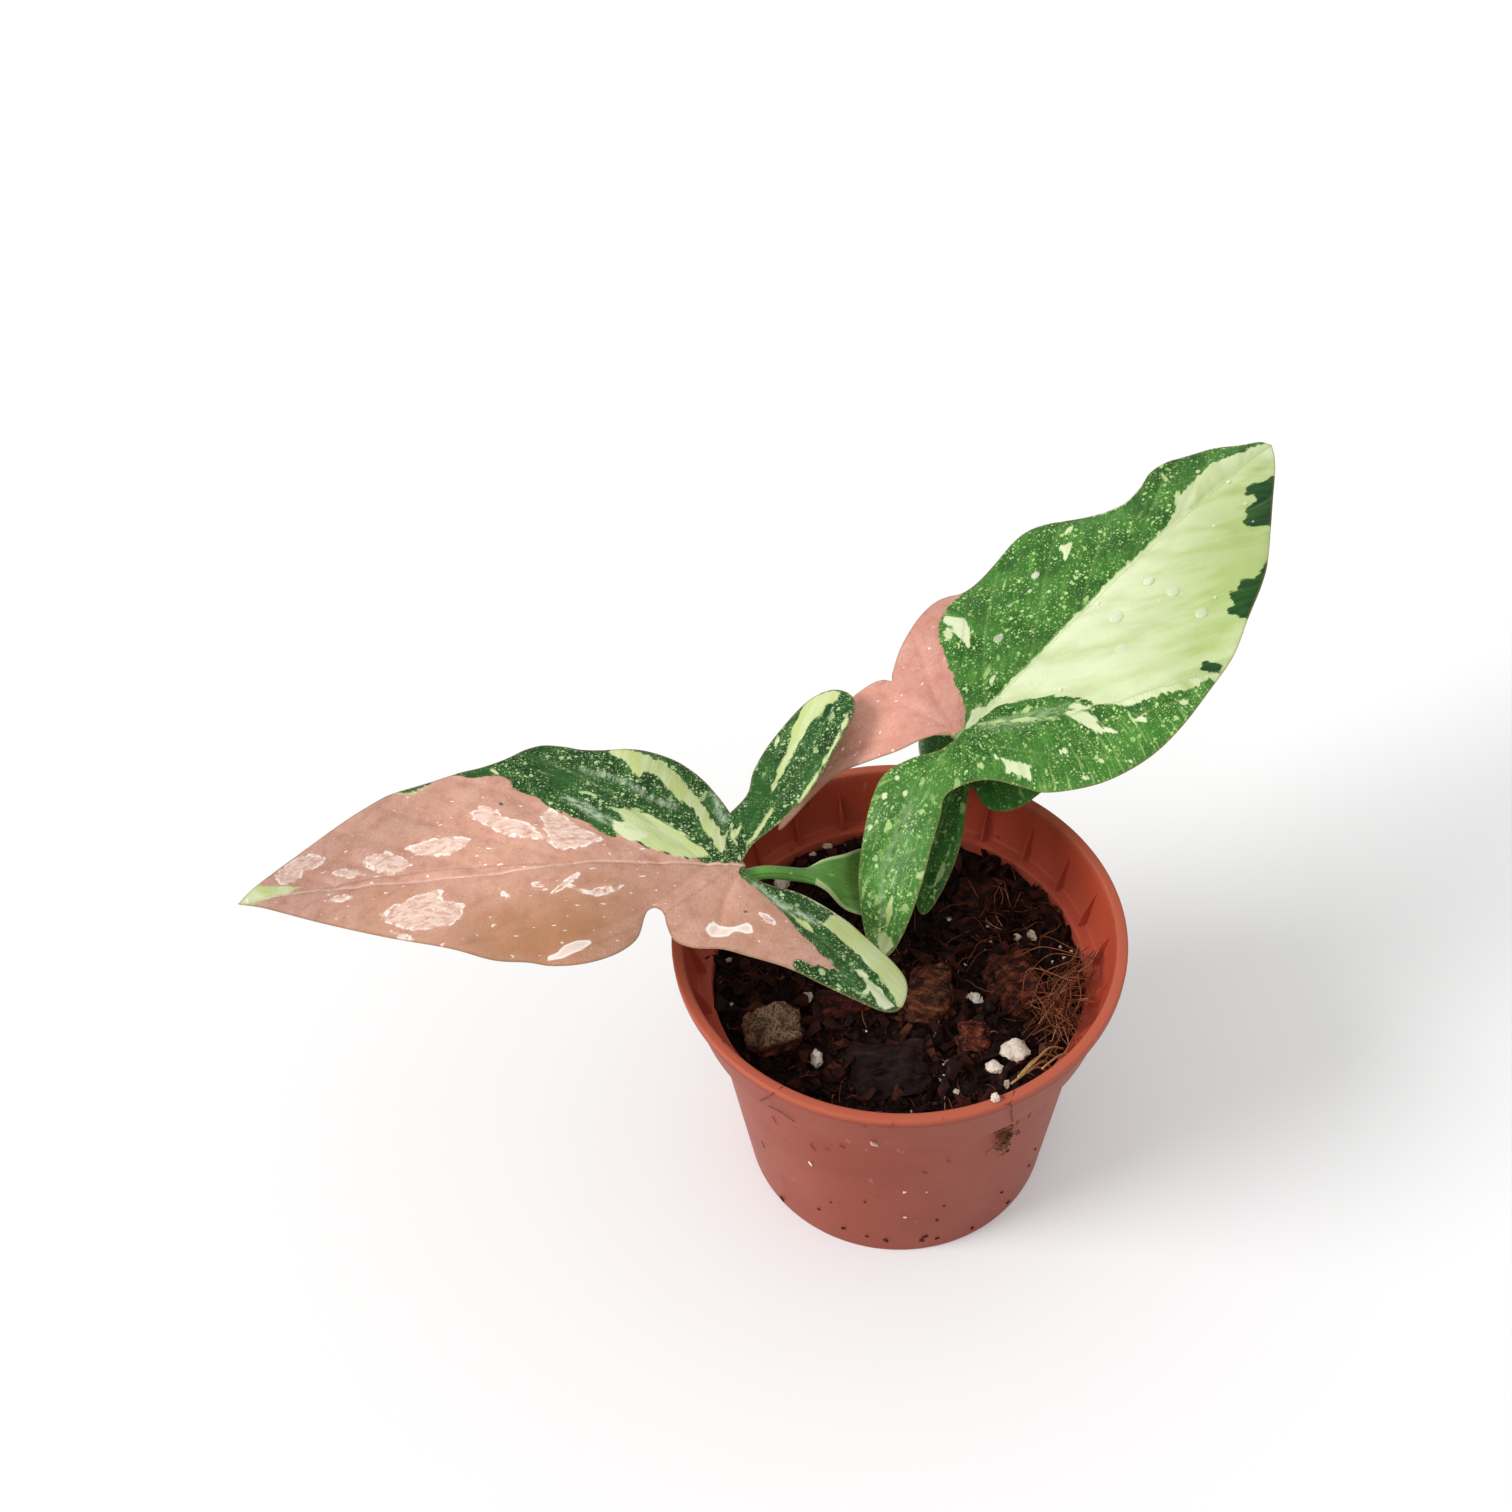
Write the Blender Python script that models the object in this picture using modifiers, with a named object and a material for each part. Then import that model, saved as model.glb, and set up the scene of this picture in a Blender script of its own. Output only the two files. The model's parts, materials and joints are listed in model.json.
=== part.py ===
"""A syngonium with three leaves, growing in a filled nursery pot 80 mm across.

The pot's axis is Z and the middle of its underside is the origin. Lengths are in metres, and a
length given in millimetres is multiplied by MM where it is set. The leaves and their stalks are
described in millimetres. Each leaf has its own flat frame: X runs along the midrib to the tip,
Y to the leaf's left and Z out of its upper face, and the origin is where the stalk joins.
"""

import math
import random
from dataclasses import dataclass, replace

import bmesh
import bpy
import numpy as np
from mathutils import Matrix, Vector, geometry, noise

MM = 0.001
PART_NAME = "potted_syngonium"
GAP = 0.3 * MM

POT_HEIGHT = 61 * MM
RIM_RADIUS = 40 * MM
RIM_WIDTH = 1.9 * MM
RIM_DEPTH = 2.2 * MM
COLLAR_BOTTOM_Z = 48 * MM
COLLAR_BOTTOM_RADIUS = 37 * MM
BODY_TOP_RADIUS = 34.5 * MM
BASE_RADIUS = 29 * MM
WALL = 0.9 * MM
LEDGE_TOP_Z = 49.5 * MM
FLOOR = 1.5 * MM
FOOT_WIDTH = 3.2 * MM
FOOT_HEIGHT = 0.6 * MM
HUB_RADIUS = 8 * MM
EDGE_SOFTNESS = 0.5 * MM
RIM_DRAFT = 0.1 * MM
POT_STEPS = 60
SHARP_DEG = 35

FIN_COUNT = 24
FIN_START_DEG = 11.5
FIN_INNER_RADIUS = 34.3 * MM
FIN_TOP_Z = 55 * MM
FIN_THICKNESS = 1.0 * MM
FIN_ROOT = 0.5 * MM

DRAIN_COUNT = 6
DRAIN_RADIUS = 2.5 * MM
DRAIN_CIRCLE = 17 * MM
DRAIN_STEPS = 16

SOIL_LEVEL = 46.2 * MM
SOIL_RISE_AT_WALL = 1.2 * MM
SOIL_LUMP = 1.3 * MM
SOIL_LUMP_SIZE = 6 * MM
SOIL_FINE_LUMP_SIZE = 2.6 * MM
SOIL_COARSE_LAYER = 2.3
SOIL_FINE_LAYER = 7.1
SOIL_FOOT_INSET = 0.8 * MM
SOIL_RINGS = 10
SOIL_STEPS = 36
POCKET_GROWTH = 1.35 * GAP

CRUMB_COUNT = 30
CRUMB_SIZES = (1.8 * MM, 3.8 * MM)
CRUMB_ROUGHNESS = 0.28
CRUMB_SINK = 0.12
SMALL_PERLITE_COUNT = 12
SMALL_PERLITE_SIZE = 1.8 * MM
SMALL_PERLITE_SINK = 0.05
LARGE_PERLITE_LIFT = 0.1
LUMP_STRETCH = ((0.8, 1.15), (0.75, 1.1), (0.7, 1.0))

FIBRE_COUNT = 12
FIBRE_RADIUS = 0.28 * MM
FIBRE_LENGTHS = (6 * MM, 10 * MM)
FIBRE_LIFTS = (0.8 * MM, 1.6 * MM)
FIBRE_BOW = 1.5 * MM
FIBRE_END_DEPTH = 1.1 * MM
FIBRE_POINTS = 5
FIBRE_WALL_CLEARANCE = 7 * MM

CHUNK_ROUND_RADIUS = 0.62
CHUNK_ROUNDING = 0.45
CHUNK_ROUGHNESS = 0.1
CHUNK_REACH = 0.55

STEM_X = 0.5 * MM
STEM_Y = 16.0 * MM
STEM_BOTTOM_Z = 26 * MM
STEM_TOP_Z = 53 * MM
STEM_RADIUS = 2.6 * MM
STEM_HOLE_RADIUS = 5.0 * MM
STEM_HOLE_STEPS = 20
STEM_CLEAR_RADIUS = 7 * MM
STEM_STEPS = 16
STEM_ROWS = 8
STEM_SCAR = 0.25 * MM
STEM_TOP_SHARE = 0.62
STEM_TAPER_START = 0.35

BLADE = 0.7
LEAF_GRID = 4.6
MARGIN_STEP = 3.4
MARGIN_CLEARANCE = 0.55 * MARGIN_STEP
VEIN_GROOVE = 0.5
VEIN_GROOVE_WIDTH = 1.6
VEIN_START = 2

STALK_SIDES = 6
STALK_STEP = 3.0
STALK_HEAD_FORWARD = 0.6
STALK_HEAD_CLEARANCE = BLADE / 2 + GAP / MM + VEIN_GROOVE + 0.1
STALK_NECK_DROP = 1.3
STALK_NECK_BACK = 0.5


@dataclass(frozen=True)
class Bend:
    """A rolling bend of the blade left of a line, seen along its heading from the upper face."""
    side: int
    point: tuple
    heading: float
    turn: float
    over: float


@dataclass(frozen=True)
class Wave:
    """Waves along one side of the blade, full size at the given distance from the midrib."""
    side: int
    height: float
    length: float
    start: float
    full_at: float


@dataclass(frozen=True)
class Leaf:
    """A blade: its outline in four or more spline runs, its bends, and where it is held."""
    name: str
    runs: tuple
    bends: tuple
    waves: tuple
    joint: tuple
    heading: float
    pitch: float
    roll: float
    colour: tuple


@dataclass(frozen=True)
class Station:
    """A cross-section of a leaf stalk: its middle, width, thickness, arc and hollow side."""
    middle: tuple
    width: float
    thickness: float
    arc: float
    hollow: tuple


@dataclass(frozen=True)
class Chunk:
    """A lump of bark: its middle on the soil, top height, size, turn, lean and seed."""
    name: str
    x: float
    y: float
    top: float
    size: tuple
    turn: float
    lean: float
    seed: int
    colour: tuple


LEAF_LEFT = Leaf(
    name="leaf_left",
    runs=(
        ((89.2, -1.1), (84, -5.1), (76, -10.4), (67, -16.1), (62.5, -18.9), (56.5, -20.7),
         (51, -21.6), (46, -22), (42, -23.5), (38.5, -26), (35.5, -27.5), (32, -27.5),
         (28.5, -26.4), (24.5, -25.5), (20, -25.1), (15, -24.4), (10.7, -23), (7, -20),
         (4, -15.7), (2, -12)),
        ((2, -12), (-1, -16), (-2.2, -21), (-5, -26), (-9.2, -30.3), (-14, -33.3), (-18.5, -33.5),
         (-21.8, -31), (-22, -27.5), (-18.5, -21.5), (-13, -14.3), (-7, -9.2), (-2, -5), (0, -1.2)),
        ((0, -1.2), (-0.6, 0), (0, 1.2)),
        ((0, 1.2), (-4, 3.8), (-10, 5.5), (-17, 9.6), (-20.5, 12.8), (-25.5, 18), (-27.2, 22),
         (-26, 27), (-23.5, 28.7), (-19.5, 27.7), (-13, 25), (-8, 22.4), (-3, 20.6), (3, 18.8),
         (8, 18), (11.5, 16), (12.5, 12.5), (14.3, 9.3)),
        ((14.3, 9.3), (15.8, 12), (17, 16.5), (20, 19.8), (23.5, 22.2), (27, 22.9), (31, 22.2),
         (35, 20.8), (41, 20.2), (47, 18), (57, 13.8), (69, 8.9), (80, 3.4), (85.5, 0.6),
         (89.2, -1.1)),
    ),
    bends=(
        Bend(-1, (0, 0), 100, 32, 14),
        Bend(1, (0, 0), 90, -12, 16),
        Bend(0, (20, 0), -90, -20, 62),
        Bend(1, (0, 2), 0, 6, 20),
        Bend(-1, (0, -2), 180, 6, 20),
    ),
    waves=(
        Wave(-1, 1.0, 26, 12, 24),
        Wave(1, 0.8, 24, 18, 22),
    ),
    joint=(-26.5, 1.9, 78),
    heading=178,
    pitch=5,
    roll=0,
    colour=(0.55, 0.28, 0.24, 1),
)

LEAF_RIGHT = Leaf(
    name="leaf_right",
    runs=(
        ((88, 0), (86.8, 1.8), (83.5, 4), (79.8, 7.2), (75, 9.5), (71, 11.4), (67, 12),
         (63, 11.1), (58.5, 10.8), (54, 12.3), (50, 14.8), (46, 17.8), (42.5, 19.8),
         (38.5, 20.8), (32.5, 20.8), (27, 20.6), (24, 21), (22, 22.2), (19, 23), (13, 22.8),
         (8, 21.8), (3.8, 19.6), (2.3, 18.2)),
        ((2.3, 18.2), (0.8, 20.2), (-5, 21.7), (-12, 21.6), (-20, 20.5), (-28, 19.3), (-32, 18),
         (-29, 16.7), (-23.5, 15.4), (-17.5, 13.6), (-12, 9.8), (-8, 7), (-4, 5), (-1, 3), (0, 1.6)),
        ((0, 1.6), (-0.6, 0.9), (-0.4, 0.1)),
        ((-0.4, 0.1), (-3.8, 0.9), (-7.6, 3.8), (-12.6, 6), (-17.6, 5), (-24, 2), (-31, -2.2),
         (-36, -6.7), (-38.8, -10.5), (-38.9, -14), (-36.5, -15), (-31, -14.2), (-24, -12),
         (-18, -9.4), (-13, -7.3), (-9.5, -5.6), (-5.5, -7.2), (-2.5, -10), (-0.3, -14.5),
         (1.5, -18.3), (5.7, -22.2), (11, -25.4), (18.5, -27.9), (26, -28.5), (34, -27.8),
         (42, -26.5), (50, -23.6), (57, -21.1), (63, -18), (75, -10), (83, -4.5), (88, 0)),
    ),
    bends=(
        Bend(0, (-14, 0), 90, -14, 16),
        Bend(0, (0, 0), 90, -14, 16),
        Bend(0, (25, 0), -90, -12, 60),
        Bend(-1, (8, -5), 150, -14, 12),
        Bend(-1, (0, -2), 180, -6, 25),
        Bend(1, (0, 2), 0, -4, 25),
    ),
    waves=(
        Wave(1, 1.0, 27, 10, 22),
        Wave(-1, 0.7, 30, 20, 26),
    ),
    joint=(12.3, 21.1, 86),
    heading=40,
    pitch=16,
    roll=0,
    colour=(0.12, 0.30, 0.07, 1),
)

LEAF_YOUNG = Leaf(
    name="leaf_young",
    runs=(
        ((50, 0), (44, 4), (36, 8), (27, 11.5), (18, 13.5), (10, 13.5), (4, 12), (0.7, 9.7)),
        ((0.7, 9.7), (-1.5, 12.5), (-6, 15), (-9.5, 14), (-10.5, 10.5), (-8.5, 6), (-4.5, 2.5),
         (-1, 0.8)),
        ((-1, 0.8), (-1.3, 0), (-1, -0.8)),
        ((-1, -0.8), (-5, -2.2), (-11, -4), (-17.5, -8), (-22, -12.5), (-23.8, -15.5),
         (-22.8, -16.7), (-19, -16.2), (-13.4, -14.3), (-8.2, -11.2), (-4.6, -8), (-0.8, -4.9)),
        ((-0.8, -4.9), (-0.8, -6.2), (-1.6, -8.2), (-1.9, -10), (-1.2, -12), (0.7, -13.6),
         (3, -14.2), (6.5, -14.2), (13, -14.5), (22, -13.2), (32, -10), (42, -5), (50, 0)),
    ),
    bends=(
        Bend(-1, (-2, 0), 90, -26, 14),
        Bend(1, (0.7, 7), 58, -92, 3.2),
        Bend(0, (16, 0), -90, -14, 30),
        Bend(1, (0, 1.5), 0, 5, 12),
        Bend(-1, (0, -1.5), 180, -6, 12),
    ),
    waves=(
        Wave(1, 0.6, 18, 4, 13),
        Wave(-1, 0.6, 18, 10, 13),
    ),
    joint=(12.8, 25.3, 74),
    heading=35,
    pitch=8,
    roll=0,
    colour=(0.03, 0.12, 0.02, 1),
)

STALK_LEFT = (
    Station((-22.3, 2.6, 75.2), 2.3, 2.3, 10, (0, 0.5, 0.9)),
    Station((-15.9, 4.4, 71.6), 2.7, 2.4, 20, (0, 0.3, 0.95)),
    Station((-12.4, 5.2, 69.8), 5.0, 1.9, 60, (0, -0.3, 0.95)),
    Station((-9.2, 6.4, 66.6), 9.0, 1.6, 70, (-0.1, -0.5, 0.85)),
    Station((-6.4, 8.6, 62.9), 13.0, 1.4, 80, (0, -0.5, 0.85)),
    Station((-4.3, 11.2, 59.0), 12.0, 1.2, 110, (0.3, -0.2, 0.85)),
    Station((-3.3, 14.0, 54.5), 8.2, 1.2, 140, (0.9, 0.3, 0.3)),
    Station((-3.2, 15.6, 49.5), 7.1, 1.2, 150, (1, 0.1, 0)),
    Station((-3.2, 15.8, 44.5), 7.0, 1.2, 150, (1, 0.05, 0)),
)

STALK_RIGHT = (
    Station((8.6, 20.6, 78), 2.4, 2.4, 10, (-1, 0, 0.2)),
    Station((7.4, 19.6, 70), 2.6, 2.4, 20, (-1, 0, 0.2)),
    Station((6.4, 18.2, 63), 3.2, 2.2, 40, (-1, 0, 0.1)),
    Station((5.1, 16.8, 57), 4.4, 1.8, 80, (-1, -0.1, 0.1)),
    Station((4.3, 16.1, 51), 6.6, 1.3, 130, (-1, -0.1, 0)),
    Station((4.2, 16.0, 44.5), 7.0, 1.2, 150, (-1, 0, 0)),
)

STALK_YOUNG = (
    Station((10.6, 25.4, 67), 1.9, 1.9, 10, (-1, 0, 0.2)),
    Station((6.2, 23.6, 60.5), 2.0, 2.0, 10, (-1, 0, 0.2)),
    Station((2.5, 20.3, 57.3), 2.2, 2.1, 10, (-1, 0, 0.2)),
    Station((0.7, 16.8, 55.4), 2.4, 2.2, 10, (-1, 0, 0.1)),
    Station((0.5, 16.0, 53.8), 2.4, 2.4, 10, (-1, 0, 0.1)),
)

CHUNKS = (
    Chunk("bark_chunk_1", -23.2, -10.8, 52.0, (9.5, 9, 12), 20, 12, 11, (0.20, 0.12, 0.07, 1)),
    Chunk("bark_chunk_2", 5.0, -5.2, 51.0, (7.5, 11, 10), -15, -8, 12, (0.18, 0.07, 0.04, 1)),
    Chunk("bark_chunk_3", -9.2, -5.0, 49.5, (10.5, 5.5, 8), 8, 10, 13, (0.20, 0.06, 0.04, 1)),
    Chunk("bark_chunk_4", -3.5, -20.5, 50.0, (15, 11, 11), 5, 6, 14, (0.05, 0.035, 0.035, 1)),
    Chunk("bark_chunk_5", 21.5, -3.8, 51.5, (9.5, 12.5, 12), 25, -6, 15, (0.15, 0.06, 0.035, 1)),
    Chunk("bark_chunk_6", 12.0, -14.8, 49.8, (5, 5.5, 7), -20, 8, 16, (0.22, 0.08, 0.05, 1)),
    Chunk("bark_chunk_7", -23.0, 8.0, 49.5, (9, 8, 9), 35, -8, 17, (0.14, 0.06, 0.04, 1)),
    Chunk("bark_chunk_8", 17.5, 17.5, 48.8, (9, 11, 9), -30, 8, 18, (0.16, 0.06, 0.04, 1)),
)

LARGE_PERLITE = (
    (18.5, -19.0, 5.4), (14.8, -21.6, 4.2), (-15.8, -17.2, 3.2), (-19.6, 23.4, 4.6),
    (7.5, -25.8, 2.2), (13.5, -6.4, 2.4), (-16.4, -3.6, 2.4), (25.5, 6.5, 2.2), (-6.3, 28.0, 2.6),
    (8.5, 27.5, 3.0),
)


def make_material(name, colour, roughness):
    """Return a plain material with the given colour and roughness."""
    material = bpy.data.materials.new(name)
    material.use_nodes = True
    shader = material.node_tree.nodes["Principled BSDF"]
    shader.inputs["Base Color"].default_value = colour
    shader.inputs["Roughness"].default_value = roughness
    shader.inputs["Metallic"].default_value = 0.0
    material.diffuse_color = colour
    return material


def add_object(name, mesh, collection, material=None):
    """Put a mesh into the scene as an object of a collection."""
    item = bpy.data.objects.new(name, mesh)
    collection.objects.link(item)
    if material:
        mesh.materials.clear()
        mesh.materials.append(material)
    return item


def bake_modifiers(item):
    """Replace an object's mesh by what its modifiers make of it, and clear them."""
    graph = bpy.context.evaluated_depsgraph_get()
    baked = bpy.data.meshes.new_from_object(item.evaluated_get(graph))
    item.modifiers.clear()
    old = item.data
    item.data = baked
    bpy.data.meshes.remove(old)


def turned(name, profile, steps, collection, material):
    """Turn a profile of (radius, height) points about Z and bake it."""
    mesh = bpy.data.meshes.new(name)
    points = [(radius, 0, height) for radius, height in profile]
    mesh.from_pydata(points, [(i, i + 1) for i in range(len(points) - 1)], [])
    item = add_object(name, mesh, collection, material)
    screw = item.modifiers.new("Turn", "SCREW")
    screw.steps = steps
    screw.render_steps = steps
    screw.use_merge_vertices = True
    screw.merge_threshold = 0.00001
    bake_modifiers(item)
    return item


def boolean(item, operation, others):
    """Cut or join a collection of closed meshes with an object, and bake the result."""
    step = item.modifiers.new(operation.title(), "BOOLEAN")
    step.operation = operation
    step.operand_type = "COLLECTION"
    step.collection = others
    step.solver = "EXACT"
    bake_modifiers(item)


def empty_collection(collection):
    """Remove every object of a collection and then the collection."""
    for item in list(collection.objects):
        bpy.data.objects.remove(item)
    bpy.data.collections.remove(collection)


def new_collection(name):
    """Return a new collection linked to the scene."""
    collection = bpy.data.collections.new(name)
    bpy.context.scene.collection.children.link(collection)
    return collection


def body_radius(height):
    """Outer radius of the pot's tapered body at a height."""
    share = height / COLLAR_BOTTOM_Z
    return BASE_RADIUS + (BODY_TOP_RADIUS - BASE_RADIUS) * share


def pot_profile():
    """The pot's section, from the middle of its floor over the rim to the middle underneath."""
    rim_inner = RIM_RADIUS - RIM_WIDTH
    soft = EDGE_SOFTNESS
    return (
        (0, FLOOR),
        (body_radius(FLOOR) - WALL - soft, FLOOR),
        (body_radius(FLOOR + soft) - WALL, FLOOR + soft),
        (body_radius(COLLAR_BOTTOM_Z) - WALL, LEDGE_TOP_Z - soft),
        (body_radius(COLLAR_BOTTOM_Z) - WALL + soft, LEDGE_TOP_Z),
        (COLLAR_BOTTOM_RADIUS - WALL, LEDGE_TOP_Z),
        (rim_inner, POT_HEIGHT - soft),
        (rim_inner + soft, POT_HEIGHT),
        (RIM_RADIUS - soft, POT_HEIGHT),
        (RIM_RADIUS, POT_HEIGHT - soft),
        (RIM_RADIUS - RIM_DRAFT, POT_HEIGHT - RIM_DEPTH),
        (RIM_RADIUS - 2 * soft, POT_HEIGHT - RIM_DEPTH - soft),
        (COLLAR_BOTTOM_RADIUS, COLLAR_BOTTOM_Z + soft),
        (COLLAR_BOTTOM_RADIUS - soft, COLLAR_BOTTOM_Z),
        (BODY_TOP_RADIUS, COLLAR_BOTTOM_Z),
        (body_radius(2 * soft), 2 * soft),
        (BASE_RADIUS - soft, 0),
        (BASE_RADIUS - FOOT_WIDTH, 0),
        (BASE_RADIUS - FOOT_WIDTH - soft, FOOT_HEIGHT),
        (HUB_RADIUS + soft, FOOT_HEIGHT),
        (HUB_RADIUS, 0),
        (0, 0),
    )


def add_fins(pot):
    """Join the small three-cornered fins that stand on the ledge inside the collar."""
    fins = new_collection("fins")
    wall_at_ledge = COLLAR_BOTTOM_RADIUS - WALL
    slope = (RIM_RADIUS - RIM_WIDTH - wall_at_ledge) / (POT_HEIGHT - LEDGE_TOP_Z)
    wall_at_top = wall_at_ledge + (FIN_TOP_Z - LEDGE_TOP_Z) * slope
    corners = (
        (FIN_INNER_RADIUS, LEDGE_TOP_Z - FIN_ROOT),
        (wall_at_ledge + FIN_ROOT, LEDGE_TOP_Z - FIN_ROOT),
        (wall_at_top + FIN_ROOT, FIN_TOP_Z),
        (wall_at_top - FIN_ROOT / 2, FIN_TOP_Z),
    )
    for index in range(FIN_COUNT):
        angle = math.radians(FIN_START_DEG) + 2 * math.pi * index / FIN_COUNT
        shape = bmesh.new()
        ring = [shape.verts.new((r, -FIN_THICKNESS / 2, z)) for r, z in corners]
        face = shape.faces.new(ring)
        pushed = bmesh.ops.extrude_face_region(shape, geom=[face])
        moved = [part for part in pushed["geom"] if isinstance(part, bmesh.types.BMVert)]
        bmesh.ops.translate(shape, vec=(0, FIN_THICKNESS, 0), verts=moved)
        bmesh.ops.recalc_face_normals(shape, faces=shape.faces)
        bmesh.ops.rotate(shape, matrix=Matrix.Rotation(angle, 3, "Z"), verts=shape.verts)
        mesh = bpy.data.meshes.new("fin")
        shape.to_mesh(mesh)
        shape.free()
        add_object("fin", mesh, fins)
    boolean(pot, "UNION", fins)
    empty_collection(fins)


def cut_drains(pot, cutters):
    """Cut the ring of drain holes through the pot's floor."""
    drains = bpy.data.collections.new("drain_cutters")
    cutters.children.link(drains)
    for index in range(DRAIN_COUNT):
        angle = 2 * math.pi * (index + 0.5) / DRAIN_COUNT
        shape = bmesh.new()
        bmesh.ops.create_cone(
            shape, cap_ends=True, segments=DRAIN_STEPS, radius1=DRAIN_RADIUS,
            radius2=DRAIN_RADIUS, depth=4 * FLOOR,
        )
        place = (DRAIN_CIRCLE * math.cos(angle), DRAIN_CIRCLE * math.sin(angle), 0)
        bmesh.ops.translate(shape, vec=place, verts=shape.verts)
        mesh = bpy.data.meshes.new("drain")
        shape.to_mesh(mesh)
        shape.free()
        hide_cutter(add_object("drain", mesh, drains))
    boolean(pot, "DIFFERENCE", drains)


def hide_cutter(item):
    """Mark an object as a cutter, drawn as wire and left out of a render."""
    item.hide_render = True
    item.display_type = "WIRE"


def make_pot(collection, cutters):
    """Make the pot: turned wall and collar, fins, drain holes."""
    clay_plastic = make_material("pot_plastic", (0.42, 0.12, 0.07, 1), 0.42)
    pot = turned("pot", pot_profile(), POT_STEPS, collection, clay_plastic)
    add_fins(pot)
    cut_drains(pot, cutters)
    pot.data.shade_smooth()
    pot.data.set_sharp_from_angle(angle=math.radians(SHARP_DEG))
    return pot


def soil_height(x, y):
    """Height of the soil's surface: level, a rise to the wall, and lumps."""
    edge = body_radius(SOIL_LEVEL) - WALL
    rise = SOIL_RISE_AT_WALL * (math.hypot(x, y) / edge) ** 3
    coarse = Vector((x / SOIL_LUMP_SIZE, y / SOIL_LUMP_SIZE, SOIL_COARSE_LAYER))
    fine = Vector((x / SOIL_FINE_LUMP_SIZE, y / SOIL_FINE_LUMP_SIZE, SOIL_FINE_LAYER))
    return SOIL_LEVEL + rise + SOIL_LUMP * (noise.noise(coarse) + 0.5 * noise.noise(fine))


def lump_mesh(name, size, detail, roughness, seed):
    """A rough lump: a small sphere of triangles with each corner moved at random."""
    draw = random.Random(seed)
    shape = bmesh.new()
    bmesh.ops.create_icosphere(shape, subdivisions=detail, radius=0.5)
    stretch = [draw.uniform(low, high) for low, high in LUMP_STRETCH]
    for vert in shape.verts:
        vert.co = vert.co * draw.uniform(1 - roughness, 1 + roughness)
        vert.co = Vector(a * b * size for a, b in zip(vert.co, stretch))
    bmesh.ops.rotate(
        shape, matrix=Matrix.Rotation(draw.uniform(0, 2 * math.pi), 3, "Z"), verts=shape.verts,
    )
    mesh = bpy.data.meshes.new(name)
    shape.to_mesh(mesh)
    shape.free()
    return mesh


def free_of_chunks(x, y, margin):
    """Whether a spot on the soil is clear of the bark chunks and of the stem."""
    if math.hypot(x - STEM_X, y - STEM_Y) < STEM_CLEAR_RADIUS + margin:
        return False
    for chunk in CHUNKS:
        reach = CHUNK_REACH * math.hypot(chunk.size[0], chunk.size[1]) * MM + margin
        if math.hypot(x - chunk.x * MM, y - chunk.y * MM) < reach:
            return False
    return True


def free_spots(count, seed, margin, from_wall):
    """Draw spots on the soil that are clear of the chunks, the stem and the wall."""
    draw = random.Random(seed)
    limit = body_radius(SOIL_LEVEL) - WALL - from_wall
    spots = []
    while len(spots) < count:
        radius = limit * math.sqrt(draw.random())
        angle = draw.uniform(0, 2 * math.pi)
        x, y = radius * math.cos(angle), radius * math.sin(angle)
        if free_of_chunks(x, y, margin):
            spots.append((x, y))
    return spots


def add_perlite(bits):
    """Put the white grains on the soil: the large ones by hand, the small ones at random."""
    for index, (x, y, size) in enumerate(LARGE_PERLITE):
        item = add_object("grain", lump_mesh("grain", size * MM, 2, 0.08, 40 + index), bits)
        lift = LARGE_PERLITE_LIFT * size * MM
        item.location = (x * MM, y * MM, soil_height(x * MM, y * MM) + lift)
    for index, (x, y) in enumerate(free_spots(SMALL_PERLITE_COUNT, 5, 0.8 * MM, 2 * MM)):
        size = SMALL_PERLITE_SIZE
        item = add_object("grain", lump_mesh("grain", size, 1, 0.12, 80 + index), bits)
        item.location = (x, y, soil_height(x, y) - SMALL_PERLITE_SINK * size)


def add_crumbs(bits):
    """Scatter small crumbs of bark and coir over the soil."""
    draw = random.Random(9)
    for index, (x, y) in enumerate(free_spots(CRUMB_COUNT, 6, 0.5 * MM, 3 * MM)):
        size = draw.uniform(*CRUMB_SIZES)
        lump = lump_mesh("crumb", size, 1, CRUMB_ROUGHNESS, 120 + index)
        item = add_object("crumb", lump, bits)
        item.location = (x, y, soil_height(x, y) - CRUMB_SINK * size)


def add_fibres(bits):
    """Lay bent fibres over the soil, each with both ends sunk in it."""
    draw = random.Random(21)
    for x, y in free_spots(FIBRE_COUNT, 8, 2.4 * MM, FIBRE_WALL_CLEARANCE):
        heading = draw.uniform(0, 2 * math.pi)
        length = draw.uniform(*FIBRE_LENGTHS)
        lift = draw.uniform(*FIBRE_LIFTS)
        sideways = draw.uniform(-FIBRE_BOW, FIBRE_BOW)
        curve = bpy.data.curves.new("fibre", "CURVE")
        curve.dimensions = "3D"
        curve.bevel_depth = FIBRE_RADIUS
        curve.bevel_resolution = 0
        curve.use_fill_caps = True
        spline = curve.splines.new("POLY")
        spline.points.add(FIBRE_POINTS - 1)
        for index, point in enumerate(spline.points):
            share = index / (FIBRE_POINTS - 1)
            along = (share - 0.5) * length
            aside = sideways * math.sin(math.pi * share)
            px = x + along * math.cos(heading) - aside * math.sin(heading)
            py = y + along * math.sin(heading) + aside * math.cos(heading)
            rise = lift * math.sin(math.pi * share) - FIBRE_END_DEPTH * abs(2 * share - 1)
            point.co = (px, py, soil_height(px, py) + rise, 1)
        item = bpy.data.objects.new("fibre_curve", curve)
        bits.objects.link(item)
        bpy.context.view_layer.update()
        graph = bpy.context.evaluated_depsgraph_get()
        mesh = bpy.data.meshes.new_from_object(item.evaluated_get(graph))
        bpy.data.objects.remove(item)
        bpy.data.curves.remove(curve)
        shape = bmesh.new()
        shape.from_mesh(mesh)
        bmesh.ops.remove_doubles(shape, verts=shape.verts, dist=0.00001)
        bmesh.ops.recalc_face_normals(shape, faces=shape.faces)
        shape.to_mesh(mesh)
        shape.free()
        add_object("fibre", mesh, bits)


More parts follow.
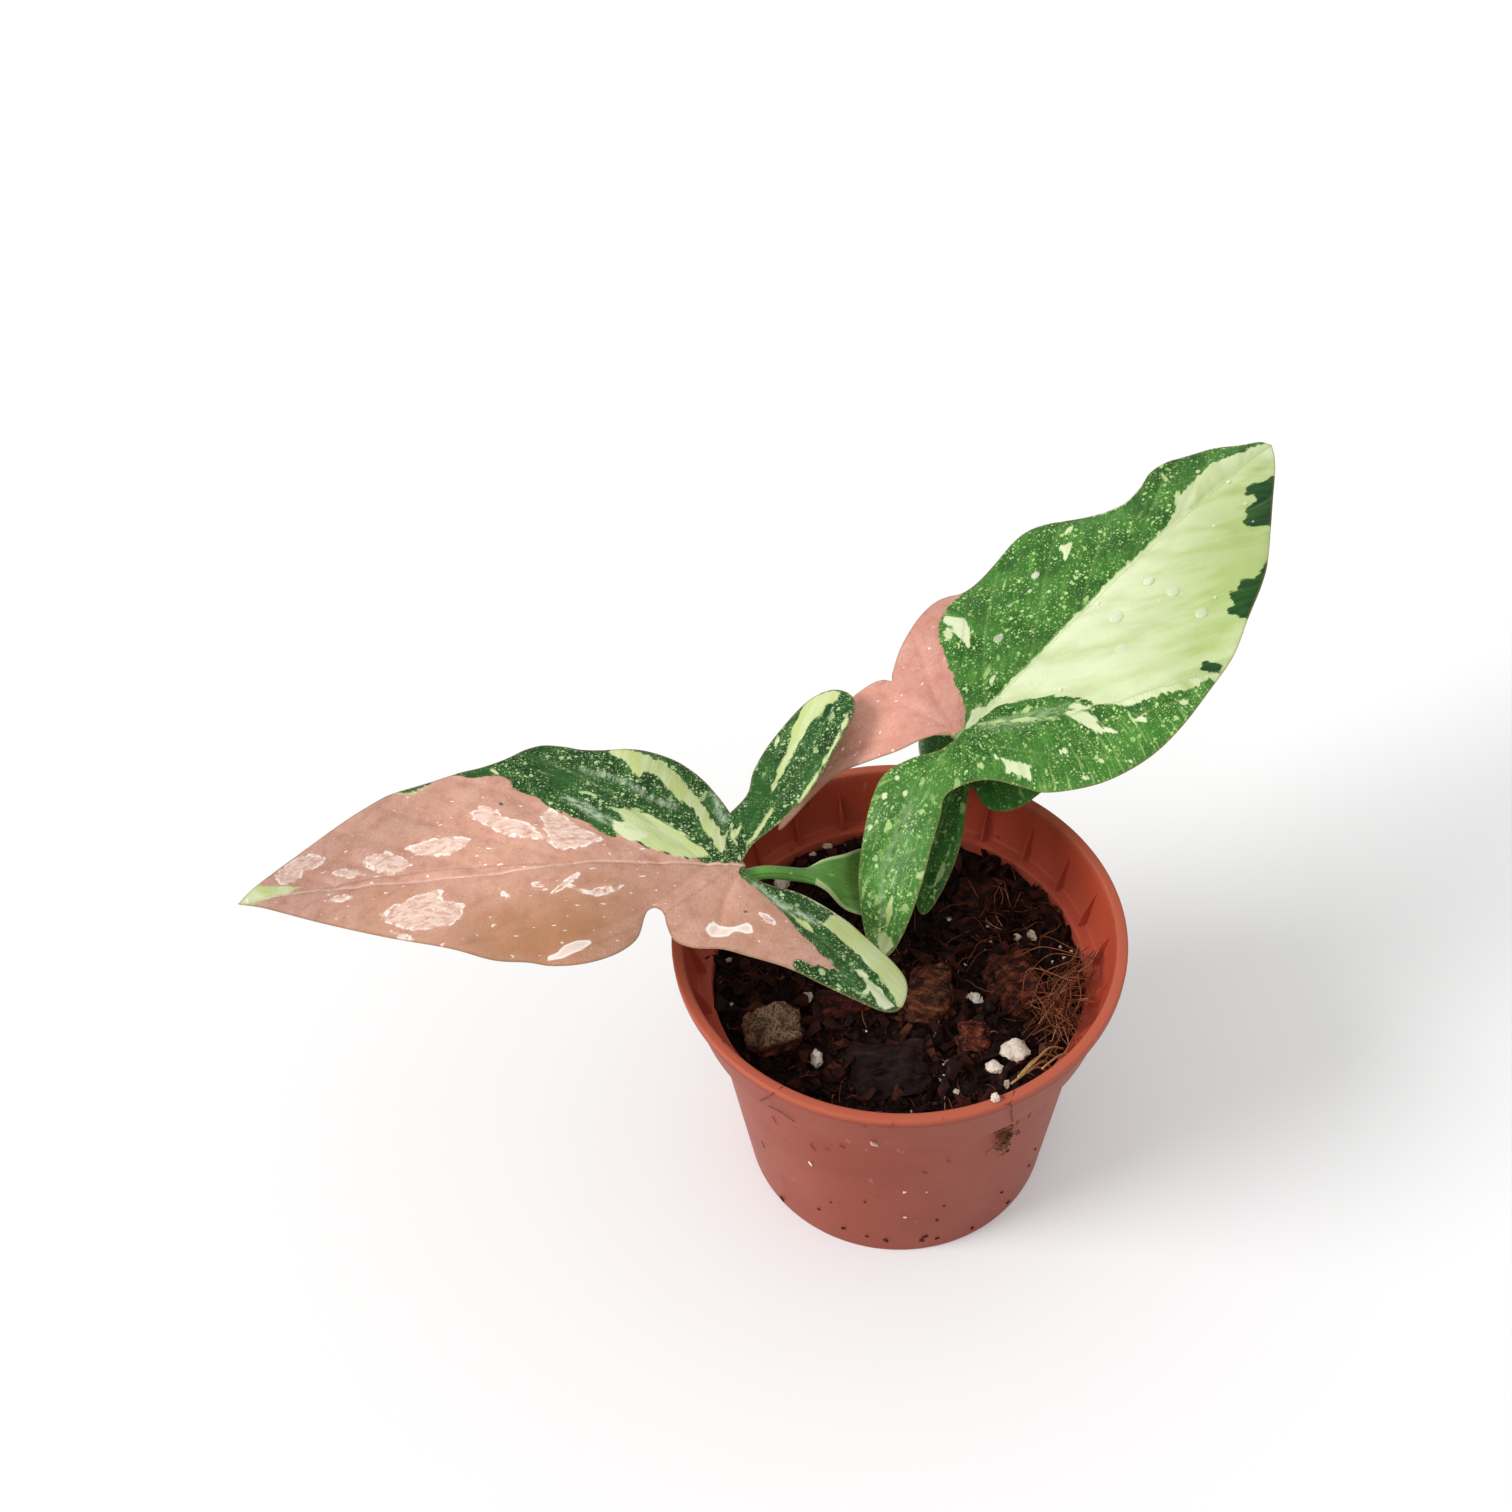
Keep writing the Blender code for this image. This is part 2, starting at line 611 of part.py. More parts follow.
def make_soil(collection, cutters, chunks):
    """Make the filling: a turned plug with a lumpy top, its small pieces, and its pockets."""
    dark = make_material("potting_mix", (0.035, 0.018, 0.014, 1), 0.9)
    edge = body_radius(SOIL_LEVEL) - WALL - GAP
    bottom = FLOOR + GAP
    top = [(edge * ring / SOIL_RINGS, SOIL_LEVEL) for ring in range(SOIL_RINGS + 1)]
    foot = body_radius(FLOOR) - WALL - GAP - SOIL_FOOT_INSET
    soil = turned("soil", (*top, (foot, bottom), (0, bottom)), SOIL_STEPS, collection, dark)
    for vert in soil.data.vertices:
        if vert.co.z > SOIL_LEVEL / 2:
            vert.co.z = soil_height(vert.co.x, vert.co.y)
    bits = new_collection("soil_bits")
    add_perlite(bits)
    add_crumbs(bits)
    add_fibres(bits)
    boolean(soil, "UNION", bits)
    empty_collection(bits)
    pockets = bpy.data.collections.new("pocket_cutters")
    cutters.children.link(pockets)
    for chunk in chunks:
        hide_cutter(add_object("pocket", swollen(chunk.data, POCKET_GROWTH), pockets))
    hide_cutter(stem_hole(pockets))
    boolean(soil, "DIFFERENCE", pockets)
    return soil


def swollen(mesh, amount):
    """A copy of a mesh whose corners are moved outwards."""
    shape = bmesh.new()
    shape.from_mesh(mesh)
    shape.normal_update()
    shifts = [vert.normal * amount for vert in shape.verts]
    for vert, shift in zip(shape.verts, shifts):
        vert.co += shift
    copy = bpy.data.meshes.new("swollen")
    shape.to_mesh(copy)
    shape.free()
    return copy


def stem_hole(collection):
    """The plain round hole in the soil that the stem and the stalks' bases stand in."""
    shape = bmesh.new()
    bottom = STEM_BOTTOM_Z - GAP
    height = POT_HEIGHT - bottom
    bmesh.ops.create_cone(
        shape, cap_ends=True, segments=STEM_HOLE_STEPS, radius1=STEM_HOLE_RADIUS,
        radius2=STEM_HOLE_RADIUS, depth=height,
    )
    bmesh.ops.translate(shape, vec=(STEM_X, STEM_Y, bottom + height / 2), verts=shape.verts)
    mesh = bpy.data.meshes.new("stem_hole")
    shape.to_mesh(mesh)
    shape.free()
    return add_object("stem_hole", mesh, collection)


def make_chunk(chunk, collection):
    """Make a lump of bark from a cut-up block with roughened faces."""
    draw = random.Random(chunk.seed)
    shape = bmesh.new()
    bmesh.ops.create_cube(shape, size=1)
    bmesh.ops.subdivide_edges(shape, edges=shape.edges, cuts=2, use_grid_fill=True)
    for vert in shape.verts:
        ball = vert.co.normalized() * CHUNK_ROUND_RADIUS
        jitter = draw.uniform(1 - CHUNK_ROUGHNESS, 1 + CHUNK_ROUGHNESS)
        vert.co = vert.co.lerp(ball, CHUNK_ROUNDING) * jitter
        vert.co = Vector(a * b * MM for a, b in zip(vert.co, chunk.size))
    lean = Matrix.Rotation(math.radians(chunk.lean), 3, "X")
    turn = Matrix.Rotation(math.radians(chunk.turn), 3, "Z")
    bmesh.ops.rotate(shape, matrix=turn @ lean, verts=shape.verts)
    highest = max(vert.co.z for vert in shape.verts)
    place = (chunk.x * MM, chunk.y * MM, chunk.top * MM - highest)
    bmesh.ops.translate(shape, vec=place, verts=shape.verts)
    bmesh.ops.triangulate(shape, faces=shape.faces)
    mesh = bpy.data.meshes.new(chunk.name)
    shape.to_mesh(mesh)
    shape.free()
    return add_object(chunk.name, mesh, collection, make_material(chunk.name, chunk.colour, 0.85))


def make_stem(collection):
    """Make the short stem that the leaf stalks grow from, with the rings of old leaf scars."""
    green = make_material("stem_skin", (0.16, 0.28, 0.06, 1), 0.5)
    profile = [(0, STEM_TOP_Z)]
    for row in range(STEM_ROWS + 1):
        share = row / STEM_ROWS
        ring = STEM_SCAR if row % 3 == 1 else 0
        swell = math.sin(math.pi / 2 * min(1, STEM_TAPER_START + share))
        radius = STEM_RADIUS * (STEM_TOP_SHARE + (1 - STEM_TOP_SHARE) * swell)
        height = STEM_TOP_Z + (STEM_BOTTOM_Z - STEM_TOP_Z) * share
        profile.append((radius + ring, height))
    profile.append((0, STEM_BOTTOM_Z))
    stem = turned("stem_base", profile, STEM_STEPS, collection, green)
    for vert in stem.data.vertices:
        vert.co.x += STEM_X
        vert.co.y += STEM_Y
    stem.data.shade_smooth()
    return stem


def between(a, b, c, d, t):
    """The point a share t of the way from b to c on a smooth curve through a, b, c and d."""
    bend = (2 * a - 5 * b + 4 * c - d) * t ** 2
    ease = (3 * b - a - 3 * c + d) * t ** 3
    return 0.5 * (2 * b + (c - a) * t + bend + ease)


def spline_run(points, step):
    """Points along a smooth curve through the given ones, about a step apart."""
    known = np.array(points, float)
    padded = np.vstack([2 * known[0] - known[1], known, 2 * known[-1] - known[-2]])
    line = [known[0]]
    for index in range(1, len(padded) - 2):
        a, b, c, d = padded[index - 1:index + 3]
        pieces = max(1, round(float(np.linalg.norm(c - b)) / step))
        for piece in range(1, pieces + 1):
            line.append(between(a, b, c, d, piece / pieces))
    return np.array(line)


def inside_outline(points, outline):
    """Which of the points lie inside a closed outline."""
    inside = np.zeros(len(points), bool)
    for (ax, ay), (bx, by) in zip(outline, np.roll(outline, -1, axis=0)):
        if ay == by:
            continue
        crosses = (ay > points[:, 1]) != (by > points[:, 1])
        inside ^= crosses & (points[:, 0] < (bx - ax) * (points[:, 1] - ay) / (by - ay) + ax)
    return inside


def leaf_mesh_plan(leaf):
    """Split the flat blade into triangles, with a row of corners along the midrib."""
    outline = np.vstack([spline_run(run, MARGIN_STEP)[:-1] for run in leaf.runs])
    low, high = outline.min(axis=0), outline.max(axis=0)
    row_gap = LEAF_GRID * math.sqrt(3) / 2
    grid = []
    for row in range(math.ceil(low[1] / row_gap), math.ceil(high[1] / row_gap)):
        shift = LEAF_GRID / 2 if row % 2 else 0
        for column in range(math.ceil(low[0] / LEAF_GRID), math.ceil(high[0] / LEAF_GRID)):
            grid.append((column * LEAF_GRID + shift, row * row_gap))
    grid = np.array(grid)
    grid = grid[inside_outline(grid, outline)]
    nearest = np.linalg.norm(grid[:, None] - outline[None], axis=2).min(axis=1)
    grid = grid[nearest > MARGIN_CLEARANCE]
    corners = [Vector(point) for point in np.vstack([outline, grid])]
    border = [list(range(len(outline)))]
    flat, _, triangles, *_ = geometry.delaunay_2d_cdt(corners, [], border, 1, 0.0001)
    return np.array(flat), triangles


def bend_blade(points, bend):
    """Roll the part of the blade beyond a line up or down."""
    angle = math.radians(bend.heading)
    along = np.array((math.cos(angle), math.sin(angle)))
    across = np.array((-along[1], along[0]))
    offset = points[:, :2] - np.array(bend.point)
    distance = offset @ across
    rate = math.radians(bend.turn) / bend.over
    curved = np.clip(distance, 0, bend.over)
    turn = rate * curved
    reach = np.sin(turn) / rate + (distance - curved) * np.cos(turn)
    lift = (1 - np.cos(turn)) / rate + (distance - curved) * np.sin(turn)
    reach = np.where(distance < 0, distance, reach) - points[:, 2] * np.sin(turn)
    lift = np.where(distance < 0, 0, lift) + points[:, 2] * np.cos(turn)
    moved = np.empty_like(points)
    moved[:, :2] = np.array(bend.point) + np.outer(offset @ along, along) + np.outer(reach, across)
    moved[:, 2] = lift
    if bend.side:
        return np.where((points[:, 1] * bend.side > 0)[:, None], moved, points)
    return moved


def leaf_axes(leaf):
    """The leaf's X, Y and Z directions where its stalk joins, as rows."""
    heading, pitch, roll = np.radians([leaf.heading, leaf.pitch, leaf.roll])
    tip_way = np.array((math.cos(pitch) * math.cos(heading), math.cos(pitch) * math.sin(heading),
                        math.sin(pitch)))
    level = np.array((-math.sin(heading), math.cos(heading), 0))
    left = math.cos(roll) * level + math.sin(roll) * np.cross(tip_way, level)
    return np.array((tip_way, left, np.cross(tip_way, left)))


def shape_leaf(leaf, flat):
    """Carry flat blade points, in millimetres, to their place in space."""
    x, y = flat[:, 0], flat[:, 1]
    relief = -VEIN_GROOVE * np.exp(-(y / VEIN_GROOVE_WIDTH) ** 2) * (x > VEIN_START)
    for wave in leaf.waves:
        size = np.where(y * wave.side > 0, (np.abs(y) / wave.full_at) ** 2, 0) * (x > 0)
        relief = relief + wave.height * size * np.sin(2 * math.pi * (x - wave.start) / wave.length)
    points = np.column_stack([x, y, relief])
    for bend in leaf.bends:
        points = bend_blade(points, bend)
    return np.array(leaf.joint) + points @ leaf_axes(leaf)


def make_leaf(leaf, collection):
    """Make a leaf blade: a bent sheet of triangles given its thickness."""
    flat, triangles = leaf_mesh_plan(leaf)
    mesh = bpy.data.meshes.new(leaf.name)
    mesh.from_pydata((shape_leaf(leaf, flat) * MM).tolist(), [], triangles)
    material = make_material(leaf.name, leaf.colour, 0.35)
    blade = add_object(leaf.name, mesh, collection, material)
    sheet = blade.modifiers.new("Blade", "SOLIDIFY")
    sheet.thickness = BLADE * MM
    sheet.offset = 0
    return blade


def stalk_ring(station, along):
    """Corner points of a stalk's cross-section, a bent lens across its direction."""
    hollow = np.array(station.hollow, float)
    hollow -= (hollow @ along) * along
    hollow /= np.linalg.norm(hollow)
    across = np.cross(along, hollow)
    half_arc = math.radians(station.arc) / 2
    radius = station.width / (2 * math.sin(half_arc))
    inner, outer = [], []
    for index in range(STALK_SIDES + 1):
        place = -math.cos(math.pi * index / STALK_SIDES)
        turn = place * half_arc
        middle = across * radius * math.sin(turn) + hollow * radius * (1 - math.cos(turn))
        outwards = across * math.sin(turn) - hollow * math.cos(turn)
        half = 0.5 * station.thickness * math.sqrt(max(0, 1 - place ** 2))
        outer.append(np.array(station.middle) + middle + outwards * half)
        inner.append(np.array(station.middle) + middle - outwards * half)
    return outer + inner[-2:0:-1]


def smooth_stations(stations, step):
    """Stations along the stalk about a step apart, on smooth curves through the given ones."""
    rows = np.array([(*s.middle, s.width, s.thickness, s.arc, *s.hollow) for s in stations])
    spread = np.linalg.norm(np.diff(rows[:, :3], axis=0), axis=1)
    padded = np.vstack([2 * rows[0] - rows[1], rows, 2 * rows[-1] - rows[-2]])
    line = [rows[0]]
    for index, length in enumerate(spread):
        a, b, c, d = padded[index:index + 4]
        pieces = max(1, round(length / step))
        for piece in range(1, pieces + 1):
            t = piece / pieces
            row = between(a, b, c, d, t)
            row[3:] = b[3:] + (c[3:] - b[3:]) * t
            line.append(row)
    return [Station(tuple(r[:3]), r[3], r[4], r[5], tuple(r[6:])) for r in line]


def make_stalk(name, leaf, stations, colour, collection):
    """Make a leaf stalk from just under the blade down to its sheathing base."""
    tip_way, _, up = leaf_axes(leaf)
    head_middle = np.array(leaf.joint) + tip_way * STALK_HEAD_FORWARD - up * STALK_HEAD_CLEARANCE
    neck_middle = head_middle - up * STALK_NECK_DROP - tip_way * STALK_NECK_BACK
    head = replace(stations[0], middle=tuple(head_middle))
    neck = replace(stations[0], middle=tuple(neck_middle))
    rings = smooth_stations((head, neck, *stations), STALK_STEP)
    middles = np.array([ring.middle for ring in rings])
    directions = np.gradient(middles, axis=0)
    directions /= np.linalg.norm(directions, axis=1)[:, None]
    directions[0] = -up
    shape = bmesh.new()
    rows = []
    for ring, along in zip(rings, directions):
        corners = stalk_ring(ring, along)
        rows.append([shape.verts.new(Vector(corner) * MM) for corner in corners])
    for upper, lower in zip(rows, rows[1:]):
        count = len(upper)
        for index in range(count):
            after = (index + 1) % count
            shape.faces.new((upper[index], upper[after], lower[after], lower[index]))
    shape.faces.new(rows[0])
    shape.faces.new(rows[-1])
    bmesh.ops.recalc_face_normals(shape, faces=shape.faces)
    bmesh.ops.triangulate(shape, faces=shape.faces)
    mesh = bpy.data.meshes.new(name)
    shape.to_mesh(mesh)
    shape.free()
    return add_object(name, mesh, collection, make_material(name, colour, 0.4))


def main():
    """Build the pot, its filling and the plant."""
    for item in list(bpy.data.objects):
        bpy.data.objects.remove(item)
    part = new_collection(PART_NAME)
    cutters = new_collection("cutters")
    make_pot(part, cutters)
    chunks = [make_chunk(chunk, part) for chunk in CHUNKS]
    make_soil(part, cutters, chunks)
    make_stem(part)
    for leaf in (LEAF_LEFT, LEAF_RIGHT, LEAF_YOUNG):
        make_leaf(leaf, part)
    make_stalk("petiole_left", LEAF_LEFT, STALK_LEFT, (0.13, 0.26, 0.05, 1), part)
    make_stalk("petiole_right", LEAF_RIGHT, STALK_RIGHT, (0.14, 0.27, 0.06, 1), part)
    make_stalk("petiole_young", LEAF_YOUNG, STALK_YOUNG, (0.10, 0.22, 0.05, 1), part)


main()
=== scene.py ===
"""A young syngonium with three patterned leaves in a terracotta-orange nursery pot.

Each leaf is described flat, in millimetres: X runs along the midrib to the tip, Y to the leaf's
left and Z out of its upper face. The pot's axis is Z and its underside is at Z = 0. Meshes are in
metres.
"""

import json
import logging
import math
import random
from dataclasses import dataclass, field
from enum import Enum

import bmesh
import bpy
import numpy as np
from bpy.types import Collection, Material, Mesh, Node, NodeSocket, NodeTree, Object
from mathutils import Matrix, Vector, geometry, noise

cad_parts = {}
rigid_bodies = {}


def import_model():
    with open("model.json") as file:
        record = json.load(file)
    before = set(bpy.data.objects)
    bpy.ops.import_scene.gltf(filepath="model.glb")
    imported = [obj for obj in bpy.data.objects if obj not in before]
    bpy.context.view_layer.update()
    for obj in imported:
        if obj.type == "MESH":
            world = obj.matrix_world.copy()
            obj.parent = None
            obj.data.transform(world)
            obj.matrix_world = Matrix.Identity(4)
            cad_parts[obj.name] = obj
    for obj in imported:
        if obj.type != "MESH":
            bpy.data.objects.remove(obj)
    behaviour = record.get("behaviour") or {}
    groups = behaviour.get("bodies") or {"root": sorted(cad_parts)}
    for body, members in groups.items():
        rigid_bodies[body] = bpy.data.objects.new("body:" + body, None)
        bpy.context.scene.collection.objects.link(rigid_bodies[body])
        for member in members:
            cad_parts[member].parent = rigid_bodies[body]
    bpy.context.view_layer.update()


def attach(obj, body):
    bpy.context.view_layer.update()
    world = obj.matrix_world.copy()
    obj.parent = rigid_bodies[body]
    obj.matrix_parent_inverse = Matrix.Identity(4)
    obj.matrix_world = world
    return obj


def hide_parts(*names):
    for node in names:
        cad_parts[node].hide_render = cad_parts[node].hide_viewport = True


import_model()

MM = 0.001
LOG = logging.getLogger("potted_syngonium")

MATH = "ShaderNodeMath"
VECTOR = "ShaderNodeVectorMath"
RANGE = "ShaderNodeMapRange"
MIX = "ShaderNodeMix"
NOISE = "ShaderNodeTexNoise"
CELLS = "ShaderNodeTexVoronoi"
READ = "ShaderNodeAttribute"


class Zone(Enum):
    """The kinds of patch that a syngonium leaf shows, each kept as a distance on the blade."""
    PINK = "pink"
    PALE = "pale"
    CREAM = "cream"
    DARK = "dark"
    SILVER = "silver"
    # Water films that carry painted sheen, and glints that are painted highlights.
    FILM = "film"
    GLINT = "glint"
    SPRAY = "spray"


class Base(Enum):
    """The colour that a leaf has where no patch covers it."""
    PINK = 1
    GREEN = 2


@dataclass(frozen=True)
class Patch:
    """A closed patch of one zone, or with a width a streak that tapers to both ends."""
    zone: Zone
    corners: str
    width: float = 0.0

    @property
    def points(self) -> tuple:
        """Return its points on the flat blade."""
        return run(self.corners)


@dataclass(frozen=True)
class Glow:
    """A soft spot of painted light or shade, mixed with the leaf's own tone (tone), or browner or
    yellower (flush).
    """
    x: float
    y: float
    radius: float
    tone: float
    flush: float = 0.0


@dataclass(frozen=True)
class Bend:
    """A rolling bend of the blade left of a line, seen along its heading from the upper face."""
    side: int
    point: tuple
    heading: float
    turn: float
    over: float


@dataclass(frozen=True)
class Wave:
    """Waves along one side of the blade, full size at the given distance from the midrib."""
    side: int
    height: float
    length: float
    start: float
    full_at: float


@dataclass(frozen=True)
class LeafForm:
    """A leaf's outline runs, bends, waves, place, veins, patches and glows."""
    name: str
    slot: str
    base: Base
    runs: tuple
    bends: tuple
    waves: tuple
    joint: tuple
    heading: float
    pitch: float
    midrib: tuple
    veins: tuple
    patches: tuple
    glows: tuple
    ears: tuple
    greens: tuple = ()


def run(text: str) -> tuple:
    """Read a run of flat points, each written x,y in millimetres."""
    return tuple(tuple(map(float, point.split(","))) for point in text.split())


def runs(text: str) -> tuple:
    """Read runs of flat points with semicolons between them."""
    return tuple(run(part) for part in text.split(";"))


LEFT_OUTLINE = runs(
    "89.2,-1.1 84,-5.1 76,-10.4 67,-16.1 62.5,-18.9 56.5,-20.7 51,-21.6 46,-22 42,-23.5 38.5,-26 "
    "35.5,-27.5 32,-27.5 28.5,-26.4 24.5,-25.5 20,-25.1 15,-24.4 10.7,-23 7,-20 4,-15.7 2,-12; "
    "2,-12 -1,-16 -2.2,-21 -5,-26 -9.2,-30.3 -14,-33.3 -18.5,-33.5 -21.8,-31 -22,-27.5 "
    "-18.5,-21.5 -13,-14.3 -7,-9.2 -2,-5 0,-1.2; 0,-1.2 -0.6,0 0,1.2; 0,1.2 -4,3.8 -10,5.5 "
    "-17,9.6 -20.5,12.8 -25.5,18 -27.2,22 -26,27 -23.5,28.7 -19.5,27.7 -13,25 -8,22.4 -3,20.6 "
    "3,18.8 8,18 11.2,16.2 12.5,13.2 12.9,11.2 13.6,9.9 14.6,9.4; 14.6,9.4 15.6,10 16.2,11.6 "
    "17.2,16.2 20,19.8 23.5,22.2 27,22.9 31,22.2 35,20.8 41,20.2 47,18 57,13.8 69,8.9 80,3.4 "
    "85.5,0.6 89.2,-1.1")

LEFT_VEINS = runs(
    "6,-0.3 14,8 22,14 28,17.5 33,20; 17,-0.6 28,6 37,12 44,16.5; 29,0 40,6 50,11 55,13; 41,1 "
    "52,5.5 62,9.5; 54,1.3 64,4.5 72,6.5; 66,0.6 75,3 80,2.9; 6,-1 14,-8 22,-15 30,-21 36,-25; "
    "14,-1 24,-7 36,-13 44,-17.5 50,-19.5; 29,-0.8 40,-5 50,-9 60,-14 64,-16; 43,1 54,-4 65,-9 "
    "72,-12; 57,1 67,-4 77,-8; 70,0 78,-4 83,-5; 0,-2 -4,-10 -10,-19 -16,-27 -19,-31; 0,2 -6,8 "
    "-13,15 -20,22 -24,26; 1,2 3,8 4,14 6,17; 1,-2 3,-8 6,-14 11,-20 16,-24")

LEFT_GREEN = runs(
    "0.5,-0.7 3,-0.9 5,-1 9,-1.8 9.3,-1.6 12,-2.2 13.5,-2.8 15,-3.4 16.5,-3.7 17.5,-4.5 18.8,-5.2 "
    "19.8,-5.7 20.8,-6.2 22,-6.2 23,-6.5 24,-7.1 25,-7.8 26,-8.5 27,-9.2 28,-10 29,-10.4 30,-11.3 "
    "31,-11.9 32.5,-12 33.5,-12.8 34.5,-13.9 35.5,-14.7 37,-15.3 38.5,-16 39.5,-16.7 40.3,-17.7 "
    "41.2,-18.9 42.3,-19.7 44,-19.9 46,-19.7 47.5,-19.8 49,-20.2 50,-20.9 51.5,-21.6 54,-30 "
    "20,-40 -30,-40 -30,-15 -6,-2 -1,-0.7; 55.5,-20.4 57.5,-19.6 59,-18.9 62,-19.2 64,-19 60,-23 "
    "56,-23; 0.9,1.5 0,2.8 -1.5,4 -3,5.5 -4.5,7 -5.6,8.5 -6.8,10.3 -8,12 -9,13.7 -9.8,15.3 "
    "-11,16.2 -12,17.5 -13,18.8 -14.3,20 -15.2,21.3 -16,22.4 -14.8,21.6 -13.8,21.7 -12.8,21 "
    "-12,20.5 -11.7,21.2 -11,21 -10,20.5 -8.4,20.3 -8,20.7 -7.8,21.6 -9,23.5 -14,28 -19.5,31 "
    "-27,32 -32,27 -31,18 -20,7 -10,2 -4,0.5 0,0")

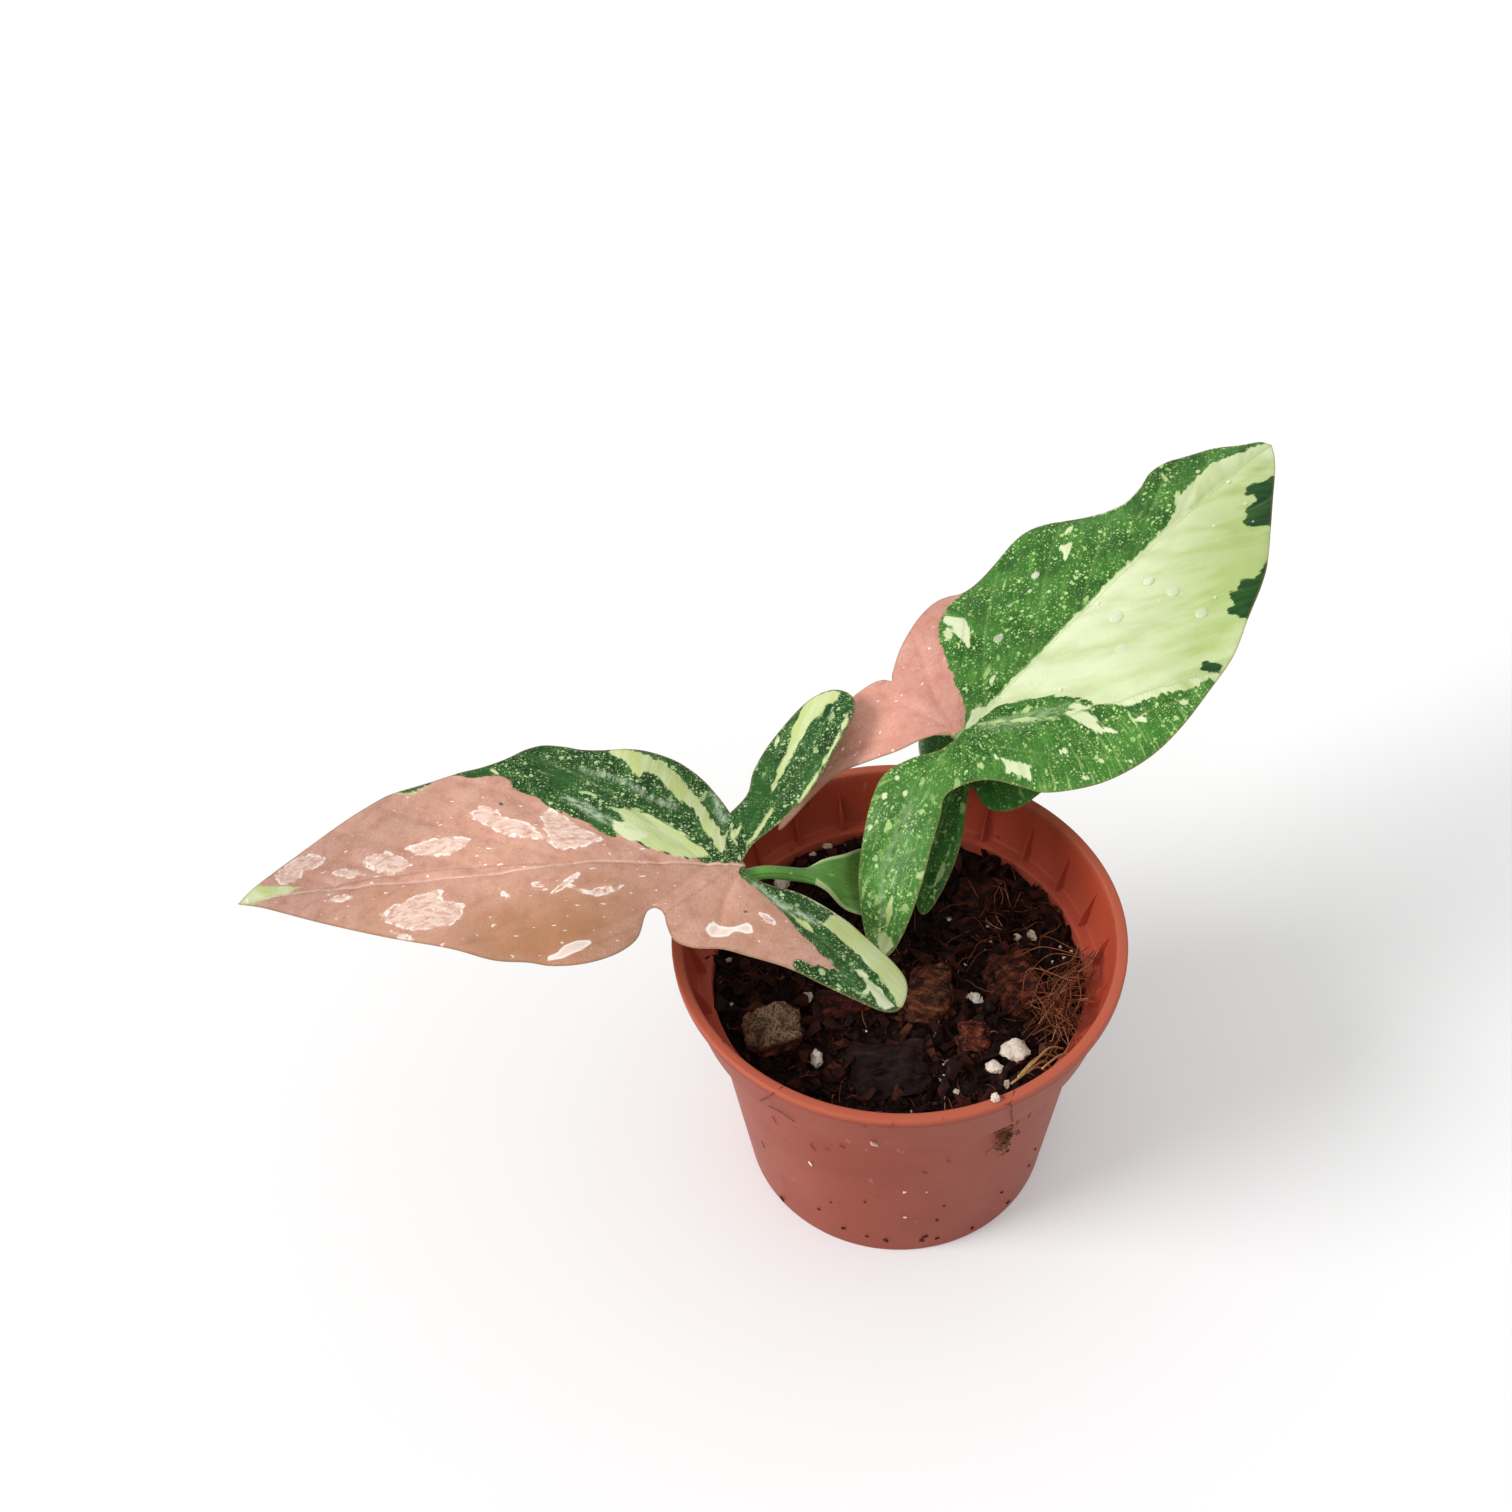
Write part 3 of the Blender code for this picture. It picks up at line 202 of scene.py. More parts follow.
LEFT_PATCHES = (
    Patch(Zone.PALE, (
        "5.3,-1.9 7,-2.2 9.3,-1.6 12,-2.2 13.5,-2.8 15,-3.4 16.5,-3.7 17.5,-4.5 18.8,-5.2 "
        "19.8,-5.7 20.8,-6.4 21.7,-7.2 22.4,-8.3 22.4,-9.4 21.8,-9.3 20.6,-8.8 20.2,-9.3 "
        "20.8,-10.2 21.3,-11 21.2,-12 20.5,-12.4 19.5,-11.8 18.5,-11.6 17,-11.3 16,-10.9 "
        "14.5,-9.9 13,-9.2 12,-8.3 11,-7.5 10,-6.7 9,-5.7 8,-4.8 7,-3.9 6,-3")),
    Patch(Zone.CREAM, (
        "15.8,-6.4 16.8,-5.5 18,-5 19.5,-5.5 20.5,-6.3 21.5,-7.3 22.3,-8.4 22.3,-9.3 21,-9 "
        "19.8,-7.8 18.5,-7.2 17,-7.1")),
    Patch(Zone.PALE, (
        "2.4,-3 3,-3.2 3.5,-2.7 4.2,-3.5 4.9,-4.3 5.2,-5.2 5.8,-6.6 6.4,-7.5 6.8,-8.8 7.3,-10 "
        "7.9,-11.5 8.6,-12.7 9.6,-13.4 10.5,-14.3 11.5,-15.2 12.5,-16.3 13.3,-17.6 14.4,-18.8 "
        "15.5,-19.5 16.5,-19.9 17.3,-19.8 17.8,-18.9 18.4,-18.6 18.9,-19.5 19.4,-20.3 19.9,-21.2 "
        "20.7,-22.3 21.7,-23.3 23,-24 24,-25 23.5,-25.4 21,-25 19,-24.6 17,-23.8 15.5,-23.3 "
        "13.5,-22.6 12.2,-21.2 11,-20 10,-18.9 9.4,-18 8.6,-17 7.8,-15.6 7,-14.3 6.3,-13 "
        "5.6,-11.6 5.1,-10 4.6,-9 4.1,-8 3.7,-7.2 3,-6.3 2.9,-5.2 2.7,-4.3")),
    Patch(Zone.SILVER, "2.6,-9.5 3.6,-12 5.4,-16.5", 1.1),
    Patch(Zone.SILVER, "15.5,-14 20,-17.5 24,-19.5 28.5,-21.5", 0.8),
    Patch(Zone.SILVER, "11.5,-12.5 13.5,-13.4 15.5,-14.4", 0.9),
    Patch(Zone.SILVER, "21.5,-8.5 25,-10.5 28,-13 31,-15", 1.5),
    Patch(Zone.PALE, "43,-20 43.8,-21 44.6,-22.2", 0.7),
    Patch(Zone.PALE, (
        "-5.3,-15.3 -5.6,-17 -6.2,-18.5 -6.8,-20 -7.6,-21.5 -8.2,-22.8 -8.8,-24 -9.4,-25.5 "
        "-9.7,-27 -9.9,-28.2 -10.8,-29 -11.2,-30.2 -11.4,-31 -12.5,-32.3 -14,-33 -16,-33.6 "
        "-18,-33.4 -19.7,-32.6 -19,-31.3 -18,-30.7 -16.8,-30.4 -16,-29.6 -15.2,-29.1 -14.3,-28.6 "
        "-13.5,-27.5 -12.7,-26.6 -11.8,-25.2 -11,-24.3 -10.2,-23.3 -9.4,-22 -8.6,-20.8 -7.8,-19.6 "
        "-7,-18.4 -6.2,-17 -5.7,-15.8")),
    Patch(Zone.PALE, "-0.9,-5 -2.4,-7 -3.9,-9.4 -5.5,-12.3", 0.7),
    Patch(Zone.PALE, "1,-4.5 1.6,-7 1.9,-10.3", 0.5),
    Patch(Zone.PALE, "0.8,-5.7 0.2,-9.5", 0.4),
    Patch(Zone.PALE, "-6,-8.2 -12,-14 -19,-23.5 -21.6,-29", 0.6),
    Patch(Zone.PALE, "-6.5,-25 -7,-27.5", 0.6),
    Patch(Zone.PALE, (
        "-13,12 -14.5,13 -15.8,13.8 -17,15.2 -18,16.5 -19,17.8 -20,19.2 -21,20.2 -22,21 -23,22 "
        "-23.7,23.3 -24.2,24.6 -24.7,26 -25,27.2 -28,28 -29,23 -25,15 -18,9.5 -16.5,9.2 -15,9.3 "
        "-14.6,10.2 -14.3,10.8 -13.5,11.5")),
    Patch(Zone.CREAM, (
        "-24.5,27.5 -23.8,26 -23,25.2 -22.4,24 -21.5,23.2 -20.6,22.2 -19.8,21 -19,20.2 -18,19.6 "
        "-18.2,20.5 -18.8,21.5 -19.6,22.5 -20.2,23.7 -19.8,24.8 -19.2,25.8 -20,26 -20.8,24.8 "
        "-21.3,26 -21.8,27.5 -23,28.3")),
    Patch(Zone.PALE, "-11.6,13.7 -10.1,12 -8.4,10.3", 0.9),
    Patch(Zone.SILVER, "-13,12 -6,8 -2,4", 1.2),
    Patch(Zone.CREAM, "-20,12 -13,7.2 -8,5.1", 0.5),
    Patch(Zone.PALE, (
        "76,-1.1 80.5,-0.6 83,-0.2 86,0.3 88.8,0.5 90.5,-1 88,-2.6 86.5,-3.9 84,-3.2 81,-2.3 "
        "78,-1.6")),
    Patch(Zone.DARK, "41.6,-13.5 42.2,-13.7", 0.5),
    Patch(Zone.DARK, "-0.4,10.3 -0.9,10.6", 0.5),
    # Water films: their lighter colour is painted sheen.
    Patch(Zone.FILM, (
        "24,-5 28,-3.5 31,-3 33,-5 34,-8 35,-12 33.5,-12.5 31,-11 28,-8 25,-6.3")),
    Patch(Zone.FILM, (
        "34,-5.5 40,-6.5 44,-9 47.4,-11.5 45.8,-13.5 43.6,-12.8 40,-10 36,-8.5")),
    Patch(Zone.FILM, (
        "58.1,-6.1 54.9,-6.8 50.2,-7.2 46.6,-6.5 47.6,-4.8 49.8,-3.5 53.4,-3.8 56.4,-4.6")),
    Patch(Zone.FILM, (
        "64.9,-5 61.4,-5.6 58.8,-4 56.8,-2 58.4,-0.9 60.1,-0.5 63.2,-2.2 65.4,-4.1")),
    Patch(Zone.FILM, "70.6,-2.6 68.9,-3.2 66.4,-2.5 65,-1.2 68,-1.1"),
    Patch(Zone.FILM, (
        "82.4,-5.2 79.9,-7.1 76.6,-8.2 73.1,-6.6 73.5,-5 76.6,-4.6 78.1,-2.5 80.6,-2.4")),
    Patch(Zone.FILM, (
        "60.8,9 59,7.2 55.8,5.6 52.4,4.6 50.1,4.2 51,6.4 46.2,8.4 46.5,10.6 48,12.8 52.5,12.8 "
        "56,12")),
    Patch(Zone.FILM, "71.5,3.1 69.2,2.4 66,3.5 68.2,4.1"),
    Patch(Zone.FILM, "58.4,12.2 56.5,13.2 54.5,14.5", 0.7),
    Patch(Zone.FILM, "31.6,6.4 29.8,4.6 27.6,2.4", 0.8),
    Patch(Zone.FILM, "24.9,6.6 23.5,5.9 21.6,5.5", 1.0),
    Patch(Zone.FILM, "35.4,4.1 33.4,4.9", 0.7),
    Patch(Zone.FILM, "40.9,5.1 39.1,6.8", 0.6),
    Patch(Zone.PALE, "62.8,-19.2 59,-18.4 56.2,-19.6", 0.5),
    Patch(Zone.FILM, "-5,13 -3,11", 1.4),
    Patch(Zone.FILM, "20,5 24,7 29,5", 0.6),
    # Two pale glossy marks on the leaf, painted near white as painted highlights.
    Patch(Zone.GLINT, (
        "24.5,18.5 26,20 29,21.3 31.5,21.2 31.5,20.2 30,19.8 29,18.3 27,17.6 24.8,17.7")),
    Patch(Zone.GLINT, (
        "-1.7,15.2 -0.5,15.4 0.5,15 1.5,15 2.5,16 4,16.2 5.5,15.7 6.2,14.5 5.5,13.2 4.5,13 "
        "3.7,13.6 2.5,14 1.2,13.9 0,13.3 -0.8,12.9 -1.5,13.7")),
)

LEFT_LEAF = LeafForm(
    name="leaf_left_blade",
    slot="pink_leaf",
    base=Base.PINK,
    runs=LEFT_OUTLINE,
    bends=(
        Bend(-1, (0, 0), 100, 32, 14),
        Bend(1, (0, 0), 90, -12, 16),
        Bend(0, (20, 0), -90, -20, 62),
        Bend(1, (0, 2), 0, 6, 20),
        Bend(-1, (0, -2), 180, 6, 20),
    ),
    waves=(Wave(-1, 1.0, 26, 12, 24), Wave(1, 0.8, 24, 18, 22)),
    joint=(-26.5, 1.9, 78),
    heading=178,
    pitch=5,
    midrib=run("0,-0.2 5,-0.8 24,-1 39,0.8 48,1.4 60,1.1 72,0.1 84,-0.7 89,-1"),
    veins=LEFT_VEINS,
    patches=LEFT_PATCHES,
    # Glow tones are painted light and shade mixed with the leaf's own tone; the darker, browner
    # spot at (30, 16) is painted shade where the lobe bends away from the light.
    glows=(
        Glow(30, 16, 9, -0.10, 0.9), Glow(2, 7, 6, 0.12), Glow(42, -2, 15, 0.24, 0.12),
        Glow(80, -3, 14, -0.2), Glow(62, -12, 10, -0.08), Glow(20, 8, 8, -0.04, 0.35),
        Glow(60, 10, 8, 0.02, 0.4), Glow(42, 16, 7, -0.02, 0.6), Glow(-3, 12, 8, 0.03, 0.3),
    ),
    ears=(-121, 133),
    greens=LEFT_GREEN,
)

RIGHT_OUTLINE = runs(
    "88,0 86.8,1.8 83.5,4 79.8,7.2 75,9.5 71,11.4 67,12 63,11.1 58.5,10.8 54,12.3 50,14.8 46,17.8 "
    "42.5,19.8 38.5,20.8 32.5,20.8 27,20.6 24,21 22,22.2 19,23 13,22.8 8,21.8 3.8,19.6 2.3,18.2; "
    "2.3,18.2 0.8,20.2 -5,21.7 -12,21.6 -20,20.5 -28,19.3 -32,18 -29,16.7 -23.5,15.4 -17.5,13.6 "
    "-12,9.8 -8,7 -4,5 -1,3 0,1.6; 0,1.6 -0.6,0.9 -0.4,0.1; -0.4,0.1 -3.8,0.9 -7.6,3.8 -12.6,6 "
    "-17.6,5 -24,2 -31,-2.2 -36,-6.7 -38.8,-10.5 -38.9,-14 -36.5,-15 -31,-14.2 -24,-12 -18,-9.4 "
    "-13,-7.3 -9.5,-5.6 -5.5,-7.2 -2.5,-10 -0.3,-14.5 1.5,-18.3 5.7,-22.2 11,-25.4 18.5,-27.9 "
    "26,-28.5 34,-27.8 42,-26.5 50,-23.6 57,-21.1 63,-18 75,-10 83,-4.5 88,0")

RIGHT_VEINS = runs(
    "8,0.6 16,8 24,14 32,19; 20,0.6 30,7 40,13 47,16.5; 34,0.6 44,6 53,10 58,10.5; 48,0.6 58,5 "
    "68,9 73,10; 62,0.8 72,4.5 80,6; 10,0 18,-8 26,-15 35,-21 42,-25; 22,0 32,-6 44,-13 54,-19; "
    "35,0 48,-6.5 60,-12 68,-15; 50,0 62,-5 73,-9 78,-9; 65,0.3 75,-3 83,-4; 0,1 -6,9 -14,15 "
    "-24,18 -31,18; 1,1 4,9 9,17 12,22; 1,1 0,9 -1,16; 0,0 -10,-1 -20,-4 -30,-8 -37,-13; 0,-1 "
    "4,-9 9,-17 15,-25; 1,-1 8,-8 16,-16 25,-23 32,-27")

RIGHT_PATCHES = (
    Patch(Zone.PINK, (
        "2.5,0.6 3,1 4,1.6 5,2.4 5.8,3.5 6.5,4.8 7.2,6 7.8,7.3 8.6,8.3 9.3,9.4 10,10.8 10.8,12.2 "
        "11.8,13.8 12.6,15 13.4,16.3 14.4,17.4 15.4,18.3 16.5,18.9 18,19.6 20,20.3 22,20.5 "
        "24,20.6 26,20.8 26,26 0,28 -44,24 -38,13 -12,6.5 -1,2.5 0,1.6 0,0.9 1.5,0.7")),
    Patch(Zone.CREAM, (
        "2.5,0.5 3,0.5 5.7,1.8 6.5,1.4 8,0.8 10,0.45 30,0.4 40,0.7 56,0.8 58,0.9 60,1.4 62,2.1 "
        "64,2.9 65.5,3.6 68,4 71,4.4 73.5,4.7 76,4.6 77.5,4 78.8,3.4 80.5,2.6 83,2 85.5,1.6 "
        "86.8,0.9 90,0.5 90,-4 63,-22 50,-28 36,-31 35.8,-27 35.6,-26.2 33.5,-25.9 31.8,-25.3 "
        "30.5,-24.6 29.5,-23.7 28,-22.4 26,-21.3 24.2,-20.4 22.8,-19.3 21.5,-17.5 20.5,-15.8 "
        "19.3,-14.6 19.2,-13.8 18.7,-12.5 18.2,-10.9 17.7,-10 17,-8.8 16,-7.3 15,-6.3 13.5,-5 "
        "12,-3.7 10.5,-2.5 9.5,-1.9 8.5,-1.2 7.5,-0.8 6,-0.5 4,-0.5 2.5,-0.2")),
    Patch(Zone.CREAM, (
        "16.3,-11.3 17.4,-11.6 18.2,-13.2 18.7,-14.5 17.8,-14.2 17,-13.3 16.2,-12.2")),
    Patch(Zone.DARK, "18.3,-11.3 19.1,-14.1", 0.5),
    Patch(Zone.DARK, "35.8,-24.2 37.6,-23.3 38.2,-23.8 39.2,-26.4 37.5,-26.9 36.5,-25.5"),
    Patch(Zone.DARK, (
        "48,-20.5 49.2,-19.8 50.2,-20.2 51,-18.8 52.2,-17.6 53.3,-18.6 55,-17.8 56,-18.4 57,-19.4 "
        "58.5,-19.2 60.5,-18.7 62,-18.3 61,-22 55,-25 50,-25.5 49,-22.3")),
    Patch(Zone.DARK, (
        "66.3,-10.5 67.2,-9.4 69,-8.7 70.2,-7.2 71.5,-7.6 72.8,-7.7 73.8,-6.8 72.5,-5.8 73,-5 "
        "74.5,-4.4 76.2,-4.8 77.5,-6 79,-5.7 80.5,-6 79,-9.5 74,-13 70,-14.5 68.5,-12.6 "
        "67.5,-11.8")),
    Patch(Zone.CREAM, (
        "15.4,10.9 16.5,11.8 18,13 19.3,14.6 19.7,15.8 19.2,17 18.6,18.3 17.6,19 16.8,18.3 "
        "16.6,17.2 17,16.5 16.4,15.5 16,14.3 15.8,13 15.3,11.6")),
    Patch(Zone.CREAM, "14.2,15.5 15,17 16.2,16.8 16.3,16 15.6,15 14.6,14.7"),
    Patch(Zone.CREAM, (
        "40.2,9.9 41,11 41.8,12.1 42.7,12.5 43.8,12 44.8,11.9 44,11.1 43,10.6 42,10.2 41,9.9")),
    Patch(Zone.CREAM, "45,14.2 47,14.7 47.8,14.3 46.5,13.7 45.2,13.8"),
    Patch(Zone.CREAM, "11.5,2.3 12.5,3.3 14,3.6 13.3,2.9 12.2,2.4"),
    Patch(Zone.CREAM, "52,13 55,12 58.5,10.9 64,11.3", 0.8),
    Patch(Zone.PALE, "62.5,2.5 64,3.4 66,4.5", 0.7),
    Patch(Zone.PALE, "66.8,7 67.4,8.6 68,10", 0.6),
    Patch(Zone.CREAM, (
        "1,-5.5 1.2,-7 0.8,-8.2 1.4,-9.5 0.4,-10.8 -0.2,-11.2 0.6,-11.8 1.2,-13 1.4,-14.5 2,-16 "
        "2.4,-15 2.9,-14 3.6,-13.6 3.4,-12.6 2.6,-11.2 2.2,-10 1.6,-8.8 1.3,-7")),
    Patch(Zone.CREAM, (
        "14.8,-12 15.5,-12 16.5,-13 17.5,-14.5 17.7,-16 17.2,-17.2 17,-18.5 17.5,-19.5 17.6,-20.8 "
        "17,-20 16.2,-19.4 15.7,-18.5 15.5,-17 15.2,-15.5 15,-13.8")),
    Patch(Zone.PALE, "4.3,-1.2 8.3,-5.5 13.5,-11.5", 0.6),
    Patch(Zone.CREAM, "21,-21.5 22.3,-21.8 23.2,-23 22.5,-23.6 21.6,-22.7"),
    Patch(Zone.SILVER, "4,-1 10,-5.5 17,-11 15.5,-11.5 9,-8 4,-3"),
    Patch(Zone.PALE, "-1.8,-6.3 -1.8,-7.4", 0.8),
    Patch(Zone.PALE, "3,-3.5 3.6,-4.1", 0.8),
    Patch(Zone.CREAM, "9.1,-15.5 9.5,-16.6", 0.9),
    Patch(Zone.CREAM, "7.8,-21.3 8.2,-22.3", 0.8),
    Patch(Zone.CREAM, "12,-21.5 12.6,-22.5", 0.8),
    Patch(Zone.CREAM, "15,-25.1 15.5,-26.1", 0.8),
    Patch(Zone.CREAM, "28.6,-25.6 29.5,-26.4", 0.9),
    Patch(Zone.PALE, "-34,-11.5 -31.5,-10 -29,-9", 0.9),
    Patch(Zone.PALE, "-39,-14 -37.5,-12 -36,-10.5 -35,-12 -36,-14.5"),
    Patch(Zone.CREAM, "-13.8,0.3 -13.1,0.4", 1.0),
    Patch(Zone.CREAM, "-12.3,3.5 -11.6,3.5", 0.8),
    Patch(Zone.CREAM, "-16.4,3.2 -15.6,3.2", 0.8),
    Patch(Zone.CREAM, "-22.2,2 -21.4,2", 0.7),
    Patch(Zone.CREAM, "-7.3,-1 -6.6,-1", 0.7),
    Patch(Zone.PALE, "-24,-10.5 -22,-11", 1.0),
    Patch(Zone.SILVER, "-12,-0.5 -20,-3 -28,-6 -34,-10", 1.3),
    Patch(Zone.SPRAY, (
        "-5,1 -9,6 -14,9 -20,7 -30,1 -42,-8 -42,-18 -30,-17 -18,-12 -8,-8 -4,-4")),
    Patch(Zone.SPRAY, "2,-10 6,-14 12,-17 20,-20 30,-25 36,-27 34,-31 20,-31 8,-27 0,-20"),
)

RIGHT_LEAF = LeafForm(
    name="leaf_right_blade",
    slot="green_cream_leaf",
    base=Base.GREEN,
    runs=RIGHT_OUTLINE,
    bends=(
        Bend(0, (-14, 0), 90, -14, 16),
        Bend(0, (0, 0), 90, -14, 16),
        Bend(0, (25, 0), -90, -12, 60),
        Bend(-1, (8, -5), 150, -14, 12),
        Bend(-1, (0, -2), 180, -6, 25),
        Bend(1, (0, 2), 0, -4, 25),
    ),
    waves=(Wave(1, 1.0, 27, 10, 22), Wave(-1, 0.7, 30, 20, 26)),
    joint=(12.3, 21.1, 86),
    heading=40,
    pitch=16,
    midrib=run("0,0.3 60,0.6 88,0"),
    veins=RIGHT_VEINS,
    patches=RIGHT_PATCHES,
    # Glow tones are painted light and shade mixed with the leaf's own tone; the lighter spots at
    # (-6.5, 15.6) and (-24, 17) are painted light that undoes the shade on the pink ear, mostly the
    # left leaf's shadow.
    glows=(
        Glow(-18, -2, 12, -0.08), Glow(-32, -9, 10, 0.06, 0.7), Glow(40, 8, 14, 0.08),
        Glow(20, -20, 12, 0.05), Glow(40, -26, 10, 0.1), Glow(72, -10, 14, 0, 0.7),
        Glow(55, -18, 12, 0, 0.8), Glow(38, -22, 10, 0, 0.5), Glow(-6.5, 15.6, 8, 0.45, 0.2),
        Glow(8, 14, 8, 0.05), Glow(-24, 17, 9, 0.28, 0.4), Glow(4, 2, 5, -0.12, 0.1),
    ),
    ears=(150, -161),
)

YOUNG_LEAF = LeafForm(
    name="leaf_young_blade",
    slot="green_leaf",
    base=Base.GREEN,
    runs=runs(
        "50,0 44,4 36,8 27,11.5 18,13.5 10,13.5 4,12 0.7,9.7; 0.7,9.7 -1.5,12.5 -6,15 -9.5,14 "
        "-10.5,10.5 -8.5,6 -4.5,2.5 -1,0.8; -1,0.8 -1.3,0 -1,-0.8; -1,-0.8 -5,-2.2 -11,-4 "
        "-17.5,-8 -22,-12.5 -23.8,-15.5 -22.8,-16.7 -19,-16.2 -13.4,-14.3 -8.2,-11.2 -4.6,-8 "
        "-0.8,-4.9; -0.8,-4.9 -0.8,-6.2 -1.6,-8.2 -1.9,-10 -1.2,-12 0.7,-13.6 3,-14.2 6.5,-14.2 "
        "13,-14.5 22,-13.2 32,-10 42,-5 50,0"),
    bends=(
        Bend(-1, (-2, 0), 90, -26, 14),
        Bend(1, (0.7, 7), 58, -92, 3.2),
        Bend(0, (16, 0), -90, -14, 30),
        Bend(1, (0, 1.5), 0, 5, 12),
        Bend(-1, (0, -1.5), 180, -6, 12),
    ),
    waves=(Wave(1, 0.6, 18, 4, 13), Wave(-1, 0.6, 18, 10, 13)),
    joint=(12.8, 25.3, 74),
    heading=35,
    pitch=8,
    midrib=run("0,0 25,0.2 50,0"),
    veins=runs(
        "4,0 12,7 18,12; 4,0 12,-7 20,-12; 14,0 24,6 30,9; 14,0 24,-6 32,-9; 26,0 36,4 41,5; 26,0 "
        "36,-4 42,-5; 0,1 -4,7 -7,13; 0,-1 -8,-6 -17,-11 -23,-16"),
    patches=(
        Patch(Zone.PALE, "-19.7,-12.8 -19,-14.2 -16,-13.6 -11.6,-11.5", 0.5),
        Patch(Zone.PALE, "-14,-7.5 -12.5,-8.5", 0.6),
        Patch(Zone.PALE, "-3,-9.5 -1.5,-11", 0.6),
    ),
    # Both glows are painted shade: the young leaf is darker where it lies under the right leaf.
    glows=(Glow(-12, -9, 14, -0.2), Glow(0, -8, 8, -0.1)),
    ears=(118, -145),
)


def linear(code: str) -> tuple:
    """Return the linear colour, with alpha, of an sRGB hex value."""
    shares = [int(code[i:i + 2], 16) / 255 for i in (1, 3, 5)]
    return (*(s / 12.92 if s <= 0.04045 else ((s + 0.055) / 1.055) ** 2.4 for s in shares), 1.0)


def feed(tree: NodeTree, socket: NodeSocket, value: object) -> None:
    """Give an input its value, or link it.

    Args:
        tree: The tree.
        socket: The input.
        value: A value, an output or a node.
    """
    if isinstance(value, Node):
        value = next(s for s in value.outputs if s.enabled)
    if isinstance(value, NodeSocket):
        tree.links.new(value, socket)
    else:
        socket.default_value = value


def add_node(tree: NodeTree, kind: str, inputs: dict | None = None, **settings: object) -> Node:
    """Add a node with its settings and links.

    Args:
        tree: The tree that gets the node.
        kind: The node's type.
        inputs: Values, sockets or nodes by the name or the number of the input.
        settings: Properties of the node.

    Returns:
        The new node.
    """
    node = tree.nodes.new(kind)
    for name, value in settings.items():
        setattr(node, name, value)
    for key, value in (inputs or {}).items():
        if isinstance(key, int):
            socket = node.inputs[key]
        else:
            socket = next(s for s in node.inputs if s.name == key and s.enabled)
        feed(tree, socket, value)
    return node


def new_tree(name: str, sizes: dict) -> tuple:
    """Start a geometry tree with named inputs.

    Args:
        name: The tree's name.
        sizes: Socket type by input name.

    Returns:
        The tree and the sockets that give its inputs.
    """
    tree = bpy.data.node_groups.new(name, "GeometryNodeTree")
    tree.interface.new_socket("Geometry", in_out="OUTPUT", socket_type="NodeSocketGeometry")
    tree.interface.new_socket("Geometry", in_out="INPUT", socket_type="NodeSocketGeometry")
    for label, kind in sizes.items():
        tree.interface.new_socket(label, in_out="INPUT", socket_type=kind)
    return tree, tree.nodes.new("NodeGroupInput").outputs


def end_tree(tree: NodeTree, result: NodeSocket, finish: object) -> None:
    """Close a geometry tree: real geometry, its material, and the output.

    Args:
        tree: The tree.
        result: The geometry to put out.
        finish: The socket that holds the material.
    """
    real = add_node(tree, "GeometryNodeRealizeInstances", {"Geometry": result})
    dressed = add_node(tree, "GeometryNodeSetMaterial", {"Geometry": real, "Material": finish})
    add_node(tree, "NodeGroupOutput", {0: dressed})


def add_object(name: str, mesh: Mesh) -> Object:
    """Put a mesh into the scene as an object at the origin.

    Args:
        name: The object's name.
        mesh: Its mesh.

    Returns:
        The new object.
    """
    item = bpy.data.objects.new(name, mesh)
    bpy.context.scene.collection.objects.link(item)
    return item


def settle(item: Object) -> None:
    """Turn an object and its modifiers into a plain mesh.

    Args:
        item: The object.
    """
    graph = bpy.context.evaluated_depsgraph_get()
    mesh = bpy.data.meshes.new_from_object(item.evaluated_get(graph))
    item.modifiers.clear()
    item.data = mesh


def grow(name: str, seed_mesh: Mesh, tree: NodeTree, values: dict) -> Object:
    """Run a geometry tree over a mesh and keep the result as a plain mesh.

    Args:
        name: The finished object's name.
        seed_mesh: The mesh that the tree starts from.
        tree: The geometry tree.
        values: Values by input name.

    Returns:
        The finished object, without a modifier.
    """
    item = add_object(name, seed_mesh)
    step = item.modifiers.new("Grow", "NODES")
    step.node_group = tree
    keys = {s.name: s.identifier for s in tree.interface.items_tree if s.in_out == "INPUT"}
    for label, value in values.items():
        step[keys[label]] = value
    settle(item)
    item.data.name = name
    return item


def smooth_faces(mesh: Mesh, crease: float) -> None:
    """Shade a mesh smooth, apart from edges over an angle in degrees."""
    mesh.shade_smooth()
    mesh.set_sharp_from_angle(angle=math.radians(crease))


def tidy_mesh(mesh: Mesh, merge: float, crease: float) -> None:
    """Merge doubles, point the faces out and shade them smooth.

    Args:
        mesh: The mesh.
        merge: Distance in metres under which corners are merged.
        crease: Angle in degrees above which an edge stays sharp.
    """
    shape = bmesh.new()
    shape.from_mesh(mesh)
    bmesh.ops.remove_doubles(shape, verts=shape.verts, dist=merge)
    bmesh.ops.recalc_face_normals(shape, faces=shape.faces)
    shape.to_mesh(mesh)
    shape.free()
    smooth_faces(mesh, crease)


def end_shape(shape: bmesh.types.BMesh, name: str, finish: Material | None = None) -> Mesh:
    """Turn a worked shape into a mesh.

    Args:
        shape: The shape, which is freed.
        name: The mesh's name.
        finish: Its material, where it gets one here.

    Returns:
        The new mesh.
    """
    mesh = bpy.data.meshes.new(name)
    shape.to_mesh(mesh)
    shape.free()
    if finish:
        mesh.materials.append(finish)
    return mesh


def corners_of(mesh: Mesh) -> np.ndarray:
    """Return a mesh's corners, in metres.

    Args:
        mesh: The mesh.

    Returns:
        One corner a row.
    """
    spots = np.zeros(len(mesh.vertices) * 3)
    mesh.vertices.foreach_get("co", spots)
    return spots.reshape(-1, 3)


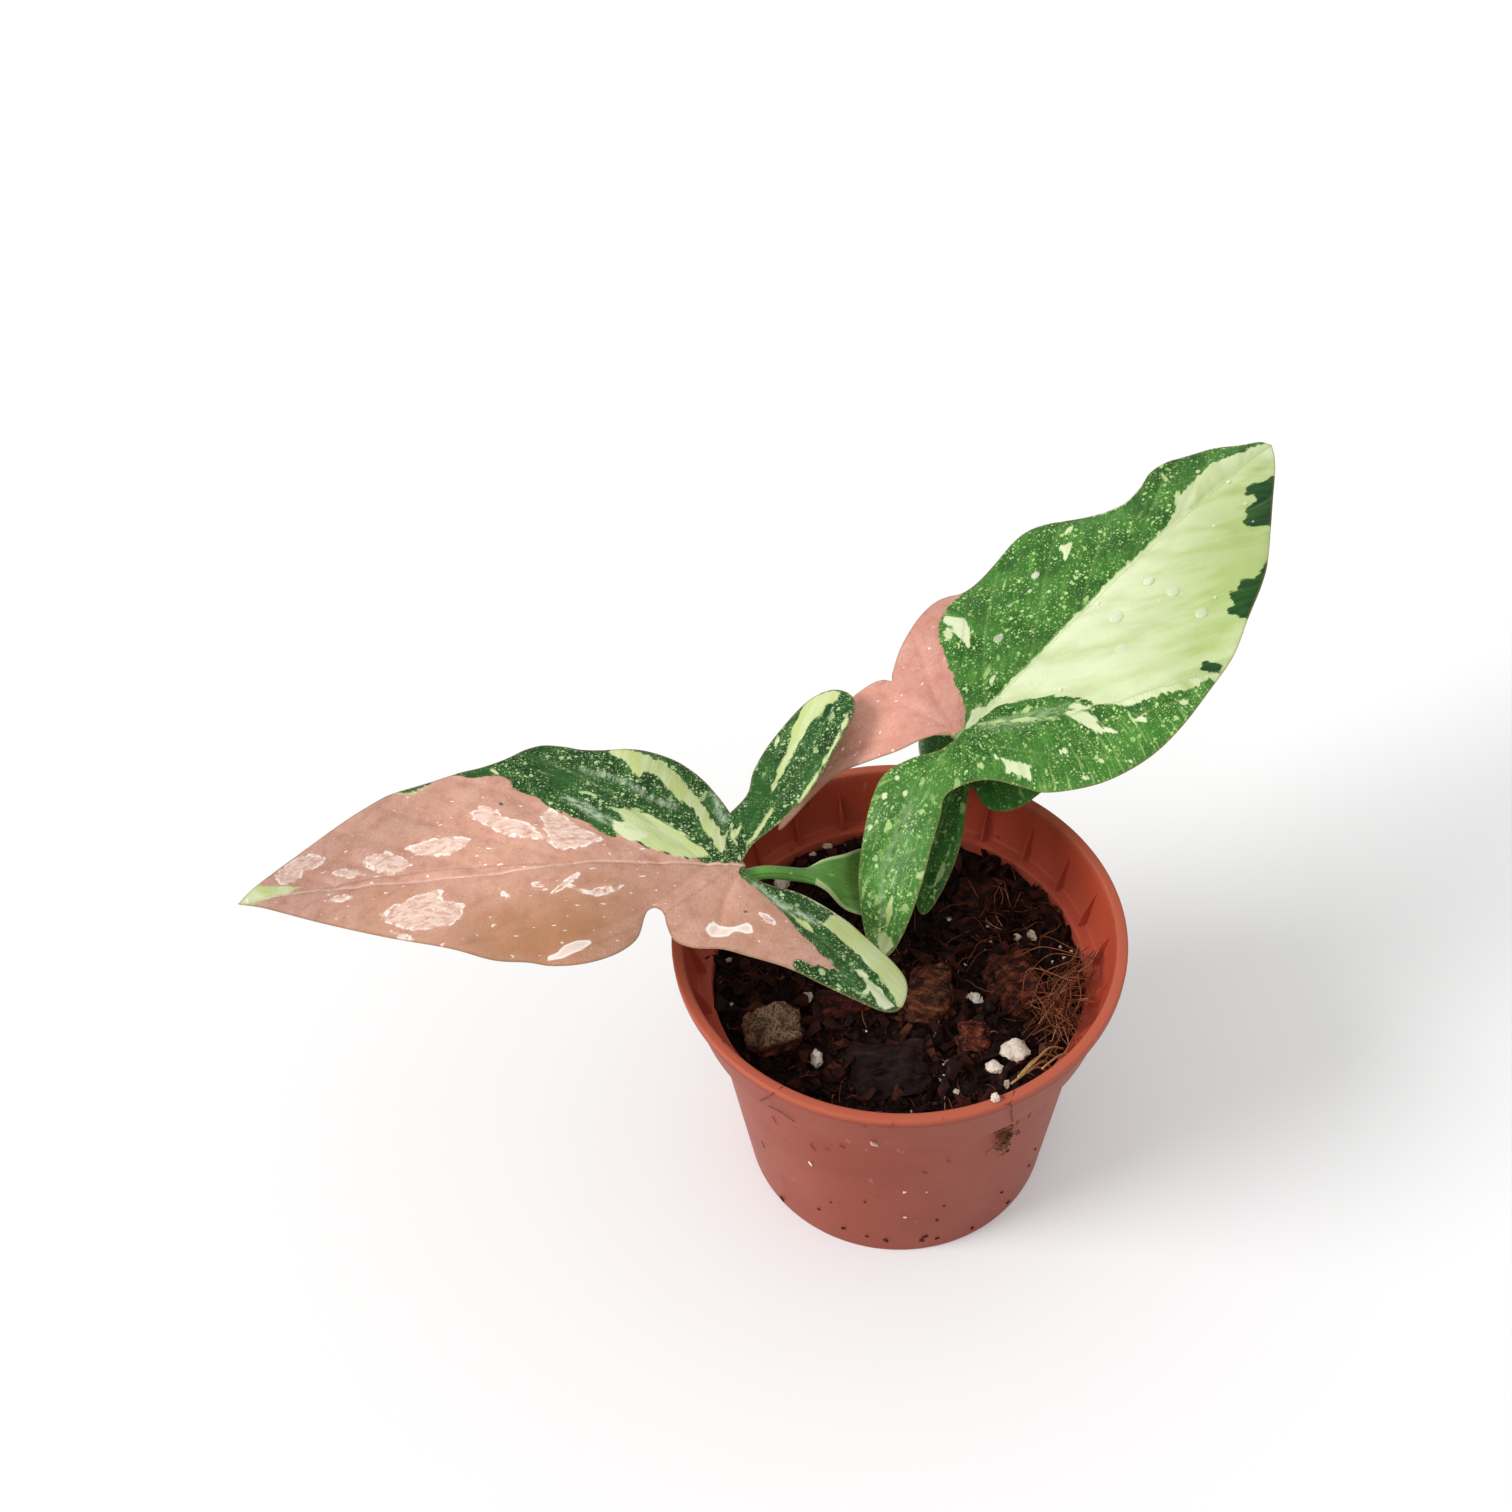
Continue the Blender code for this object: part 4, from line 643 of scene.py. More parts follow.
def keep(mesh: Mesh, name: str, values: np.ndarray) -> None:
    """Store a number or a vector for each corner of a mesh, for its material to read.

    Args:
        mesh: The mesh.
        name: The attribute's name.
        values: One number or one row of three for each corner.
    """
    kind, part = ("FLOAT", "value") if values.ndim == 1 else ("FLOAT_VECTOR", "vector")
    kept = mesh.attributes.new(name, kind, "POINT")
    kept.data.foreach_set(part, values.astype("f").ravel())


def between(a: np.ndarray, b: np.ndarray, c: np.ndarray, d: np.ndarray, t: float) -> np.ndarray:
    """Return the point a share t of the way from b to c on a smooth curve through all four."""
    bend = (2 * a - 5 * b + 4 * c - d) * t ** 2
    return 0.5 * (2 * b + (c - a) * t + bend + (3 * b - a - 3 * c + d) * t ** 3)


def spline_run(points: tuple, step: float) -> np.ndarray:
    """Draw a smooth curve through points.

    Args:
        points: The given points.
        step: About how far apart the drawn points are.

    Returns:
        The drawn points, the given ones among them.
    """
    known = np.array(points, float)
    padded = np.vstack([2 * known[0] - known[1], known, 2 * known[-1] - known[-2]])
    line = [known[0]]
    for index in range(1, len(padded) - 2):
        a, b, c, d = padded[index - 1:index + 3]
        pieces = max(1, round(float(np.linalg.norm(c - b)) / step))
        line += [between(a, b, c, d, piece / pieces) for piece in range(1, pieces + 1)]
    return np.array(line)


def inside_outline(points: np.ndarray, outline: np.ndarray) -> np.ndarray:
    """Tell which points lie inside a closed outline.

    Args:
        points: The points.
        outline: The outline's corners.

    Returns:
        True for each point inside.
    """
    inside = np.zeros(len(points), bool)
    for (ax, ay), (bx, by) in zip(outline, np.roll(outline, -1, axis=0)):
        if ay == by:
            continue
        crosses = (ay > points[:, 1]) != (by > points[:, 1])
        inside ^= crosses & (points[:, 0] < (bx - ax) * (points[:, 1] - ay) / (by - ay) + ax)
    return inside


def line_distance(points: np.ndarray, line: np.ndarray, closed: bool = False) -> tuple:
    """Measure points against a line of straight pieces.

    Args:
        points: The points.
        line: The line's corners.
        closed: Whether its last corner joins its first.

    Returns:
        Each point's distance, and the share of the line's length where it comes nearest.
    """
    line = np.asarray(line, float)
    starts, ends = (line, np.roll(line, -1, axis=0)) if closed else (line[:-1], line[1:])
    lengths = np.linalg.norm(ends - starts, axis=1)
    reach = np.concatenate([[0], np.cumsum(lengths)])
    best, share = np.full(len(points), 1e9), np.zeros(len(points))
    for index, (a, way) in enumerate(zip(starts, ends - starts)):
        t = np.clip(((points - a) @ way) / max(way @ way, 1e-9), 0, 1)
        gap = np.linalg.norm(points - a - t[:, None] * way, axis=1)
        share = np.where(gap < best, reach[index] + t * lengths[index], share)
        best = np.minimum(best, gap)
    return best, share / reach[-1]


def smooth_step(values: np.ndarray, low: float, high: float) -> np.ndarray:
    """Ease from 0 at low to 1 at high."""
    t = np.clip((values - low) / (high - low), 0, 1)
    return t * t * (3 - 2 * t)


def bend_blade(points: np.ndarray, bend: Bend) -> np.ndarray:
    """Roll the part of the blade beyond a line up or down.

    Args:
        points: Points of the blade, in millimetres.
        bend: The bend.

    Returns:
        The bent points.
    """
    angle = math.radians(bend.heading)
    along = np.array((math.cos(angle), math.sin(angle)))
    across = np.array((-along[1], along[0]))
    offset = points[:, :2] - np.array(bend.point)
    distance = offset @ across
    rate = math.radians(bend.turn) / bend.over
    curved = np.clip(distance, 0, bend.over)
    turn = rate * curved
    reach = np.sin(turn) / rate + (distance - curved) * np.cos(turn)
    lift = (1 - np.cos(turn)) / rate + (distance - curved) * np.sin(turn)
    reach = np.where(distance < 0, distance, reach) - points[:, 2] * np.sin(turn)
    lift = np.where(distance < 0, 0, lift) + points[:, 2] * np.cos(turn)
    moved = np.empty_like(points)
    moved[:, :2] = (np.array(bend.point) + np.outer(offset @ along, along)
                    + np.outer(reach, across))
    moved[:, 2] = lift
    if bend.side:
        share = smooth_step(points[:, 1] * bend.side, -3, 3)
        return points + share[:, None] * (moved - points)
    return moved


def leaf_axes(form: LeafForm) -> np.ndarray:
    """Return the leaf's X, Y and Z directions where its stalk joins, as rows.

    Args:
        form: The leaf.

    Returns:
        The three directions, one a row.
    """
    heading, pitch = np.radians([form.heading, form.pitch])
    tip_way = np.array((math.cos(pitch) * math.cos(heading), math.cos(pitch) * math.sin(heading),
                        math.sin(pitch)))
    left = np.array((-math.sin(heading), math.cos(heading), 0))
    return np.array((tip_way, left, np.cross(tip_way, left)))


class Coats:
    """A material that is painted in coats over one shader."""

    def __init__(self, name: str, colour: str, roughness: float, gloss: float = 0.5) -> None:
        """Start from a bare surface.

        Args:
            name: The material's name.
            colour: Its first colour, as a hex value.
            roughness: Its first roughness.
            gloss: How strongly it mirrors, 0.5 for smooth plastic.
        """
        self.material = bpy.data.materials.new(name)
        self.material.use_nodes = True
        self.tree = self.material.node_tree
        self.tree.nodes.clear()
        self.shader = add_node(self.tree, "ShaderNodeBsdfPrincipled", {"Specular IOR Level": gloss})
        add_node(self.tree, "ShaderNodeOutputMaterial", {"Surface": self.shader})
        self.colour = linear(colour)
        self.roughness = roughness
        self.place = add_node(self.tree, "ShaderNodeTexCoord").outputs["Object"]

    def scaled(self, vector: object, factors: tuple) -> Node:
        """Return coordinates multiplied axis by axis."""
        return add_node(self.tree, VECTOR, {0: vector, 1: factors}, operation="MULTIPLY")

    def clouds(self, vector: object, scale: tuple, low: float, high: float, top: float = 1.0,
               detail: float = 3.0) -> Node:
        """Draw a soft noise mask.

        Args:
            vector: Coordinates.
            scale: How many clouds there are in one unit of them, axis by axis.
            low: Noise value where the mask starts.
            high: Noise value where it is full.
            top: The mask's full value.
            detail: How many finer layers the noise has.

        Returns:
            The node that gives the mask.
        """
        cloud = add_node(self.tree, NOISE, {"Vector": self.scaled(vector, scale),
                                            "Scale": 1.0, "Detail": detail})
        return add_node(self.tree, RANGE, {"Value": cloud, "From Min": low, "From Max": high,
                                           "To Min": 0.0, "To Max": top})

    def flecks(self, vector: object, scale: tuple, share: float, biggest: float) -> Node:
        """Draw a mask of scattered flecks of uneven size.

        Args:
            vector: Coordinates.
            scale: How many cells there are in one unit of them, axis by axis.
            share: The share of cells that hold a fleck.
            biggest: The largest radius, as a share of a cell.

        Returns:
            The node that gives the mask.
        """
        vector = self.scaled(vector, scale)
        wavy = add_node(self.tree, NOISE, {"Vector": vector, "Scale": 2.4, "Detail": 1.0})
        shift = add_node(self.tree, VECTOR, {0: wavy.outputs["Color"], "Scale": 0.5},
                         operation="SCALE")
        moved = add_node(self.tree, VECTOR, {0: vector, 1: shift}, operation="ADD")
        cells = add_node(self.tree, CELLS, {"Vector": moved, "Scale": 1.0}, voronoi_dimensions="2D")
        draw = add_node(self.tree, "ShaderNodeSeparateColor", {0: cells.outputs["Color"]})
        radius = add_node(self.tree, RANGE, {
            "Value": draw.outputs[0], "From Min": 1 - share, "From Max": 1.0,
            "To Min": 0.0, "To Max": biggest})
        room = add_node(self.tree, MATH, {0: radius, 1: cells.outputs["Distance"]},
                        operation="SUBTRACT")
        return add_node(self.tree, RANGE, {"Value": room, "From Min": 0.0, "From Max": 0.09})

    def zone(self, name: str, soft: float, jag: object = 0.0) -> Node:
        """Draw the mask of a patch from its distance on the blade.

        Args:
            name: The attribute that holds the distance in millimetres.
            soft: How wide its edge is, in millimetres.
            jag: A shift of the edge, in millimetres.

        Returns:
            The node that gives the mask.
        """
        depth = add_node(self.tree, READ, attribute_name=name).outputs["Fac"]
        moved = add_node(self.tree, MATH, {0: depth, 1: jag})
        return add_node(self.tree, RANGE, {"Value": moved, "From Min": -soft, "From Max": soft})

    def coat(self, mask: object, colour: object, roughness: float | None = None,
             share: object = None) -> None:
        """Lay a colour, and with it a roughness, over what is there.

        Args:
            mask: Where the coat lies, 0 to 1.
            colour: Its colour, as a hex value or a node.
            roughness: Its roughness, or None to keep what is there.
            share: A second mask or a number that thins the first.
        """
        if share is not None:
            mask = add_node(self.tree, MATH, {0: mask, 1: share}, operation="MULTIPLY")
        self.colour = self.blend(mask, self.colour, colour)
        if roughness is not None:
            self.roughness = add_node(self.tree, MIX, {
                "Factor": mask, "A": self.roughness, "B": roughness})

    def cloudy(self, vector: object, *rows: tuple) -> None:
        """Lay coats in the shape of clouds, one after another.

        Args:
            vector: Coordinates.
            rows: Scale, low, high, top, detail and colour, and roughness where it changes.
        """
        for scale, low, high, top, detail, colour, *roughness in rows:
            self.coat(self.clouds(vector, scale, low, high, top, detail), colour, *roughness)

    def blend(self, mask: object, first: object, second: object) -> Node:
        """Go from one colour to another by a mask.

        Args:
            mask: 0 for the first colour, 1 for the second.
            first: The first colour, as a hex value, linear numbers or a node.
            second: The second colour.

        Returns:
            The node that gives the colour.
        """
        first, second = (linear(c) if isinstance(c, str) else c for c in (first, second))
        return add_node(self.tree, MIX, {"Factor": mask, "A": first, "B": second},
                        data_type="RGBA")

    def seal(self, height: object = None, depth: float = 0.0, tone: str | None = None) -> Material:
        """Give the shader its colour, roughness and bump.

        Args:
            height: A height map, 0 to 1.
            depth: How deep its full height is, in metres.
            tone: An attribute that makes the colour lighter or darker.

        Returns:
            The finished material.
        """
        if tone:
            share = add_node(self.tree, READ, attribute_name=tone).outputs["Fac"]
            scale = add_node(self.tree, MATH, {0: share, 1: 1.0})
            self.colour = add_node(self.tree, VECTOR, {0: self.colour, "Scale": scale},
                                   operation="SCALE")
        feed(self.tree, self.shader.inputs["Base Color"], self.colour)
        feed(self.tree, self.shader.inputs["Roughness"], self.roughness)
        if height is not None:
            bump = add_node(self.tree, "ShaderNodeBump", {"Height": height, "Distance": depth})
            self.tree.links.new(bump.outputs[0], self.shader.inputs["Normal"])
        return self.material


@dataclass(frozen=True)
class LeafSkin:
    """Living variegated leaf: a waxy skin over green, pink and colourless tissue.

    The wax gives it a soft sheen, and the patches keep the direction of the side veins. Painted
    sheen lightens its water films, and its glints are painted highlights.
    """
    name: str
    under: bool = False
    green: str = "#3f702b"
    deep: str = "#26521c"
    bright: str = "#569038"
    fleck: str = "#b0cd7f"
    cream: str = "#cdd5ae"
    cream_far: str = "#a4b672"
    pale: str = "#a2b96e"
    silver: str = "#7f9c6a"
    pink: str = "#bb8576"
    pink_light: str = "#c79586"
    pink_deep: str = "#a96658"
    tan: str = "#ad7552"
    # Colours of painted light: the sheen on the water films and the glints.
    film: str = "#dcc1b3"
    glint: str = "#ece0d6"
    margin: str = "#7d6a45"
    dark: str = "#17391a"
    vein_pink: str = "#b87c6c"
    rib: str = "#9dbb70"
    rib_pink: str = "#dcb9ab"
    veil: str = "#87906f"
    fleck_share: float = 0.62

    def material(self) -> Material:
        """Build the material for one side of a blade.

        Returns:
            The finished material.
        """
        coats = Coats(self.name, self.green, 0.33, 0.17)
        tree = coats.tree
        flat = add_node(tree, READ, attribute_name="flat").outputs["Vector"]
        grain = add_node(tree, READ, attribute_name="grain").outputs["Vector"]
        rough = add_node(tree, NOISE, {"Vector": coats.scaled(grain, (0.75, 0.35, 1)),
                                       "Scale": 1.0, "Detail": 3.0})
        jag = add_node(tree, RANGE, {"Value": rough, "From Min": 0.25, "From Max": 0.75,
                                     "To Min": -0.45, "To Max": 0.45})
        flush = add_node(tree, READ, attribute_name="flush").outputs["Fac"]
        coats.cloudy(flat, ((0.14, 0.14, 1), 0.4, 0.62, 1.0, 3, self.deep))
        coats.cloudy(grain, ((0.55, 0.16, 1), 0.5, 0.75, 0.7, 3, self.bright),
                     ((1.6, 0.5, 1), 0.5, 0.7, 0.5, 3, self.deep))
        self.speckle(coats, flat, grain)
        coats.coat(coats.zone("silver", 0.6, jag), self.silver, None,
                   coats.clouds(grain, (1.1, 0.6, 1), 0.34, 0.58, 0.95))
        on_pink = coats.zone("pink", 0.14, jag)
        coats.coat(on_pink, self.pink_coat(coats, flat, flush), 0.36)
        coats.coat(coats.zone("pale", 0.16, jag), coats.blend(
            coats.clouds(grain, (0.5, 0.12, 1), 0.4, 0.8), self.pale, self.cream))
        coats.coat(coats.zone("cream", 0.13, jag), self.cream_coat(coats, grain, flush), 0.36)
        coats.coat(coats.zone("dark", 0.15, jag), coats.blend(
            coats.clouds(grain, (0.6, 0.2, 1), 0.4, 0.65), self.dark, self.deep))
        for name, width, green_share, pink_share, tints in (
                ("vein", 0.42, 0.09, 0.2, (self.fleck, self.vein_pink)),
                ("rib", 0.34, 0.5, 0.7, (self.rib, self.rib_pink))):
            gap = add_node(tree, READ, attribute_name=name).outputs["Fac"]
            full = add_node(tree, RANGE, {"Value": on_pink, "To Min": green_share,
                                          "To Max": pink_share})
            line = add_node(tree, RANGE, {"Value": gap, "From Min": 0.06, "From Max": width,
                                          "To Min": full, "To Max": 0.0})
            coats.coat(line, coats.blend(on_pink, *tints))
        if self.under:
            coats.coat(0.42, self.veil, 0.6)
        else:
            self.wet_sheen_and_glints(coats, flat, jag, on_pink)
        edge = add_node(tree, READ, attribute_name="edge").outputs["Fac"]
        rim = add_node(tree, RANGE, {"Value": edge, "From Min": 0.05, "From Max": 0.4,
                                     "To Min": 0.55, "To Max": 0.0})
        coats.coat(rim, self.margin)
        # The skin's own cells are too fine to show: the relief is drawn 0.7 by 1.1 mm.
        cells = add_node(tree, CELLS, {"Vector": coats.scaled(grain, (1.5, 0.9, 1)),
                                       "Scale": 1.0}, feature="SMOOTH_F1")
        fine = add_node(tree, NOISE, {"Vector": coats.scaled(flat, (3, 3, 1)), "Scale": 1.0,
                                      "Detail": 2.0})
        height = add_node(tree, MATH, {0: cells, 1: 0.5, 2: fine}, operation="MULTIPLY_ADD")
        # The tone attribute brightens or darkens the colour: painted light and shade from the
        # glows.
        return coats.seal(height, 0.09 * MM, "tone")

    def speckle(self, coats: Coats, flat: object, grain: object) -> None:
        """Strew pale flecks over the green, the largest drawn out along the side veins.

        Args:
            coats: The coats so far.
            flat: Coordinates on the flat blade, in millimetres.
            grain: Coordinates across and along the side veins.
        """
        spray = coats.zone("spray", 2.5)
        coats.coat(spray, self.bright, None, 0.25)
        coats.coat(spray, self.fleck, None, coats.clouds(grain, (1.1, 0.3, 1), 0.56, 0.7, 0.5))
        crowd = coats.clouds(flat, (0.13, 0.13, 1), 0.32, 0.56)
        for way, across, along, share, size, strength in (
                (grain, 0.4, 0.3, 0.22, 0.36, 0.9), (flat, 0.8, 0.9, 0.42, 0.38, 0.9),
                (flat, 1.6, 1.9, 0.6, 0.42, 0.85), (flat, 3.0, 3.4, 0.7, 0.46, 0.6)):
            mask = coats.flecks(way, (across, along, 1), share * self.fleck_share, size)
            mask = add_node(coats.tree, MATH, {0: mask, 1: crowd}, operation="MULTIPLY")
            coats.coat(mask, self.fleck, None, strength)

    def wet_sheen_and_glints(self, coats: Coats, flat: object, jag: object, on_pink: object) -> None:
        """Lay the thin water films and the bright spots over the upper face, as painted sheen and
        painted highlights.

        Args:
            coats: The coats so far.
            flat: Coordinates on the flat blade, in millimetres.
            jag: The shift that makes the patches' edges uneven.
            on_pink: Where the blade is pink.
        """
        tree = coats.tree
        film = coats.zone("film", 0.2, jag)
        # Painted sheen: the films are laid in lighter and near-white clouds, and glossier.
        for scale, low, high, top, colour in (
                ((0.5, 1.2, 1), 0.3, 0.56, 0.85, self.film),
                ((0.9, 1.9, 1), 0.56, 0.66, 0.5, self.glint)):
            wet = coats.clouds(flat, scale, low, high, top)
            coats.coat(film, colour, 0.16, wet)
        depth = add_node(tree, READ, attribute_name="film").outputs["Fac"]
        depth = add_node(tree, MATH, {0: add_node(tree, MATH, {0: depth, 1: jag})},
                         operation="ABSOLUTE")
        # A broken near-white outline round each film: painted highlight.
        line = add_node(tree, RANGE, {"Value": depth, "From Min": 0.1, "From Max": 0.3,
                                      "To Min": 0.85, "To Max": 0.0})
        broken = coats.clouds(flat, (0.6, 0.6, 1), 0.46, 0.52)
        coats.coat(line, self.glint, None, broken)
        # Scattered near-white dots over the pink: painted glints.
        painted_glints = coats.clouds(flat, (0.5, 1.1, 1), 0.69, 0.71, 0.8, 2)
        coats.coat(painted_glints, self.glint, 0.16, on_pink)
        # The glint patches: near-white painted highlights, with the sheen colour inside.
        coats.coat(coats.zone("glint", 0.12), self.glint, 0.15)
        coats.coat(coats.zone("glint", 0.15, -0.5), self.film, None, 0.7)

    def pink_coat(self, coats: Coats, flat: object, flush: object) -> object:
        """Mix the pink: lighter and deeper clouds, fine mottling, and a tan flush.

        Args:
            coats: The coats so far.
            flat: Coordinates on the flat blade, in millimetres.
            flush: Where the leaf is browner.

        Returns:
            The node that gives the colour.
        """
        colour = coats.blend(coats.clouds(flat, (0.16, 0.16, 1), 0.35, 0.68),
                             self.pink, self.pink_light)
        for scale, low, amount in ((0.4, 0.48, 0.5), (1.5, 0.5, 0.35), (3.2, 0.55, 0.4)):
            blotch = coats.clouds(flat, (scale, scale, 1), low, 0.72, amount)
            colour = coats.blend(blotch, colour, self.pink_deep)
        warm = add_node(coats.tree, MATH, {0: flush, 1: 0.75}, operation="MULTIPLY")
        return coats.blend(warm, colour, self.tan)

    def cream_coat(self, coats: Coats, grain: object, flush: object) -> object:
        """Mix the cream: yellower by the flush, with faint green clouds along the veins.

        Args:
            coats: The coats so far.
            grain: Coordinates across and along the side veins.
            flush: Where the leaf is yellower.

        Returns:
            The node that gives the colour.
        """
        veil = coats.clouds(grain, (0.22, 0.09, 1), 0.44, 0.72, 0.6)
        amount = add_node(coats.tree, MATH, {0: veil, 1: flush})
        return coats.blend(amount, self.cream, self.cream_far)


@dataclass
class Blade:
    """A leaf blade with its thickness, grooves over the veins and ribs under them."""
    form: LeafForm
    upper: LeafSkin
    lower: LeafSkin
    replaces: str
    spacing: float = 0.47
    half: float = 0.2
    groove: float = 0.5
    groove_width: float = 1.6
    vein_groove: float = 0.2
    quilt: float = 0.28
    quilt_width: float = 2.2
    ripple: float = 0.22
    ripple_length: float = 5
    crease: float = 0.25
    crease_width: float = 0.4
    vein_width: float = 0.55
    rib: float = 0.85
    rib_width: float = 0.9
    vein_rib: float = 0.25
    vein_rib_width: float = 0.6

    def plan(self) -> tuple:
        """Split the flat blade into small triangles, with corners along every vein.

        Returns:
            The flat corners, the triangles, all turning left, and the outline.
        """
        outline = np.vstack([spline_run(run, 0.55)[:-1] for run in self.form.runs])
        low, high = outline.min(axis=0), outline.max(axis=0)
        row_gap = self.spacing * math.sqrt(3) / 2
        rows = np.arange(math.ceil(low[1] / row_gap), math.ceil(high[1] / row_gap))
        columns = np.arange(math.ceil(low[0] / self.spacing), math.ceil(high[0] / self.spacing))
        grid = np.array([((c + 0.5 * (r % 2)) * self.spacing, r * row_gap)
                         for r in rows for c in columns])
        grid = grid[inside_outline(grid, outline)]
        grid = grid[line_distance(grid, outline, True)[0] > 0.5 * self.spacing]
        edges, extra = [], []
        for vein in (self.form.midrib, *self.form.veins):
            line = spline_run(vein, self.spacing)
            keep = inside_outline(line, outline) & (line_distance(line, outline, True)[0] > 0.3)
            line = line[keep]
            grid = grid[line_distance(grid, line)[0] > 0.45 * self.spacing]
            start = len(extra)
            extra += line.tolist()
            edges += [(start + i, start + i + 1) for i in range(len(line) - 1)]
        offset = len(outline)
        edges = [(a + offset, b + offset) for a, b in edges]
        corners = [Vector(p) for p in np.vstack([outline, np.array(extra), grid])]
        flat, _, triangles, *_ = geometry.delaunay_2d_cdt(
            corners, edges, [list(range(offset))], 1, 0.0001)
        flat = np.array(flat)
        triangles = np.array(triangles)
        a, b, c = (flat[triangles[:, i]] for i in range(3))
        area = ((b[:, 0] - a[:, 0]) * (c[:, 1] - a[:, 1])
                - (b[:, 1] - a[:, 1]) * (c[:, 0] - a[:, 0]))
        triangles[area < 0] = triangles[area < 0][:, ::-1]
        return flat, triangles, outline

    def carry(self, points: np.ndarray) -> np.ndarray:
        """Bend points of the flat blade and carry them to their place, in metres.

        Args:
            points: Points of the flat blade, in millimetres.

        Returns:
            The points in their place.
        """
        for bend in self.form.bends:
            points = bend_blade(points, bend)
        return (np.array(self.form.joint) + points @ leaf_axes(self.form)) * MM

    def measure(self, flat: np.ndarray, outline: np.ndarray) -> dict:
        """Measure what the material and the relief need at each corner.

        Args:
            flat: The flat corners.
            outline: The blade's outline.

        Returns:
            Numbers by name: distances to veins, midrib, margin and patches, tone (painted light and
                shade) and flush.
        """
        kept = {"rib": line_distance(flat, self.form.midrib)[0]}
        kept["vein"] = np.min([line_distance(flat, spline_run(v, 1.0))[0]
                               for v in self.form.veins], axis=0)
        kept["edge"] = line_distance(flat, outline, True)[0]
        for zone in Zone:
            kept[zone.value] = np.full(len(flat), -9.0)
        for patch in self.form.patches:
            depth = self.depth(flat, patch.points, patch.width)
            kept[patch.zone.value] = np.maximum(kept[patch.zone.value], depth)
        if self.form.base is Base.PINK:
            green = np.max([self.depth(flat, points, 0) for points in self.form.greens], axis=0)
            kept["pink"] = -green
        kept["tone"] = np.zeros(len(flat))
        kept["flush"] = np.zeros(len(flat))
        # The glows' tones add painted light and shade, mixed with the leaf's own tone.
        for glow in self.form.glows:
            near = np.exp(-((flat - (glow.x, glow.y)) ** 2).sum(axis=1) / glow.radius ** 2)
            kept["tone"] += glow.tone * near
            kept["flush"] += glow.flush * near
        return kept

    @staticmethod
    def depth(flat: np.ndarray, points: tuple, width: float) -> np.ndarray:
        """Return how deep each corner lies in a patch or streak, less than 0 outside it.

        Args:
            flat: The flat corners.
            points: The patch's outline or the streak's line.
            width: The streak's width, or 0 for a patch.

        Returns:
            The depths, in millimetres.
        """
        if width:
            gap, share = line_distance(flat, spline_run(points, 0.5))
            return width / 2 * (0.3 + 0.7 * np.sqrt(np.sin(np.pi * share).clip(0))) - gap
        gap = line_distance(flat, points, True)[0]
        return np.where(inside_outline(flat, np.array(points)), gap, -gap)

    def grain(self, flat: np.ndarray) -> np.ndarray:
        """Return coordinates across and along the side veins, and along each ear.

        Args:
            flat: The flat corners.

        Returns:
            One row of coordinates for each corner.
        """
        x, y = flat[:, 0], flat[:, 1]
        side = np.abs(y)
        root = x - side / math.tan(math.radians(50)) - 0.02 * side ** 2
        reach = np.hypot(x, y)
        axes = np.radians(self.form.ears)
        off = (np.arctan2(y, x)[:, None] - axes + np.pi) % (2 * np.pi) - np.pi
        nearest = np.abs(off).argmin(axis=1)
        fan = off[np.arange(len(x)), nearest] * (4 + 0.8 * reach) + 60 * nearest
        ear = root < 1.5
        across = np.where(ear, fan, 0.77 * root + 200 * (y < 0))
        return np.column_stack([across, np.where(ear, reach, 1.4 * side), np.zeros(len(x))])

    def build(self) -> None:
        """Build the blade, keep what its materials read, and put it into the frame."""
        flat, triangles, outline = self.plan()
        kept = self.measure(flat, outline)
        x, y = flat[:, 0], flat[:, 1]
        middle = -self.groove * np.exp(-(kept["rib"] / self.groove_width) ** 2)
        middle *= smooth_step(x, 0, 4)
        for wave in self.form.waves:
            size = (y * wave.side / wave.full_at).clip(0) ** 2 * smooth_step(x, -1, 5)
            middle += wave.height * size * np.sin(2 * math.pi * (x - wave.start) / wave.length)
        swell = 1 - np.exp(-(kept["vein"] / self.quilt_width) ** 2)
        middle += self.quilt * swell * np.minimum(1, kept["edge"] / 4)
        ripple = np.array([noise.noise(Vector((a, b, 3.1))) for a, b in flat / self.ripple_length])
        middle += self.ripple * ripple * np.minimum(1, kept["edge"] / 3)
        half = self.half * (0.4 + 0.6 * np.minimum(1, kept["edge"] / 0.9))
        top = middle + half - self.crease * np.exp(-(kept["rib"] / self.crease_width) ** 2)
        top -= self.vein_groove * np.exp(-(kept["vein"] / self.vein_width) ** 2)
        taper = smooth_step(kept["edge"], 0.2, 3)
        bottom = middle - half
        bottom -= self.rib * taper * np.exp(-(kept["rib"] / self.rib_width) ** 2)
        bottom -= self.vein_rib * taper * np.exp(-(kept["vein"] / self.vein_rib_width) ** 2)
        points = np.vstack([self.carry(np.column_stack([flat, top])),
                            self.carry(np.column_stack([flat, bottom]))])
        count = len(flat)
        sides: dict = {}
        for tri in triangles.tolist():
            for a, b in zip(tri, tri[1:] + tri[:1]):
                if sides.pop((b, a), None) is None:
                    sides[(a, b)] = True
        rim = [(b, a, a + count, b + count) for a, b in sides]
        below = (triangles[:, ::-1] + count).tolist()
        mesh = bpy.data.meshes.new(self.form.name)
        mesh.from_pydata(points.tolist(), [], triangles.tolist() + below + rim)
        mesh.materials.append(self.upper.material())
        mesh.materials.append(self.lower.material())
        slots = [0] * len(triangles) + [1] * len(below) + [0] * len(rim)
        mesh.polygons.foreach_set("material_index", slots)
        for name, values in kept.items():
            keep(mesh, name, np.tile(values, 2))
        keep(mesh, "flat", np.tile(np.column_stack([flat, 0 * x]), (2, 1)))
